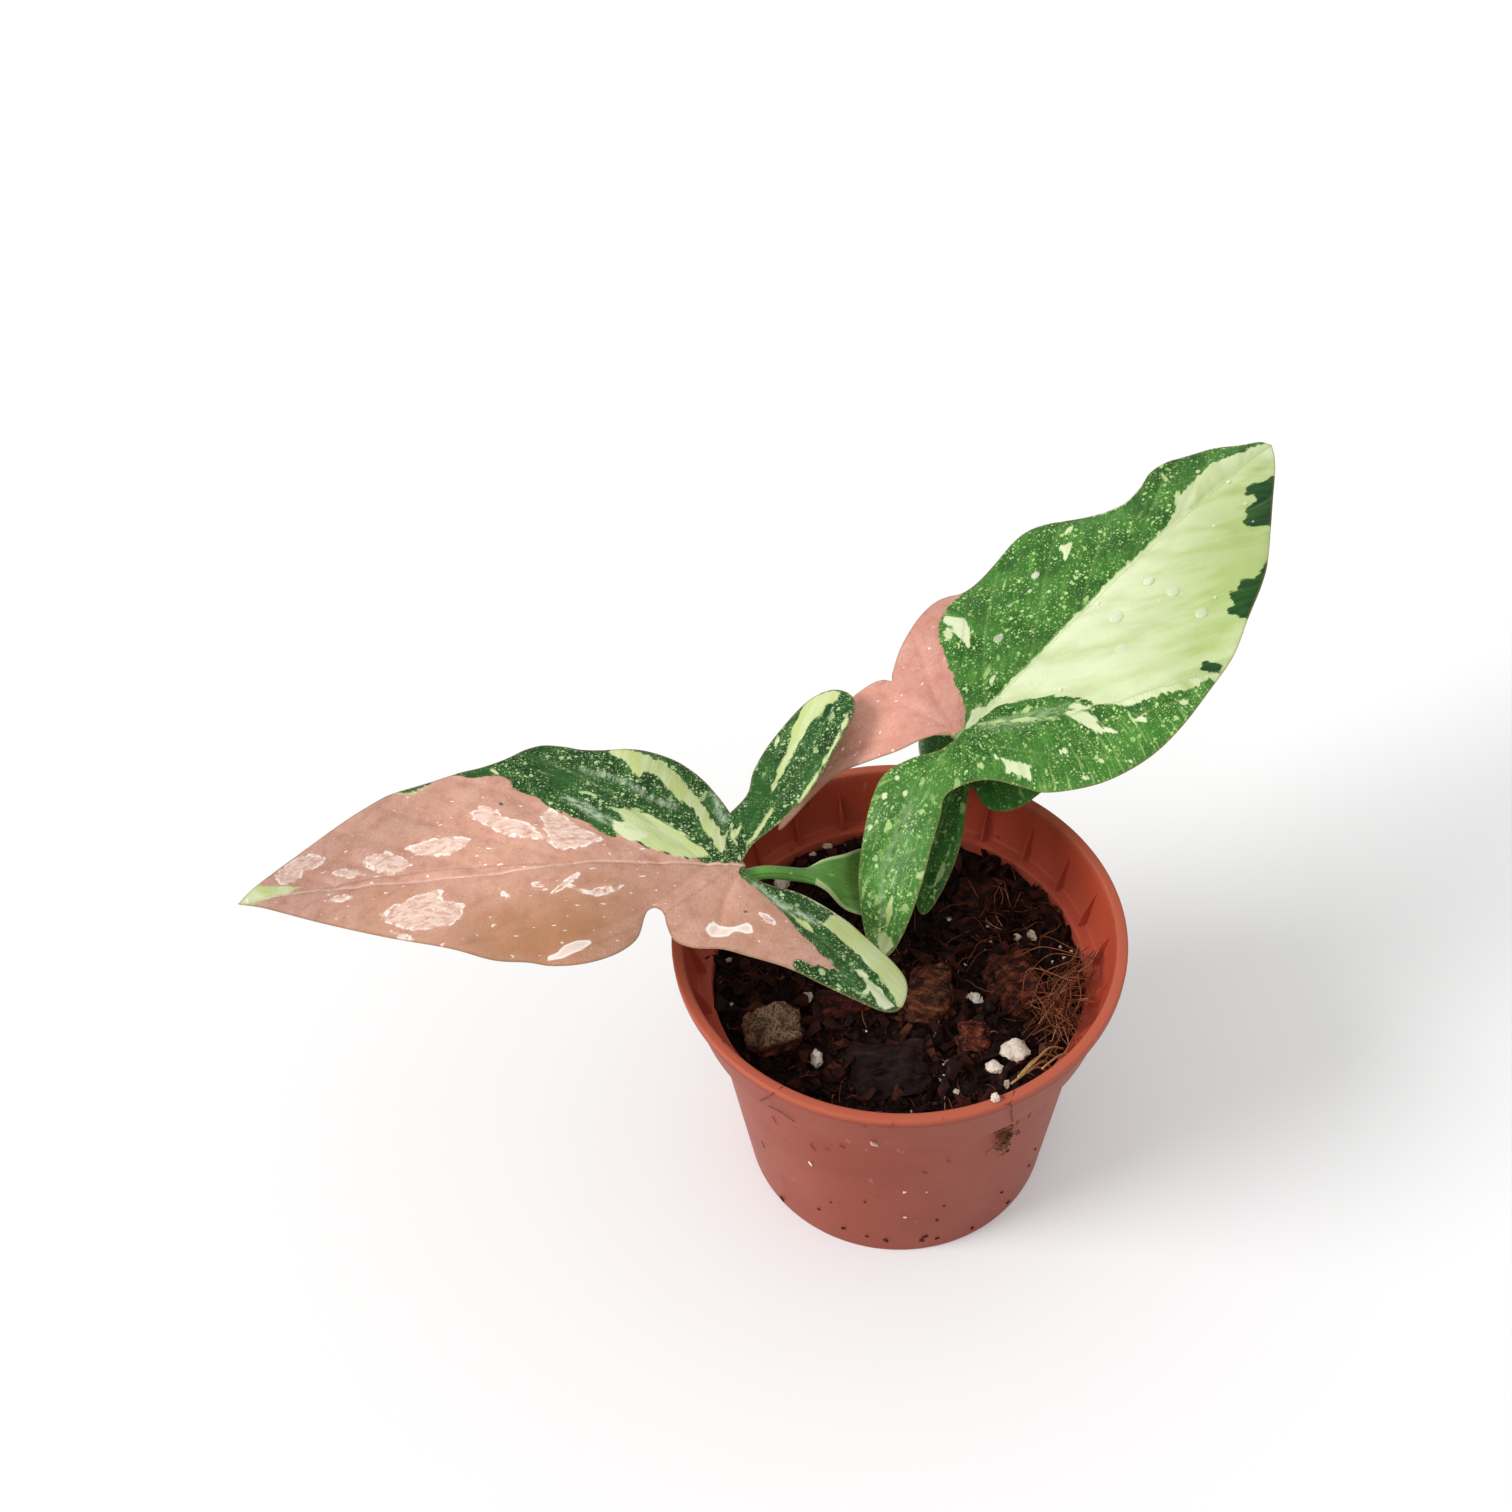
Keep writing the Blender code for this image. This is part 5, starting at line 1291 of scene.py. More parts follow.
        keep(mesh, "grain", np.tile(self.grain(flat), (2, 1)))
        smooth_faces(mesh, 60)
        join_frame(add_object(self.form.name, mesh), self.form.slot, self.replaces)


def join_frame(piece: Object, slot: str, *nodes: str) -> None:
    """Let a piece ride on the part, and hide what it stands for.

    Args:
        piece: The finished object.
        slot: The record's material slot; not used.
        nodes: The solids that the piece stands for.
    """
    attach(piece, "root")
    if nodes:
        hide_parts(*nodes)
    triangles = sum(len(face.vertices) - 2 for face in piece.data.polygons)
    LOG.info("%s: %d triangles", piece.name, triangles)


@dataclass(frozen=True)
class Station:
    """A cross-section of a leaf stalk: its middle, width, thickness, arc and hollow side."""
    middle: tuple
    width: float
    thickness: float
    arc: float
    hollow: tuple


LEFT_STATIONS = (
    Station((-22.3, 2.6, 75.2), 2.3, 2.3, 10, (0, 0.5, 0.9)),
    Station((-15.9, 4.4, 71.6), 2.9, 2.4, 20, (0, 0.3, 0.95)),
    Station((-12.4, 5.2, 69.8), 6.4, 1.9, 60, (0, -0.3, 0.95)),
    Station((-9.2, 6.4, 66.6), 10.8, 1.6, 70, (-0.1, -0.5, 0.85)),
    Station((-6.4, 8.6, 62.9), 13.0, 1.4, 80, (0, -0.5, 0.85)),
    Station((-4.3, 11.2, 59.0), 12.0, 1.2, 110, (0.3, -0.2, 0.85)),
    Station((-3.3, 14.0, 54.5), 8.2, 1.2, 140, (0.9, 0.3, 0.3)),
    Station((-3.2, 15.6, 49.5), 7.1, 1.2, 150, (1, 0.1, 0)),
    Station((-3.2, 15.8, 44.5), 7.0, 1.2, 150, (1, 0.05, 0)),
)

RIGHT_STATIONS = (
    Station((8.6, 20.6, 78), 2.4, 2.4, 10, (-1, 0, 0.2)),
    Station((7.4, 19.6, 70), 2.6, 2.4, 20, (-1, 0, 0.2)),
    Station((6.4, 18.2, 63), 3.2, 2.2, 40, (-1, 0, 0.1)),
    Station((5.1, 16.8, 57), 4.4, 1.8, 80, (-1, -0.1, 0.1)),
    Station((4.3, 16.1, 51), 6.6, 1.3, 130, (-1, -0.1, 0)),
    Station((4.2, 16.0, 44.5), 7.0, 1.2, 150, (-1, 0, 0)),
)

YOUNG_STATIONS = (
    Station((10.6, 25.4, 67), 1.9, 1.9, 10, (-1, 0, 0.2)),
    Station((6.2, 23.6, 60.5), 2.0, 2.0, 10, (-1, 0, 0.2)),
    Station((2.5, 20.3, 57.3), 2.2, 2.1, 10, (-1, 0, 0.2)),
    Station((0.7, 16.8, 55.4), 2.4, 2.2, 10, (-1, 0, 0.1)),
    Station((0.5, 16.0, 53.8), 2.4, 2.4, 10, (-1, 0, 0.1)),
)


@dataclass(frozen=True)
class StalkSkin:
    """Smooth living stalk: green with long pale streaks, and a paler edge on the sheath."""
    name: str = "waxy_green_stalk"
    green: str = "#5f9340"
    deep: str = "#46752e"
    streak: str = "#8cb85c"
    edge: str = "#b4c48c"

    def material(self) -> Material:
        """Build the stalk's material.

        Returns:
            The finished material.
        """
        coats = Coats(self.name, self.green, 0.36, 0.25)
        skin = add_node(coats.tree, READ, attribute_name="skin").outputs["Vector"]
        coats.cloudy(skin, ((0.12, 0.5, 1), 0.45, 0.7, 0.8, 3, self.deep),
                     ((0.1, 1.5, 1), 0.52, 0.72, 0.35, 3, self.streak))
        coats.coat(coats.flecks(skin, (0.35, 0.9, 1), 0.15, 0.3), self.streak)
        coats.coat(coats.zone("wing", 0.25), self.edge)
        # Ribs 0.3 mm apart stand for the finer ones of the real stalk.
        ribs = coats.clouds(skin, (0.15, 3.2, 1), 0.3, 0.7)
        return coats.seal(ribs, 0.08 * MM)


@dataclass
class Stalk:
    """A leaf stalk, from inside the rib under its blade down to its sheathing base."""
    name: str
    form: LeafForm
    stations: tuple
    replaces: str
    skin: StalkSkin = field(default_factory=StalkSkin)
    sides: int = 14
    step: float = 0.7
    head_drop: float = 0.6
    head_forward: float = 0.6
    neck_drop: float = 2.55
    neck_forward: float = 0.1

    def rows(self) -> np.ndarray:
        """Return the cross-sections, one a row, on smooth curves through the stations.

        Returns:
            Middle, width, thickness, arc and hollow side, one section a row.
        """
        tip_way, _, up = leaf_axes(self.form)
        joint, first = np.array(self.form.joint), self.stations[0]
        head = (joint + tip_way * self.head_forward - up * self.head_drop).tolist()
        neck = (joint + tip_way * self.neck_forward - up * self.neck_drop).tolist()
        rest = (first.width, first.thickness, first.arc, *first.hollow)
        known = np.array([(*head, *rest), (*neck, *rest)] + [
            (*s.middle, s.width, s.thickness, s.arc, *s.hollow) for s in self.stations])
        padded = np.vstack([2 * known[0] - known[1], known, 2 * known[-1] - known[-2]])
        line = [known[0]]
        for index in range(len(known) - 1):
            a, b, c, d = padded[index:index + 4]
            pieces = max(1, round(float(np.linalg.norm((c - b)[:3])) / self.step))
            for piece in range(1, pieces + 1):
                row = between(a, b, c, d, piece / pieces)
                row[3:] = b[3:] + (c[3:] - b[3:]) * piece / pieces
                line.append(row)
        rows = np.array(line)
        for _ in range(5):
            rows[1:-1, 3:] = (rows[:-2, 3:] + 2 * rows[1:-1, 3:] + rows[2:, 3:]) / 4
        return rows

    def ring(self, row: np.ndarray, along: np.ndarray) -> tuple:
        """Lay out one cross-section, a bent lens across the stalk's direction.

        Args:
            row: The station's numbers.
            along: The stalk's direction there.

        Returns:
            The corners, and each one's place from -1 to 1 across the stalk.
        """
        hollow = row[6:] - (row[6:] @ along) * along
        hollow /= np.linalg.norm(hollow)
        across = np.cross(along, hollow)
        half_arc = math.radians(row[5]) / 2
        radius = row[3] / (2 * math.sin(half_arc))
        places = -np.cos(np.pi * np.arange(self.sides + 1) / self.sides)
        turns = (places * half_arc)[:, None]
        middle = (row[:3] + across * radius * np.sin(turns) + hollow * radius * (1 - np.cos(turns)))
        out = (across * np.sin(turns) - hollow * np.cos(turns)) * 0.5 * row[4]
        out = out * np.sqrt(np.clip(1 - places ** 2, 0, 1))[:, None]
        corners = np.vstack([middle + out, (middle - out)[-2:0:-1]])
        return corners, np.concatenate([places, places[-2:0:-1]])

    def build(self) -> None:
        """Build the stalk and put it into the frame."""
        rows = self.rows()
        ways = np.gradient(rows[:, :3], axis=0)
        ways /= np.linalg.norm(ways, axis=1)[:, None]
        ways[0] = -leaf_axes(self.form)[2]
        reach = np.concatenate([[0], np.cumsum(np.linalg.norm(np.diff(rows[:, :3], axis=0),
                                                              axis=1))])
        corners, skin, wing = [], [], []
        for row, way, along in zip(rows, ways, reach):
            ring, places = self.ring(row, way)
            corners.append(ring)
            skin.append(np.column_stack([np.full(len(ring), along), places * row[3] / 2
                                         + 6 * (np.arange(len(ring)) > self.sides),
                                         np.zeros(len(ring))]))
            wing.append(np.where(row[3] > 4, np.abs(places) * row[3] / 2 - row[3] / 2 + 0.35, -1))
        count, rings = len(corners[0]), len(corners)
        faces = [(r * count + i, r * count + (i + 1) % count,
                  (r + 1) * count + (i + 1) % count, (r + 1) * count + i)
                 for r in range(rings - 1) for i in range(count)]
        faces += [tuple(range(count)), tuple(range((rings - 1) * count, rings * count))]
        mesh = bpy.data.meshes.new(self.name)
        mesh.from_pydata((np.vstack(corners) * MM).tolist(), [], faces)
        keep(mesh, "skin", np.vstack(skin))
        keep(mesh, "wing", np.concatenate(wing))
        mesh.materials.append(self.skin.material())
        tidy_mesh(mesh, 0.000001, 50)
        join_frame(add_object(self.name, mesh), "petiole_skin", self.replaces)


def lathe_tree() -> NodeTree:
    """Build the tree that turns a profile, given as a line of corners, about the Z axis.

    Returns:
        The tree.
    """
    tree, given = new_tree("turned_form", {"Steps": "NodeSocketInt", "Rows": "NodeSocketInt",
                                           "Finish": "NodeSocketMaterial"})
    around = add_node(tree, MATH, {0: given["Steps"], 1: 1.0})
    sheet = add_node(tree, "GeometryNodeMeshGrid", {
        "Size X": 1.0, "Size Y": 1.0, "Vertices X": around, "Vertices Y": given["Rows"]})
    place = add_node(tree, "ShaderNodeSeparateXYZ",
                     {0: add_node(tree, "GeometryNodeInputPosition")})
    last = add_node(tree, MATH, {0: given["Rows"], 1: 1.0}, operation="SUBTRACT")
    share = add_node(tree, MATH, {0: place.outputs[1], 1: 0.5})
    row = add_node(tree, MATH, {0: share, 1: last}, operation="MULTIPLY")
    row = add_node(tree, MATH, {0: row}, operation="ROUND")
    corner = add_node(tree, "GeometryNodeSampleIndex", {
        "Geometry": given["Geometry"],
        "Value": add_node(tree, "GeometryNodeInputPosition"), "Index": row},
        data_type="FLOAT_VECTOR")
    corner = add_node(tree, "ShaderNodeSeparateXYZ", {0: corner})
    turn = add_node(tree, MATH, {0: place.outputs[0], 1: 2 * math.pi}, operation="MULTIPLY")
    x, y = (add_node(tree, MATH, {
        0: add_node(tree, MATH, {0: turn}, operation=way), 1: corner.outputs[0]},
        operation="MULTIPLY") for way in ("COSINE", "SINE"))
    spot = add_node(tree, "ShaderNodeCombineXYZ", {0: x, 1: y, 2: corner.outputs[2]})
    bent = add_node(tree, "GeometryNodeSetPosition", {"Geometry": sheet.outputs[0],
                                                      "Position": spot})
    closed = add_node(tree, "GeometryNodeMergeByDistance", {"Geometry": bent, "Distance": 0.00001})
    end_tree(tree, closed.outputs[0], given["Finish"])
    return tree


def turned(name: str, profile: tuple, steps: int, finish: Material, crease: float = 35) -> Object:
    """Turn a closed profile of (radius, height) corners, in millimetres, about Z.

    Args:
        name: The object's name.
        profile: The corners, from the axis back to the axis.
        steps: Faces around.
        finish: Its material.
        crease: Angle above which an edge stays sharp.

    Returns:
        The turned object, its faces pointing out.
    """
    line = bpy.data.meshes.new(name)
    line.from_pydata([(r * MM, 0, z * MM) for r, z in profile], [], [])
    item = grow(name, line, lathe_tree(), {"Steps": steps, "Rows": len(profile), "Finish": finish})
    tidy_mesh(item.data, 0.00001, crease)
    return item


def soften(profile: tuple, reach: float, pieces: int = 4) -> list:
    """Round the corners of a profile.

    Args:
        profile: The corners, in millimetres.
        reach: How far a rounding goes along each side, at most.
        pieces: How many pieces a rounding has.

    Returns:
        The corners of the rounded profile.
    """
    points = [np.array(p, float) for p in profile]
    line = [points[0]]
    for before, here, after in zip(points, points[1:], points[2:]):
        back, ahead = before - here, after - here
        cut = min(reach, 0.45 * np.linalg.norm(back), 0.45 * np.linalg.norm(ahead))
        start = here + back / np.linalg.norm(back) * cut
        end = here + ahead / np.linalg.norm(ahead) * cut
        for share in np.linspace(0, 1, pieces + 1):
            line.append((1 - share) ** 2 * start + 2 * share * (1 - share) * here
                        + share ** 2 * end)
    return line + [points[-1]]


@dataclass(frozen=True)
class PotSkin:
    """Injection-moulded polypropylene: an even orange-brown with a soft satin shine.

    Handling and wet soil left it faintly cloudy, scuffed and speckled. The lighter colours of the
    lip's top and of the inside wall are painted light.
    """
    name: str = "moulded_polypropylene"
    colour: str = "#8b3d2a"
    worn: str = "#984a39"
    deep: str = "#75311f"
    # The lip's lighter colour is painted light on its top face.
    lip: str = "#ad5843"
    # The inside colours are lighter than the outer wall: painted light against the shade inside the
    # pot.
    inner: str = "#aa4631"
    inner_low_painted_light: str = "#b65441"
    dirt: str = "#4a2a20"
    scuff: str = "#b97f6c"

    def material(self) -> Material:
        """Build the pot's material.

        Returns:
            The finished material.
        """
        coats = Coats(self.name, self.colour, 0.42, 0.09)
        tree, place = coats.tree, coats.place
        coats.cloudy(place, ((70, 70, 45), 0.42, 0.7, 0.5, 3, self.worn),
                     ((38, 38, 60), 0.5, 0.75, 0.4, 3, self.deep))
        spot = add_node(tree, "ShaderNodeSeparateXYZ", {0: place})
        # The top of the lip, from 59.6 mm up, is painted lighter: painted light on the face that
        # looks up to the light.
        lip = add_node(tree, RANGE, {"Value": spot.outputs[2], "From Min": 59.6 * MM,
                                     "From Max": 60.9 * MM})
        inside = add_node(tree, READ, attribute_name="inside").outputs["Fac"]
        # The inside wall is a lighter copy of the plastic: painted light against the shade in the
        # pot.
        coats.coat(inside, self.inner)
        coats.coat(lip, self.lip, 0.38)
        # Lower down, towards the soil, the inside is painted lighter still: painted light against
        # the shade of the leaves and soil.
        level = add_node(tree, RANGE, {"Value": spot.outputs[2], "From Min": 56 * MM,
                                       "From Max": 48.5 * MM})
        coats.coat(inside, self.inner_low_painted_light, 0.3, level)
        coats.cloudy(place, ((160, 160, 110), 0.66, 0.8, 0.4, 5, self.dirt, 0.6),
                     ((620, 620, 620), 0.745, 0.78, 0.5, 1, self.dirt),
                     ((900, 900, 250), 0.7, 0.76, 0.3, 2, self.scuff))
        # The mould's grain is finer than a pixel, so it is drawn about 0.6 mm across.
        fine = add_node(tree, NOISE, {"Vector": coats.scaled(place, (1600, 1600, 1600)),
                                      "Scale": 1.0, "Detail": 2.0})
        return coats.seal(fine, 0.03 * MM)


SOIL_LEVEL = 46.2
SOIL_RISE = 1.2
SOIL_RADIUS = 33.4


def soil_height(x: float, y: float) -> float:
    """Return the height of the soil's surface, in millimetres, at a spot in millimetres.

    Args:
        x: Where, across the pot.
        y: Where, along it.

    Returns:
        The height.
    """
    rise = SOIL_RISE * (math.hypot(x, y) / SOIL_RADIUS) ** 3
    coarse = noise.noise(Vector((x / 6, y / 6, 2.3)))
    fine = noise.noise(Vector((x / 2.6, y / 2.6, 7.1)))
    return SOIL_LEVEL + rise + 1.3 * (coarse + 0.5 * fine)


@dataclass
class Pot:
    """The nursery pot: turned wall, lip, ledge with fins, foot and drain holes."""
    height: float = 61
    rim_radius: float = 40
    rim_width: float = 1.9
    rim_depth: float = 2.2
    collar_z: float = 48
    collar_radius: float = 37
    body_top: float = 34.5
    base_radius: float = 29
    wall: float = 0.9
    ledge_z: float = 49.5
    floor: float = 1.5
    foot_width: float = 3.2
    foot_height: float = 0.6
    hub: float = 8
    soft: float = 0.5
    steps: int = 192
    fin_count: int = 24
    fin_start: float = 11.5
    fin_corners: tuple = ((34.5, 49.2, 0.45), (36.6, 49.2, 0.45), (37.5, 57.0, 0.1),
                          (37.15, 57.0, 0.1), (35.5, 53.4, 0.22), (34.5, 50.2, 0.36))
    drain_count: int = 6
    drain_radius: float = 2.5
    drain_circle: float = 17
    skin: PotSkin = field(default_factory=PotSkin)

    def body(self, height: float) -> float:
        """Return the outer radius of the tapered body at a height."""
        return self.base_radius + (self.body_top - self.base_radius) * height / self.collar_z

    def profile(self) -> list:
        """Return the pot's section, from the middle of its floor over the rim and back.

        Returns:
            The corners, as radius and height, in millimetres.
        """
        inner, soft, collar = self.rim_radius - self.rim_width, self.soft, self.collar_radius
        corners = (
            (0, self.floor), (self.body(self.floor) - self.wall, self.floor),
            (self.body(self.collar_z) - self.wall, self.ledge_z),
            (collar - self.wall, self.ledge_z), (inner - 0.35, self.height - 1.6),
            (inner, self.height), (self.rim_radius, self.height),
            (self.rim_radius - 0.1, self.height - self.rim_depth),
            (self.rim_radius - 2 * soft, self.height - self.rim_depth - soft / 2),
            (collar, self.collar_z + soft / 2), (collar - soft / 2, self.collar_z),
            (self.body_top, self.collar_z), (self.base_radius, 0),
            (self.base_radius - self.foot_width, 0),
            (self.base_radius - self.foot_width - soft, self.foot_height),
            (self.hub + soft, self.foot_height), (self.hub, 0), (0, 0), )
        return soften(corners, 0.55)

    def fin_tree(self) -> NodeTree:
        """Build the tree that sets copies of one fin evenly round the axis.

        Returns:
            The tree.
        """
        tree, given = new_tree("fins_round_collar", {
            "Count": "NodeSocketInt", "Start": "NodeSocketFloat", "Finish": "NodeSocketMaterial"})
        points = add_node(tree, "GeometryNodeMeshLine", {"Count": given["Count"],
                                                         "Offset": (0, 0, 0)})
        share = add_node(tree, MATH, {0: 2 * math.pi, 1: given["Count"]}, operation="DIVIDE")
        turn = add_node(tree, MATH, {0: add_node(tree, "GeometryNodeInputIndex"), 1: share,
                                     2: given["Start"]}, operation="MULTIPLY_ADD")
        copies = add_node(tree, "GeometryNodeInstanceOnPoints", {
            "Points": points, "Instance": given["Geometry"],
            "Rotation": add_node(tree, "ShaderNodeCombineXYZ", {2: turn})})
        end_tree(tree, copies.outputs[0], given["Finish"])
        return tree

    def fins(self, finish: Material) -> Object:
        """Build the small three-cornered fins that stand on the ledge.

        Args:
            finish: The pot's material.

        Returns:
            The fins as one object.
        """
        shape = bmesh.new()
        faces = [[shape.verts.new((r * MM, side * half * MM, z * MM))
                  for r, z, half in self.fin_corners] for side in (-1, 1)]
        shape.faces.new(faces[0])
        shape.faces.new(faces[1][::-1])
        for i in range(len(self.fin_corners)):
            j = (i + 1) % len(self.fin_corners)
            shape.faces.new((faces[0][i], faces[1][i], faces[1][j], faces[0][j]))
        bmesh.ops.recalc_face_normals(shape, faces=shape.faces)
        bmesh.ops.bevel(shape, geom=shape.edges[:], offset=0.04 * MM, segments=2, affect="EDGES")
        item = grow("pot_fins", end_shape(shape, "fin"), self.fin_tree(), {
            "Count": self.fin_count, "Start": math.radians(self.fin_start), "Finish": finish})
        smooth_faces(item.data, 50)
        keep(item.data, "inside", np.ones(len(item.data.vertices)))
        return item

    def mark_inside(self, mesh: Mesh) -> None:
        """Mark the corners of the pot's inner side, which has a colour of its own.

        Args:
            mesh: The pot's mesh.
        """
        x, y, height = corners_of(mesh).T / MM
        collar = self.collar_radius + 0.19 * (height - self.collar_z)
        outer = np.where(height < self.collar_z + 0.3, self.body(height), collar)
        inside = (np.hypot(x, y) < outer - 0.45) & (height > 1)
        keep(mesh, "inside", (inside & (height < 60.2)).astype(float))

    def build(self) -> None:
        """Build the pot and its fins, and put them into the frame."""
        finish = self.skin.material()
        pot = turned("pot_shell", self.profile(), self.steps, finish)
        shape = bmesh.new()
        for index in range(self.drain_count):
            turn = 2 * math.pi * (index + 0.5) / self.drain_count
            spot = (self.drain_circle * math.cos(turn), self.drain_circle * math.sin(turn), 0)
            bmesh.ops.create_cone(
                shape, cap_ends=True, segments=32, radius1=self.drain_radius * MM,
                radius2=self.drain_radius * MM, depth=4 * self.floor * MM,
                matrix=Matrix.Translation(Vector(spot) * MM))
        cutter = add_object("drains", end_shape(shape, "drains"))
        step = pot.modifiers.new("Drains", "BOOLEAN")
        step.operation, step.solver, step.object = "DIFFERENCE", "EXACT", cutter
        settle(pot)
        bpy.data.objects.remove(cutter)
        pot.data.materials.clear()
        pot.data.materials.append(finish)
        pot.data.set_sharp_from_angle(angle=math.radians(35))
        self.mark_inside(pot.data)
        join_frame(pot, "terracotta_plastic", "pot")
        join_frame(self.fins(finish), "terracotta_plastic")


@dataclass
class Crown:
    """The short stem that the stalks grow from, ringed by the scars of old leaves."""
    x: float = 0.5
    y: float = 16.0
    bottom: float = 26
    top: float = 53
    radius: float = 2.6
    skin: StalkSkin = field(default_factory=lambda: StalkSkin("corky_stem", "#5d7434", "#3c4a22"))

    def build(self) -> None:
        """Build the stem and put it into the frame."""
        profile = [(0, self.top)]
        for row in range(49):
            share = row / 48
            swell = math.sin(math.pi / 2 * min(1, 0.35 + share))
            scar = 0.25 * math.exp(-((share * 8 % 3 - 1) / 0.18) ** 2)
            profile.append((self.radius * (0.62 + 0.38 * swell) + scar,
                            self.top + (self.bottom - self.top) * share))
        stem = turned("crown", (*profile, (0, self.bottom)), 48, self.skin.material(), 60)
        x, y, height = corners_of(stem.data).T
        around = np.arctan2(y, x) * self.radius
        keep(stem.data, "skin", np.column_stack([height / MM, around, 0 * x]))
        keep(stem.data, "wing", np.full(len(x), -1.0))
        stem.data.transform(Matrix.Translation((self.x * MM, self.y * MM, 0)))
        join_frame(stem, "stem_skin", "stem_base")


@dataclass(frozen=True)
class PeatSkin:
    """Wet peat and bark fines: nearly black, with warm brown flecks and damp shine."""
    name: str
    colour: str = "#150a07"
    warm: str = "#38190f"
    pale: str = "#5c3324"
    shine: float = 0.55
    lift: float = 0.5
    gloom: float = 0.75

    def material(self) -> Material:
        """Build the material; loose bits differ in tone by their kept draw.

        Returns:
            The finished material.
        """
        coats = Coats(self.name, self.colour, 0.8, 0.12)
        draw = add_node(coats.tree, READ, attribute_name="draw").outputs["Fac"]
        warm = add_node(coats.tree, RANGE, {"Value": draw, "From Min": 0.35, "From Max": 0.95,
                                            "To Min": 0.0, "To Max": self.lift})
        coats.coat(warm, self.warm)
        rare = add_node(coats.tree, RANGE, {"Value": draw, "From Min": 0.9, "From Max": 1.0,
                                            "To Min": 0.0, "To Max": self.lift})
        coats.coat(rare, self.pale)
        coats.cloudy(coats.place, ((700, 700, 700), 0.52, 0.68, 0.6, 3, self.warm),
                     ((260, 260, 260), 0.55, 0.66, 0.85, 3, self.colour, self.shine),
                     ((95, 95, 95), 0.47, 0.58, self.gloom, 3, self.colour))
        # Grit of about 0.7 mm stands for the finer grain of the peat.
        fine = add_node(coats.tree, NOISE, {
            "Vector": coats.scaled(coats.place, (1500, 1500, 1500)), "Scale": 1.0})
        return coats.seal(fine, 0.16 * MM)


@dataclass(frozen=True)
class PerliteSkin:
    """Expanded volcanic glass: chalky off-white with fine pores, stained by the peat."""
    name: str = "expanded_perlite"
    colour: str = "#dccfc0"
    stain: str = "#a08068"

    def material(self) -> Material:
        """Build the grains' material.

        Returns:
            The finished material.
        """
        coats = Coats(self.name, self.colour, 0.85, 0.2)
        coats.cloudy(coats.place, ((420, 420, 420), 0.48, 0.66, 0.7, 3, self.stain))
        # Pores are drawn 0.45 mm wide, coarser than most real ones, so that they show.
        pores = add_node(coats.tree, CELLS, {
            "Vector": coats.scaled(coats.place, (2200, 2200, 2200)), "Scale": 1.0})
        return coats.seal(pores, 0.12 * MM)


@dataclass(frozen=True)
class BarkSkin:
    """Composted pine bark: layered and fibrous, darker where it is wet."""
    name: str
    colour: str
    light: str
    cap: str | None = None
    dark: str = "#150a07"

    def material(self) -> Material:
        """Build the lump's material, with its fibres along the lump's own length.

        Returns:
            The finished material.
        """
        coats = Coats(self.name, self.colour, 0.72, 0.12)
        tree = coats.tree
        own = add_node(tree, READ, attribute_name="own").outputs["Vector"]
        coats.cloudy(own, ((0.5, 1.3, 1.3), 0.48, 0.68, 0.7, 4, self.light),
                     ((0.45, 0.7, 0.7), 0.46, 0.6, 0.9, 4, self.dark),
                     ((2.2, 2.6, 2.6), 0.6, 0.7, 0.7, 3, self.light))
        if self.cap:
            spot = add_node(tree, "ShaderNodeSeparateXYZ", {0: own})
            lean = add_node(tree, MATH, {0: spot.outputs[1], 1: 0.7, 2: spot.outputs[2]},
                            operation="MULTIPLY_ADD")
            top = add_node(tree, RANGE, {"Value": lean, "From Min": 2.6, "From Max": 3.6})
            coats.coat(top, self.cap)
            pits = coats.clouds(own, (2.1, 2.1, 2.1), 0.44, 0.62, 0.8)
            coats.coat(top, self.dark, None, pits)
        coats.cloudy(own, ((0.3, 0.4, 0.4), 0.5, 0.6, 0.5, 3, self.dark, 0.4))
        # Fibres 0.3 mm thick and 0.8 mm long stand for finer ones.
        height = add_node(tree, NOISE, {"Vector": coats.scaled(own, (1.2, 3.4, 3.4)),
                                        "Scale": 1.0, "Detail": 4.0})
        return coats.seal(height, 0.35 * MM)


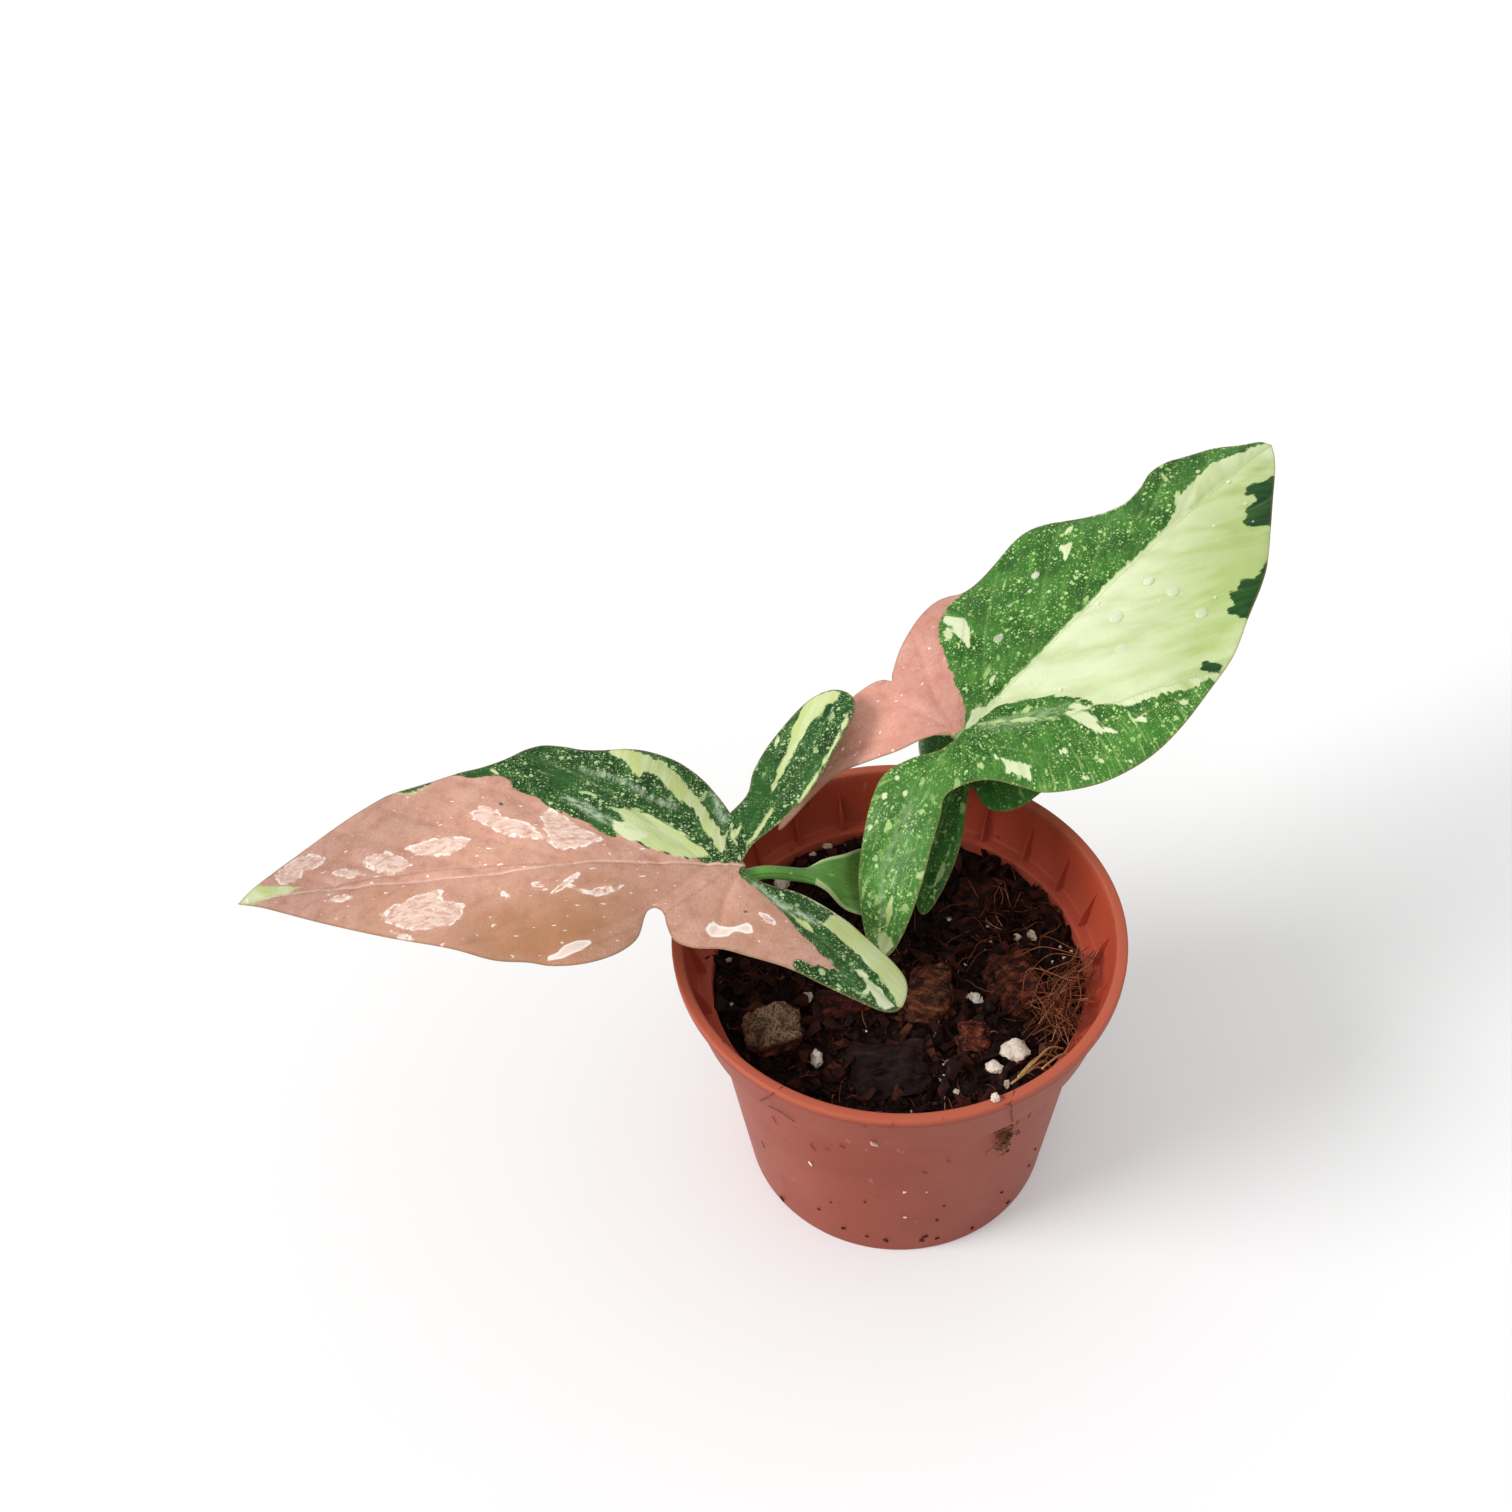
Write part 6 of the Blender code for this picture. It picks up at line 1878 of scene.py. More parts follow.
@dataclass(frozen=True)
class Lump:
    """A lump of bark: its middle on the soil, top height, size, turn, lean, seed and skin."""
    number: int
    x: float
    y: float
    top: float
    size: tuple
    turn: float
    lean: float
    colour: str
    light: str
    cap: str | None = None

    def build(self) -> None:
        """Build the lump from a cut-up block with roughened, fibrous faces."""
        draw = random.Random(10 + self.number)
        shape = bmesh.new()
        bmesh.ops.create_cube(shape, size=1)
        bmesh.ops.subdivide_edges(shape, edges=shape.edges, cuts=2, use_grid_fill=True)
        for vert in shape.verts:
            ball = vert.co.normalized() * 0.6
            jitter = draw.uniform(0.86, 1.12)
            vert.co = vert.co.lerp(ball, 0.62) * jitter
            vert.co = Vector(a * b for a, b in zip(vert.co, self.size))
        turn = (Matrix.Rotation(math.radians(self.turn), 3, "Z")
                @ Matrix.Rotation(math.radians(self.lean), 3, "X"))
        highest = max((turn @ vert.co).z for vert in shape.verts)
        bmesh.ops.subdivide_edges(shape, edges=shape.edges, cuts=6, use_grid_fill=True, smooth=0.5)
        shape.normal_update()
        own, moved = [], []
        seed = self.number * 17.0
        for vert in shape.verts:
            x, y, z = vert.co
            layers = noise.noise(Vector((x * 0.12 + seed, y * 0.75, z * 0.75)))
            crust = noise.noise(Vector((x * 0.45, y * 0.6 + seed, z * 0.6)))
            grit = noise.noise(Vector((x * 1.6, y * 1.9, z * 1.9 + seed)))
            step = 0.9 * layers + 0.55 * crust + 0.25 * grit - 0.15
            own.append((x + seed, y, z))
            moved.append(vert.co + vert.normal * step)
        for vert, spot in zip(shape.verts, moved):
            vert.co = (turn @ spot + Vector((self.x, self.y, self.top - highest))) * MM
        skin = BarkSkin(f"pine_bark_{self.number}", self.colour, self.light, self.cap)
        mesh = end_shape(shape, f"bark_{self.number}", skin.material())
        keep(mesh, "own", np.array(own))
        smooth_faces(mesh, 38)
        join_frame(add_object(mesh.name, mesh), "bark", f"bark_chunk_{self.number}")


LUMPS = (
    Lump(1, -23.2, -10.8, 52.0, (10, 9, 12), 20, 12, "#4a2014", "#7c4630", "#94755b"),
    Lump(2, 5.0, -5.2, 51.0, (8, 11.5, 10.5), -15, -8, "#552a1a", "#8d5a3d"),
    Lump(3, -9.2, -5.0, 49.5, (11, 6, 8), 8, 10, "#401510", "#6e2c20"),
    Lump(4, -3.5, -20.5, 50.0, (15.5, 11.5, 11), 5, 6, "#241615", "#3c2a28"),
    Lump(5, 21.5, -3.8, 51.5, (10, 13, 12.5), 25, -6, "#4f2115", "#864a31"),
    Lump(6, 12.0, -14.8, 49.8, (5.5, 6, 7), -20, 8, "#5a271a", "#8c4e36"),
    Lump(7, -23.0, 8.0, 49.5, (9, 8, 9), 35, -8, "#301409", "#52291b"),
    Lump(8, 17.5, 17.5, 48.8, (9, 11, 9), -30, 8, "#32150c", "#572d1d"),
)


def scatter_tree() -> NodeTree:
    """Build the tree that strews copies of a few pieces over a surface where it is open.

    Returns:
        The tree.
    """
    tree, given = new_tree("strewn_bits", {
        "Density": "NodeSocketFloat", "Seed": "NodeSocketInt", "Smallest": "NodeSocketFloat",
        "Largest": "NodeSocketFloat", "Tilt": "NodeSocketFloat", "Lift": "NodeSocketFloat",
        "Pieces": "NodeSocketCollection", "Finish": "NodeSocketMaterial"})
    room = add_node(tree, "GeometryNodeInputNamedAttribute", {"Name": "open"}, data_type="FLOAT")
    density = add_node(tree, MATH, {0: given["Density"], 1: room}, operation="MULTIPLY")
    seed = given["Seed"]
    points = add_node(tree, "GeometryNodeDistributePointsOnFaces", {
        "Mesh": given["Geometry"], "Density": density, "Seed": seed})
    size = add_node(tree, "FunctionNodeRandomValue", {
        "Min": given["Smallest"], "Max": given["Largest"], "Seed": seed}, data_type="FLOAT")
    back = add_node(tree, MATH, {0: given["Tilt"], 1: -1.0}, operation="MULTIPLY")
    low = add_node(tree, "ShaderNodeCombineXYZ", {0: back, 1: back})
    high = add_node(tree, "ShaderNodeCombineXYZ", {0: given["Tilt"],
                                                   1: given["Tilt"], 2: 2 * math.pi})
    turn = add_node(tree, "FunctionNodeRandomValue", {"Min": low, "Max": high, "Seed": seed},
                    data_type="FLOAT_VECTOR")
    pieces = add_node(tree, "GeometryNodeCollectionInfo", {
        "Collection": given["Pieces"], "Separate Children": True, "Reset Children": True})
    copies = add_node(tree, "GeometryNodeInstanceOnPoints", {
        "Points": points.outputs["Points"], "Instance": pieces, "Pick Instance": True,
        "Rotation": turn, "Scale": size})
    rise = add_node(tree, MATH, {0: size, 1: given["Lift"]}, operation="MULTIPLY")
    moved = add_node(tree, "GeometryNodeTranslateInstances", {
        "Instances": copies, "Translation": add_node(tree, "ShaderNodeCombineXYZ", {2: rise}),
        "Local Space": False})
    tone = add_node(tree, "FunctionNodeRandomValue", {"Seed": 5}, data_type="FLOAT")
    toned = add_node(tree, "GeometryNodeStoreNamedAttribute", {
        "Geometry": moved, "Name": "draw", "Value": tone}, data_type="FLOAT", domain="INSTANCE")
    end_tree(tree, toned.outputs[0], given["Finish"])
    return tree


def strand_tree() -> NodeTree:
    """Build the tree that gives lines of corners a round, thin body.

    Returns:
        The tree.
    """
    tree, given = new_tree("strand_body", {"Radius": "NodeSocketFloat", "Sides": "NodeSocketInt",
                                           "Finish": "NodeSocketMaterial"})
    path = add_node(tree, "GeometryNodeMeshToCurve", {"Mesh": given["Geometry"]})
    ring = add_node(tree, "GeometryNodeCurvePrimitiveCircle", {
        "Resolution": given["Sides"], "Radius": given["Radius"]})
    body = add_node(tree, "GeometryNodeCurveToMesh", {
        "Curve": path, "Profile Curve": ring.outputs[0], "Fill Caps": True})
    end_tree(tree, body.outputs[0], given["Finish"])
    return tree


def strands(name: str, lines: list, radius: float, finish: Material, sides: int) -> Object:
    """Make thin round strands along lines.

    Args:
        name: The object's name.
        lines: Arrays of points, in millimetres.
        radius: The strands' radius, in millimetres.
        finish: Their material.
        sides: Faces around.

    Returns:
        The finished object.
    """
    spots, edges, draws = [], [], []
    tint = random.Random(3)
    for line in lines:
        start = len(spots)
        spots += (np.asarray(line) * MM).tolist()
        edges += [(start + i, start + i + 1) for i in range(len(line) - 1)]
        draws += [tint.random()] * len(line)
    mesh = bpy.data.meshes.new(name)
    mesh.from_pydata(spots, edges, [])
    keep(mesh, "draw", np.array(draws))
    item = grow(name, mesh, strand_tree(), {"Radius": radius * MM, "Sides": sides,
                                            "Finish": finish})
    tidy_mesh(item.data, 0.000001, 60)
    return item


def hull_bits(name: str, count: int, shares: tuple, corners: int, seed: int,
              even: float = 0.0) -> Collection:
    """Make a few angular bits, a millimetre long, as the hulls of random corners.

    Args:
        name: The collection's name.
        count: How many bits.
        shares: Their length, width and thickness, in millimetres.
        corners: Corners drawn for each.
        seed: Seed of the draw.
        even: How far the corners are pushed to a ball, 0 to 1.

    Returns:
        The collection that holds them.
    """
    draw = random.Random(seed)
    group = bpy.data.collections.new(name)
    bpy.context.scene.collection.children.link(group)
    for index in range(count):
        shape = bmesh.new()
        for _ in range(corners):
            spot = Vector(draw.uniform(-0.5, 0.5) for _ in range(3))
            spot = spot.lerp(spot.normalized() * 0.5, even)
            shape.verts.new(Vector(a * b for a, b in zip(spot, shares)) * MM)
        bmesh.ops.convex_hull(shape, input=shape.verts)
        bmesh.ops.delete(shape, geom=[v for v in shape.verts if not v.link_faces], context="VERTS")
        mesh = end_shape(shape, f"{name}_{index}")
        group.objects.link(bpy.data.objects.new(mesh.name, mesh))
    return group


@dataclass
class Bed:
    """The soil filling: a closed plug with a fine lumpy top, and all that lies on it."""
    edge: float = 33.15
    rim: float = 61
    bottom: float = 1.8
    foot: float = 27.3
    spacing: float = 0.6
    peat: PeatSkin = PeatSkin("wet_peat")
    chip_peat: PeatSkin = PeatSkin("wet_bark_fines", "#1c0d09", "#4a2014", "#7a4a36", 0.5, 0.7)
    coir: PeatSkin = PeatSkin("coir_fibre", "#5c2f1e", "#9a5c3e", "#c7a07c", 0.5, 0.9, 0.2)
    perlite: PerliteSkin = PerliteSkin()
    grains: tuple = (
        (18.7, -18.7, 4.9), (14.8, -21.4, 3.7), (-15.8, -17.2, 3.2), (-19.6, 23.4, 4.6),
        (12.0, -36.7, 1.7), (7.5, -25.8, 1.3), (13.5, -6.4, 2.4), (-16.4, -3.6, 2.4),
        (25.5, 6.5, 2.2),
        (-6.3, 28.0, 2.6), (8.5, 27.5, 3.0), (7.1, -5.7, 1.6), (12.7, -5.7, 1.5),
        (0.1, 4.4, 1.4), (-10.3, 31.3, 1.8), (22.9, 7.1, 1.6), (-21.4, -4.7, 1.5),
        (-30.3, 5.8, 1.6), (-6.3, 31.6, 1.4), (-13.2, 29.2, 1.5), (16.4, -24.6, 1.7),
        (-24, 16, 1.3))
    loose_fibres: int = 90
    tuft_fibres: int = 40
    leaning_fibres: int = 85
    fibre_radius: float = 0.09

    def height(self, x: float, y: float) -> float:
        """Return the fine height of the soil's top, in millimetres.

        Args:
            x: Where, across the pot.
            y: Where, along it.

        Returns:
            The height.
        """
        crumb = noise.noise(Vector((x / 1.5, y / 1.5, 11.0)))
        grit = noise.noise(Vector((x / 0.8, y / 0.8, 17.0)))
        clod = max(0.0, noise.noise(Vector((x / 4.2, y / 4.2, 23.0))))
        return soil_height(x, y) + 0.7 * crumb + 0.35 * grit + 1.4 * clod

    def plug(self) -> Object:
        """Build the plug, and keep on it where loose bits may lie.

        Returns:
            The plug, not yet joined to the frame.
        """
        gap = self.spacing
        rows = math.ceil(self.edge / gap / 0.866)
        grid = [((c + 0.5 * (r % 2)) * gap, r * gap * 0.866)
                for r in range(-rows, rows + 1) for c in range(-rows, rows + 1)]
        grid = [p for p in grid if math.hypot(*p) < self.edge - 0.6 * gap]
        around = round(2 * math.pi * self.edge / gap)
        ring = [(self.edge * math.cos(2 * math.pi * i / around),
                 self.edge * math.sin(2 * math.pi * i / around)) for i in range(around)]
        flat, _, faces, *_ = geometry.delaunay_2d_cdt(
            [Vector(p) for p in ring + grid], [], [list(range(around))], 1, 0.0001)
        spots = [(x, y, self.height(x, y)) for x, y in flat]
        count = len(spots)
        low = [(x / self.edge * self.foot, y / self.edge * self.foot, self.bottom) for x, y in ring]
        spots += low + [(0, 0, self.bottom)]
        faces = [tuple(face) for face in faces]
        for i in range(around):
            j = (i + 1) % around
            faces += [(i, j, count + j, count + i), (count + i, count + j, count + around)]
        mesh = bpy.data.meshes.new("soil_plug")
        mesh.from_pydata((np.array(spots) * MM).tolist(), [], faces)
        places = np.array(spots)
        reach = np.hypot(places[:, 0], places[:, 1])
        open_top = (places[:, 2] > 40) & (reach < self.edge - 0.4)
        keep(mesh, "open", open_top.astype(float))
        mesh.materials.append(self.peat.material())
        tidy_mesh(mesh, 0.0000001, 80)
        return add_object("soil_plug", mesh)

    def strew(self, name: str, ground: Object, pieces: Collection,
              finish: Material, values: dict) -> None:
        """Strew bits over the soil.

        Args:
            name: The finished object's name.
            ground: The soil.
            pieces: The bits to copy.
            finish: Their material.
            values: The scatter tree's sizes.
        """
        item = grow(name, ground.data.copy(), scatter_tree(),
                    {**values, "Pieces": pieces, "Finish": finish})
        for other in list(pieces.objects):
            bpy.data.objects.remove(other)
        bpy.data.collections.remove(pieces)
        join_frame(item, "potting_mix")

    def wisp(self, draw: random.Random, x: float, y: float, length: float,
             lift: float) -> np.ndarray:
        """Draw one bent fibre over the soil.

        Args:
            draw: The random draw.
            x: Where it starts.
            y: Where it starts.
            length: Its length.
            lift: How high its middle stands.

        Returns:
            Its points, in millimetres.
        """
        heading, points = draw.uniform(0, 2 * math.pi), []
        swing = draw.uniform(-0.22, 0.22)
        pieces = 9
        for index in range(pieces + 1):
            share = index / pieces
            rise = lift * math.sin(math.pi * share) - 0.3 * abs(2 * share - 1)
            reach = math.hypot(x, y)
            if reach > self.edge - 0.6:
                x, y = x * (self.edge - 0.6) / reach, y * (self.edge - 0.6) / reach
                heading += 1.3
            points.append((x, y, self.height(x, y) + 0.15 + rise))
            x += length / pieces * math.cos(heading)
            y += length / pieces * math.sin(heading)
            heading += swing + draw.uniform(-0.25, 0.25)
        return np.array(points)

    def fibres(self) -> None:
        """Lay coir fibres over the soil, thickest in the tuft at the right."""
        draw = random.Random(31)
        lines = []
        for _ in range(self.loose_fibres):
            reach, turn = 32 * math.sqrt(draw.random()), draw.uniform(0, 2 * math.pi)
            lines.append(self.wisp(draw, reach * math.cos(turn), reach * math.sin(turn),
                                   draw.uniform(3, 9), draw.uniform(0.2, 1.4)))
        for _ in range(self.tuft_fibres):
            lines.append(self.wisp(draw, draw.gauss(20, 4), draw.gauss(10, 4),
                                   draw.uniform(4, 10), draw.uniform(0.5, 2.5)))
        for _ in range(self.leaning_fibres):
            lines.append(self.leaning(draw))
        join_frame(strands("coir", lines, self.fibre_radius, self.coir.material(), 4),
                   "potting_mix")
        straw = PeatSkin("dry_straw", "#a87c4e", "#c9a878", "#d8c49c", 0.6, 0.8, 0)
        blades = [spline_run(points, 1.0) for points in (
            ((25.5, -22, 50), (22.6, -24.6, 55), (19.8, -28.2, 59), (17.2, -31.8, 61.2)),
            ((26.5, -20.5, 50.5), (23.2, -24, 56), (19.5, -29.5, 60.3), (16.2, -33.2, 61.9)),
            ((24, -24, 50), (22, -26.2, 55.5), (18.8, -30.6, 60), (15, -34.2, 61.6)),
            ((27.5, -22, 51), (24.3, -26.4, 57), (20.6, -31, 60.6)),
            ((23, -24.5, 50), (20.5, -28, 56.5), (18.2, -31.2, 60.2)))]
        join_frame(strands("straws", blades, 0.2, straw.material(), 6), "potting_mix")

    @staticmethod
    def leaning(draw: random.Random) -> np.ndarray:
        """Draw one fibre of the tuft that leans on the pot's wall at the right.

        Args:
            draw: The random draw.

        Returns:
            Its points, in millimetres.
        """
        turn, far = math.radians(draw.uniform(-40, -2)), draw.uniform(31.5, 35.8)
        start = np.array((draw.gauss(25, 2.8), draw.gauss(-11, 5), 48.5 + 2 * draw.random()))
        end = np.array((far * math.cos(turn), far * math.sin(turn), draw.uniform(50, 55.5)))
        sag = np.array([draw.uniform(-2.5, 2.5) for _ in range(3)]) + (0, 0, 1.2)
        return spline_run((start, start + 0.35 * (end - start) + sag,
                           start + 0.7 * (end - start) + 0.6 * sag[[1, 0, 2]], end), 1.2)

    def perlite_grains(self) -> None:
        """Set the white grains that stand out, each in its own place."""
        shape = bmesh.new()
        for index, (x, y, size) in enumerate(self.grains):
            draw = random.Random(40 + index)
            stretch = [draw.uniform(0.8, 1.1), draw.uniform(0.65, 0.95), draw.uniform(0.6, 0.9)]
            made = bmesh.ops.create_icosphere(shape, subdivisions=3, radius=0.5)["verts"]
            turn = Matrix.Rotation(draw.uniform(0, 6.28), 3, "Z")
            ground = self.height(x, y) if math.hypot(x, y) < self.edge else self.rim
            for vert in made:
                knob = noise.noise(vert.co * 3.1 + Vector((index * 9.0, 0, 0)))
                pit = noise.noise(vert.co * 8 + Vector((0, index * 5.0, 0)))
                spot = vert.co * (1 + 0.42 * knob + 0.14 * pit) * size
                spot = turn @ Vector(a * b for a, b in zip(spot, stretch))
                vert.co = (spot + Vector((x, y, ground + 0.28 * size))) * MM
        mesh = end_shape(shape, "perlite_grains", self.perlite.material())
        smooth_faces(mesh, 32)
        join_frame(add_object(mesh.name, mesh), "potting_mix")

    def build(self) -> None:
        """Build the soil with its chips, crumbs, perlite and fibres."""
        ground = self.plug()
        chips = self.chip_peat.material()
        self.strew("bark_chips", ground, hull_bits("chip", 8, (1.0, 0.62, 0.34), 9, 4), chips,
                   {"Density": 1.8e5, "Seed": 3, "Smallest": 1.3, "Largest": 5.6, "Tilt": 0.8,
                    "Lift": 0.0002})
        self.strew("crumbs", ground, hull_bits("crumb", 6, (1.0, 0.85, 0.7), 8, 5, 0.5), chips,
                   {"Density": 8.0e5, "Seed": 8, "Smallest": 0.4, "Largest": 1.3, "Tilt": 1.5,
                    "Lift": 0.0003})
        self.strew("perlite_crumbs", ground, hull_bits("grit", 6, (1.0, 0.85, 0.7), 14, 6, 0.7),
                   self.perlite.material(),
                   {"Density": 1.6e4, "Seed": 12, "Smallest": 0.4, "Largest": 1.2, "Tilt": 1.5,
                    "Lift": 0.0005})
        self.fibres()
        self.perlite_grains()
        join_frame(ground, "potting_mix", "soil")


@dataclass
class Litter:
    """Bits of wet soil stuck to the pot's outside, placed by angle and height, and hairs."""
    spots: tuple = (
        (-55.2, 11.9, 1.0), (-99.4, 4.7, 1.3), (-114.5, 6.4, 1.0), (-123.7, 10.5, 0.9),
        (-81.3, 12.4, 0.8), (-85.9, 4.3, 1.2), (-39.5, 17.5, 0.9), (-79.4, 18, 0.7),
        (-48.8, 3.3, 1.1), (-105.9, 5.4, 0.8), (-80.3, 4, 1.1), (-118.6, 16.1, 0.7),
        (-105.9, 20.6, 0.7), (-40.2, 11.9, 0.8), (-84.9, 5.6, 1.4), (-104, 58.2, 1.1),
        (-60, 38, 1.6), (-61, 35.5, 1.4), (-62.5, 40, 1.3), (-58.8, 31, 1.0), (-66, 3, 1.0),
        (-143, 2.2, 1.8))
    pale: tuple = ((-101.5, 50.2, 1.7), (-124, 29.5, 1.2), (-93, 26.2, 0.7), (-85.9, 25.5, 0.7),
                   (-92.6, 15.4, 0.8), (20, 21, 1.0), (110, 33, 0.9))
    hairs: tuple = (
        ((-125, 61.15), (-126.3, 60.5), (-127.5, 58.6), (-130.5, 54.5), (-134, 50.5)),
        ((-131, 51), (-128, 51.6), (-123, 50.4)),
        ((-70, 61.1), (-69, 60.5), (-68, 58.4), (-66.5, 54), (-65, 50), (-63.5, 46)),
        ((-72, 61.1), (-69.5, 60.8), (-66.5, 61.1)),
        ((-122.5, 38), (-121, 36)), ((-112.5, 42), (-111, 41)), ((-147, 22.5), (-146, 20.8)),
        ((-80.8, 37.2), (-79.6, 36.6)), ((-87.8, 34.2), (-86.4, 33.5)),
        ((-136, 40), (-134.8, 38.6)), ((-70, 46), (-66, 42.5), (-64.6, 39)),
        ((-54, 44), (-52.5, 41.5), (-53, 39.5)))
    hair_radius: float = 0.065
    clump_hairs: int = 46
    clump_turn: float = -62.5

    @staticmethod
    def wall(turn: float, height: float) -> tuple:
        """Return the spot on the pot's outside, in millimetres, and the way out of it.

        Args:
            turn: Angle about the pot's axis, in degrees.
            height: Height over the floor, in millimetres.

        Returns:
            The spot and the way out.
        """
        radius = np.interp(height, (0, 47.9, 48, 58.3, 58.5, 60.9, 61.1),
                           (29, 34.5, 37, 39, 40.1, 40.1, 38.3))
        way = Vector((math.cos(math.radians(turn)), math.sin(math.radians(turn)), 0))
        return way * float(radius) + Vector((0, 0, height)), way

    def flakes(self, name: str, places: tuple, finish: Material) -> None:
        """Stick small flat flakes to the wall.

        Args:
            name: The object's name.
            places: Angle, height and size of each.
            finish: Their material.
        """
        shape, draw = bmesh.new(), random.Random(77)
        for turn, height, size in places:
            spot, way = self.wall(turn, height)
            side = Vector((-way.y, way.x, 0))
            tops = []
            for _ in range(11):
                a, b, c = (draw.uniform(-0.5, 0.5) for _ in range(3))
                tops.append(shape.verts.new(
                    (spot + (side * a + Vector((0, 0, b)) * 0.9 + way * (0.3 * c + 0.1)) * size)
                    * MM))
            bmesh.ops.convex_hull(shape, input=tops)
        bmesh.ops.delete(shape, geom=[v for v in shape.verts if not v.link_faces], context="VERTS")
        join_frame(add_object(name, end_shape(shape, name, finish)), "potting_mix")

    def build(self) -> None:
        """Build the flakes, the hairs and the clump that hangs from the lip."""
        crust = PeatSkin("dried_soil_flakes", "#3a1a12", "#55291d", "#6b4130", 0.7)
        self.flakes("soil_flakes", self.spots, crust.material())
        self.flakes("pale_flakes", self.pale, PerliteSkin("perlite_dust", "#d8c3b0").material())
        hair = PeatSkin("loose_root_hair", "#4c2a1a", "#7e4f34", "#9a6c4c", 0.6, 0.8, 0)
        lines = []
        for run in self.hairs:
            spots = [self.wall(turn, height) for turn, height in run]
            lines.append(spline_run([spot + way * 0.15 for spot, way in spots], 1.0))
        draw = random.Random(12)
        for _ in range(self.clump_hairs):
            turn, height = draw.gauss(self.clump_turn, 2.0), draw.uniform(36, 47)
            spots = []
            for _ in range(5):
                spot, way = self.wall(turn, height)
                spots.append(spot + way * (0.2 + 0.9 * draw.random()))
                turn, height = turn + draw.uniform(-1.8, 1.8), height - draw.uniform(-0.6, 1.6)
            lines.append(spline_run(spots, 0.8))
        join_frame(strands("hairs_on_pot", lines, self.hair_radius, hair.material(), 5),
                   "potting_mix")


@dataclass(frozen=True)
class WaterSkin:
    """Clear water: a sharp reflection over a pale, half see-through bead whose pale colour is
    painted light that lightens the leaf under it.
    """
    name: str = "clear_water"
    # A pale colour at part cover: painted light in the beads.
    colour: str = "#f0f3dc"
    alpha: float = 0.38

    def material(self) -> Material:
        """Build the water's material.

        Returns:
            The finished material.
        """
        coats = Coats(self.name, self.colour, 0.03)
        coats.shader.inputs["Alpha"].default_value = self.alpha
        return coats.seal()


@dataclass
class Drops:
    """Beads of water that lie on the right leaf, flattened and drawn out downhill."""
    blade: Blade
    large: tuple = ((45.9, -10.1, 1.1), (35.5, -5.8, 1.2), (30.6, -11.1, 1.2),
                    (45.1, -17, 1.0), (45.2, -5.2, 0.8), (34.6, 12.1, 0.7), (51.9, 11.9, 0.6),
                    (51, 13.9, 0.6), (41.5, 8.5, 0.6), (19.9, 8, 0.9))
    small_count: int = 30
    flatness: float = 0.42

    def build(self) -> None:
        """Build the beads and put them into the frame."""
        draw = random.Random(5)
        places = list(self.large)
        places += [(draw.uniform(14, 76), draw.uniform(-17, 13), draw.uniform(0.2, 0.42))
                   for _ in range(self.small_count)]
        outline = np.vstack([spline_run(run, 1.0)[:-1] for run in self.blade.form.runs])
        spots = np.array([p[:2] for p in places])
        inside = inside_outline(spots, outline) & (line_distance(spots, outline, True)[0] > 2)
        shape = bmesh.new()
        for (x, y, size), keep in zip(places, inside):
            if not keep:
                continue
            local = np.array(((x, y, 0.3), (x + 1, y, 0.3), (x, y + 1, 0.3)))
            carried = self.blade.carry(local)
            middle = Vector(carried[0])
            ahead = (Vector(carried[1]) - middle).normalized()
            up = ahead.cross(Vector(carried[2]) - middle).normalized()
            axes = Matrix((ahead, up.cross(ahead), up)).transposed()
            made = bmesh.ops.create_icosphere(shape, subdivisions=3, radius=1)["verts"]
            for vert in made:
                spot = Vector((vert.co.x * size * 1.15, vert.co.y * size,
                               max(vert.co.z, -0.3) * size * self.flatness))
                spot.x *= 1.35 if vert.co.x > 0 else 0.85
                vert.co = middle + axes @ spot * MM
        mesh = end_shape(shape, "water_drops", WaterSkin().material())
        mesh.shade_smooth()
        join_frame(add_object(mesh.name, mesh), "green_cream_leaf")


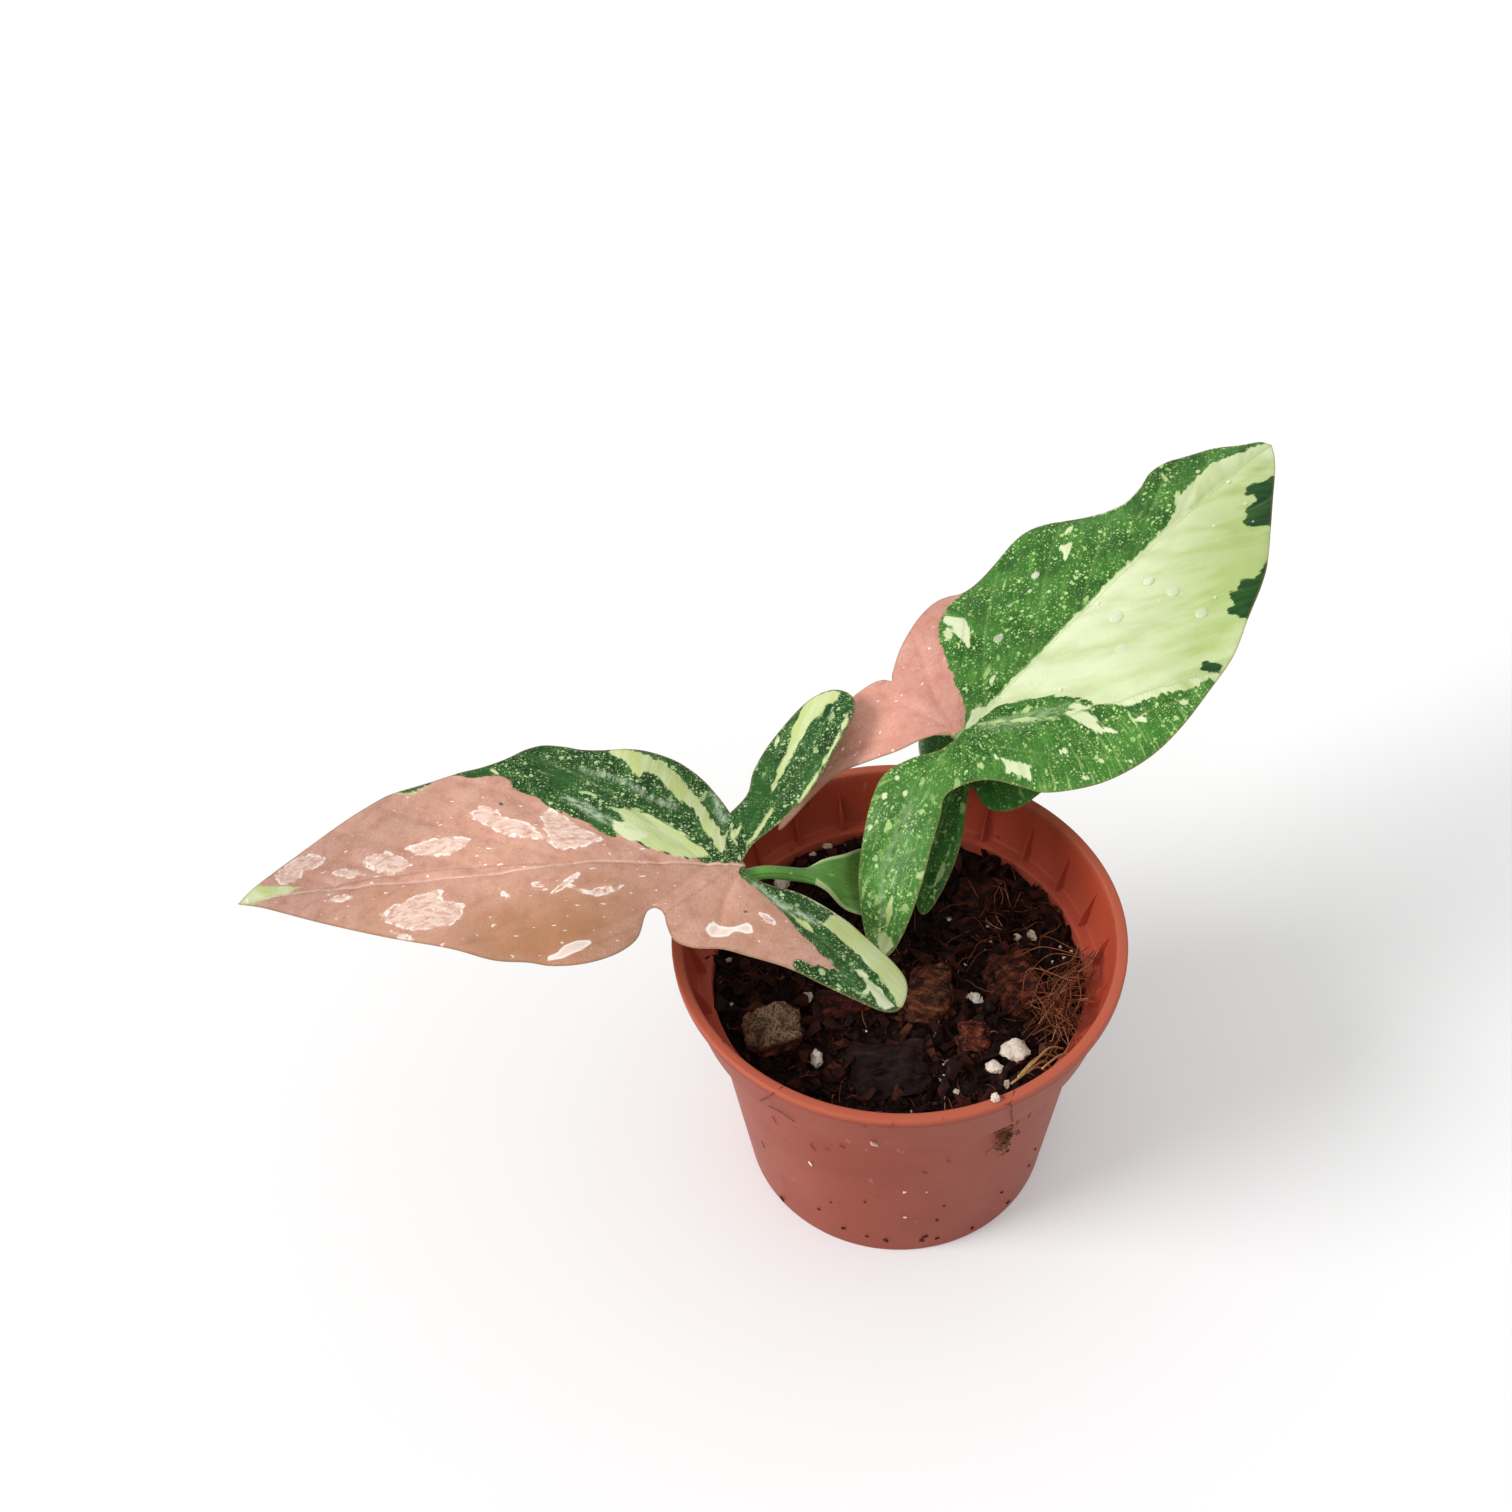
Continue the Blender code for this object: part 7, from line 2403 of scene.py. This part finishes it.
@dataclass
class Studio:
    """A white floor under an even pale sky, a broad light from the left, and the camera."""
    floor_half: float = 4.0
    board: str = "#dddddd"
    sky: float = 0.8
    sun: float = 2.5
    floor_glow: float = 0.14
    sun_spread: float = 28
    sun_rise: float = 34
    sun_way: tuple = (0.97, 0.25)
    lens: float = 36 * 1800 / 1512
    elevation: float = 45.7
    roll: float = -3.8
    distance: float = 433
    aim: tuple = (-22.9, 103.9, 0)

    def build(self) -> None:
        """Build the floor, the lights and the camera."""
        scene = bpy.context.scene
        scene.view_settings.view_transform = "Standard"
        half = self.floor_half
        mesh = bpy.data.meshes.new("floor")
        mesh.from_pydata([(-half, -half, 0), (half, -half, 0), (half, half, 0),
                          (-half, half, 0)], [], [(0, 1, 2, 3)])
        paper = Coats("matt_white_board", self.board, 0.9, 0.2)
        paper.shader.inputs["Emission Color"].default_value = (1, 1, 1, 1)
        paper.shader.inputs["Emission Strength"].default_value = self.floor_glow
        mesh.materials.append(paper.seal())
        floor = add_object("floor", mesh)
        world = bpy.data.worlds.new("pale_studio")
        world.use_nodes = True
        world.node_tree.nodes["Background"].inputs[0].default_value = (1, 1, 1, 1)
        world.node_tree.nodes["Background"].inputs[1].default_value = self.sky
        scene.world = world
        sun = bpy.data.lights.new("window", "SUN")
        sun.energy = self.sun
        sun.angle = math.radians(self.sun_spread)
        lamp = bpy.data.objects.new("window", sun)
        fall = Vector((*self.sun_way, 0)).normalized() * math.cos(math.radians(self.sun_rise))
        fall.z = -math.sin(math.radians(self.sun_rise))
        lamp.rotation_euler = fall.to_track_quat("-Z", "Y").to_euler()
        scene.collection.objects.link(lamp)
        self.camera()

    def camera(self) -> None:
        """Set the camera where the photograph was taken from."""
        lens = bpy.data.cameras.new("camera")
        lens.sensor_width, lens.lens = 36.0, self.lens
        lens.clip_start, lens.clip_end = 0.01, 50
        tilt, roll = math.radians(self.elevation), math.radians(self.roll)
        back = Vector((0, -math.cos(tilt), math.sin(tilt)))
        level = Vector((1, 0, 0))
        above = back.cross(level)
        right = math.cos(roll) * level + math.sin(roll) * above
        up = -math.sin(roll) * level + math.cos(roll) * above
        camera = bpy.data.objects.new("camera", lens)
        turn = Matrix((right, up, back)).transposed().to_4x4()
        place = (Vector(self.aim) + back * self.distance) * MM
        camera.matrix_world = Matrix.Translation(place) @ turn
        bpy.context.scene.collection.objects.link(camera)
        bpy.context.scene.camera = camera


def main() -> None:
    """Build every piece in order."""
    logging.basicConfig(level=logging.INFO, format="%(message)s")
    Studio().build()
    Pot().build()
    Bed().build()
    for lump in LUMPS:
        lump.build()
    Crown().build()
    pink = LeafSkin("pink_and_green_leaf", green="#27521f", deep="#14380f", bright="#447536",
                    fleck="#aec48c", pale="#b3c07d", silver="#a5b69a", pink="#bb8d7a",
                    pink_light="#c69b89", pink_deep="#a26d5b", tan="#a87446", fleck_share=0.8)
    green = LeafSkin("green_and_cream_leaf")
    young = LeafSkin("young_green_leaf", green="#3e7433", deep="#275a21", bright="#569643",
                     fleck_share=0.5)
    Blade(LEFT_LEAF, pink, LeafSkin("pink_leaf_underside", True), "leaf_left").build()
    right = Blade(RIGHT_LEAF, green, LeafSkin("green_leaf_underside", True), "leaf_right")
    right.build()
    Blade(YOUNG_LEAF, young, LeafSkin("young_leaf_underside", True), "leaf_young").build()
    Stalk("stalk_left", LEFT_LEAF, LEFT_STATIONS, "petiole_left").build()
    Stalk("stalk_right", RIGHT_LEAF, RIGHT_STATIONS, "petiole_right").build()
    Stalk("stalk_young", YOUNG_LEAF, YOUNG_STATIONS, "petiole_young").build()
    Drops(right).build()
    Litter().build()


if __name__ == "__main__":
    main()
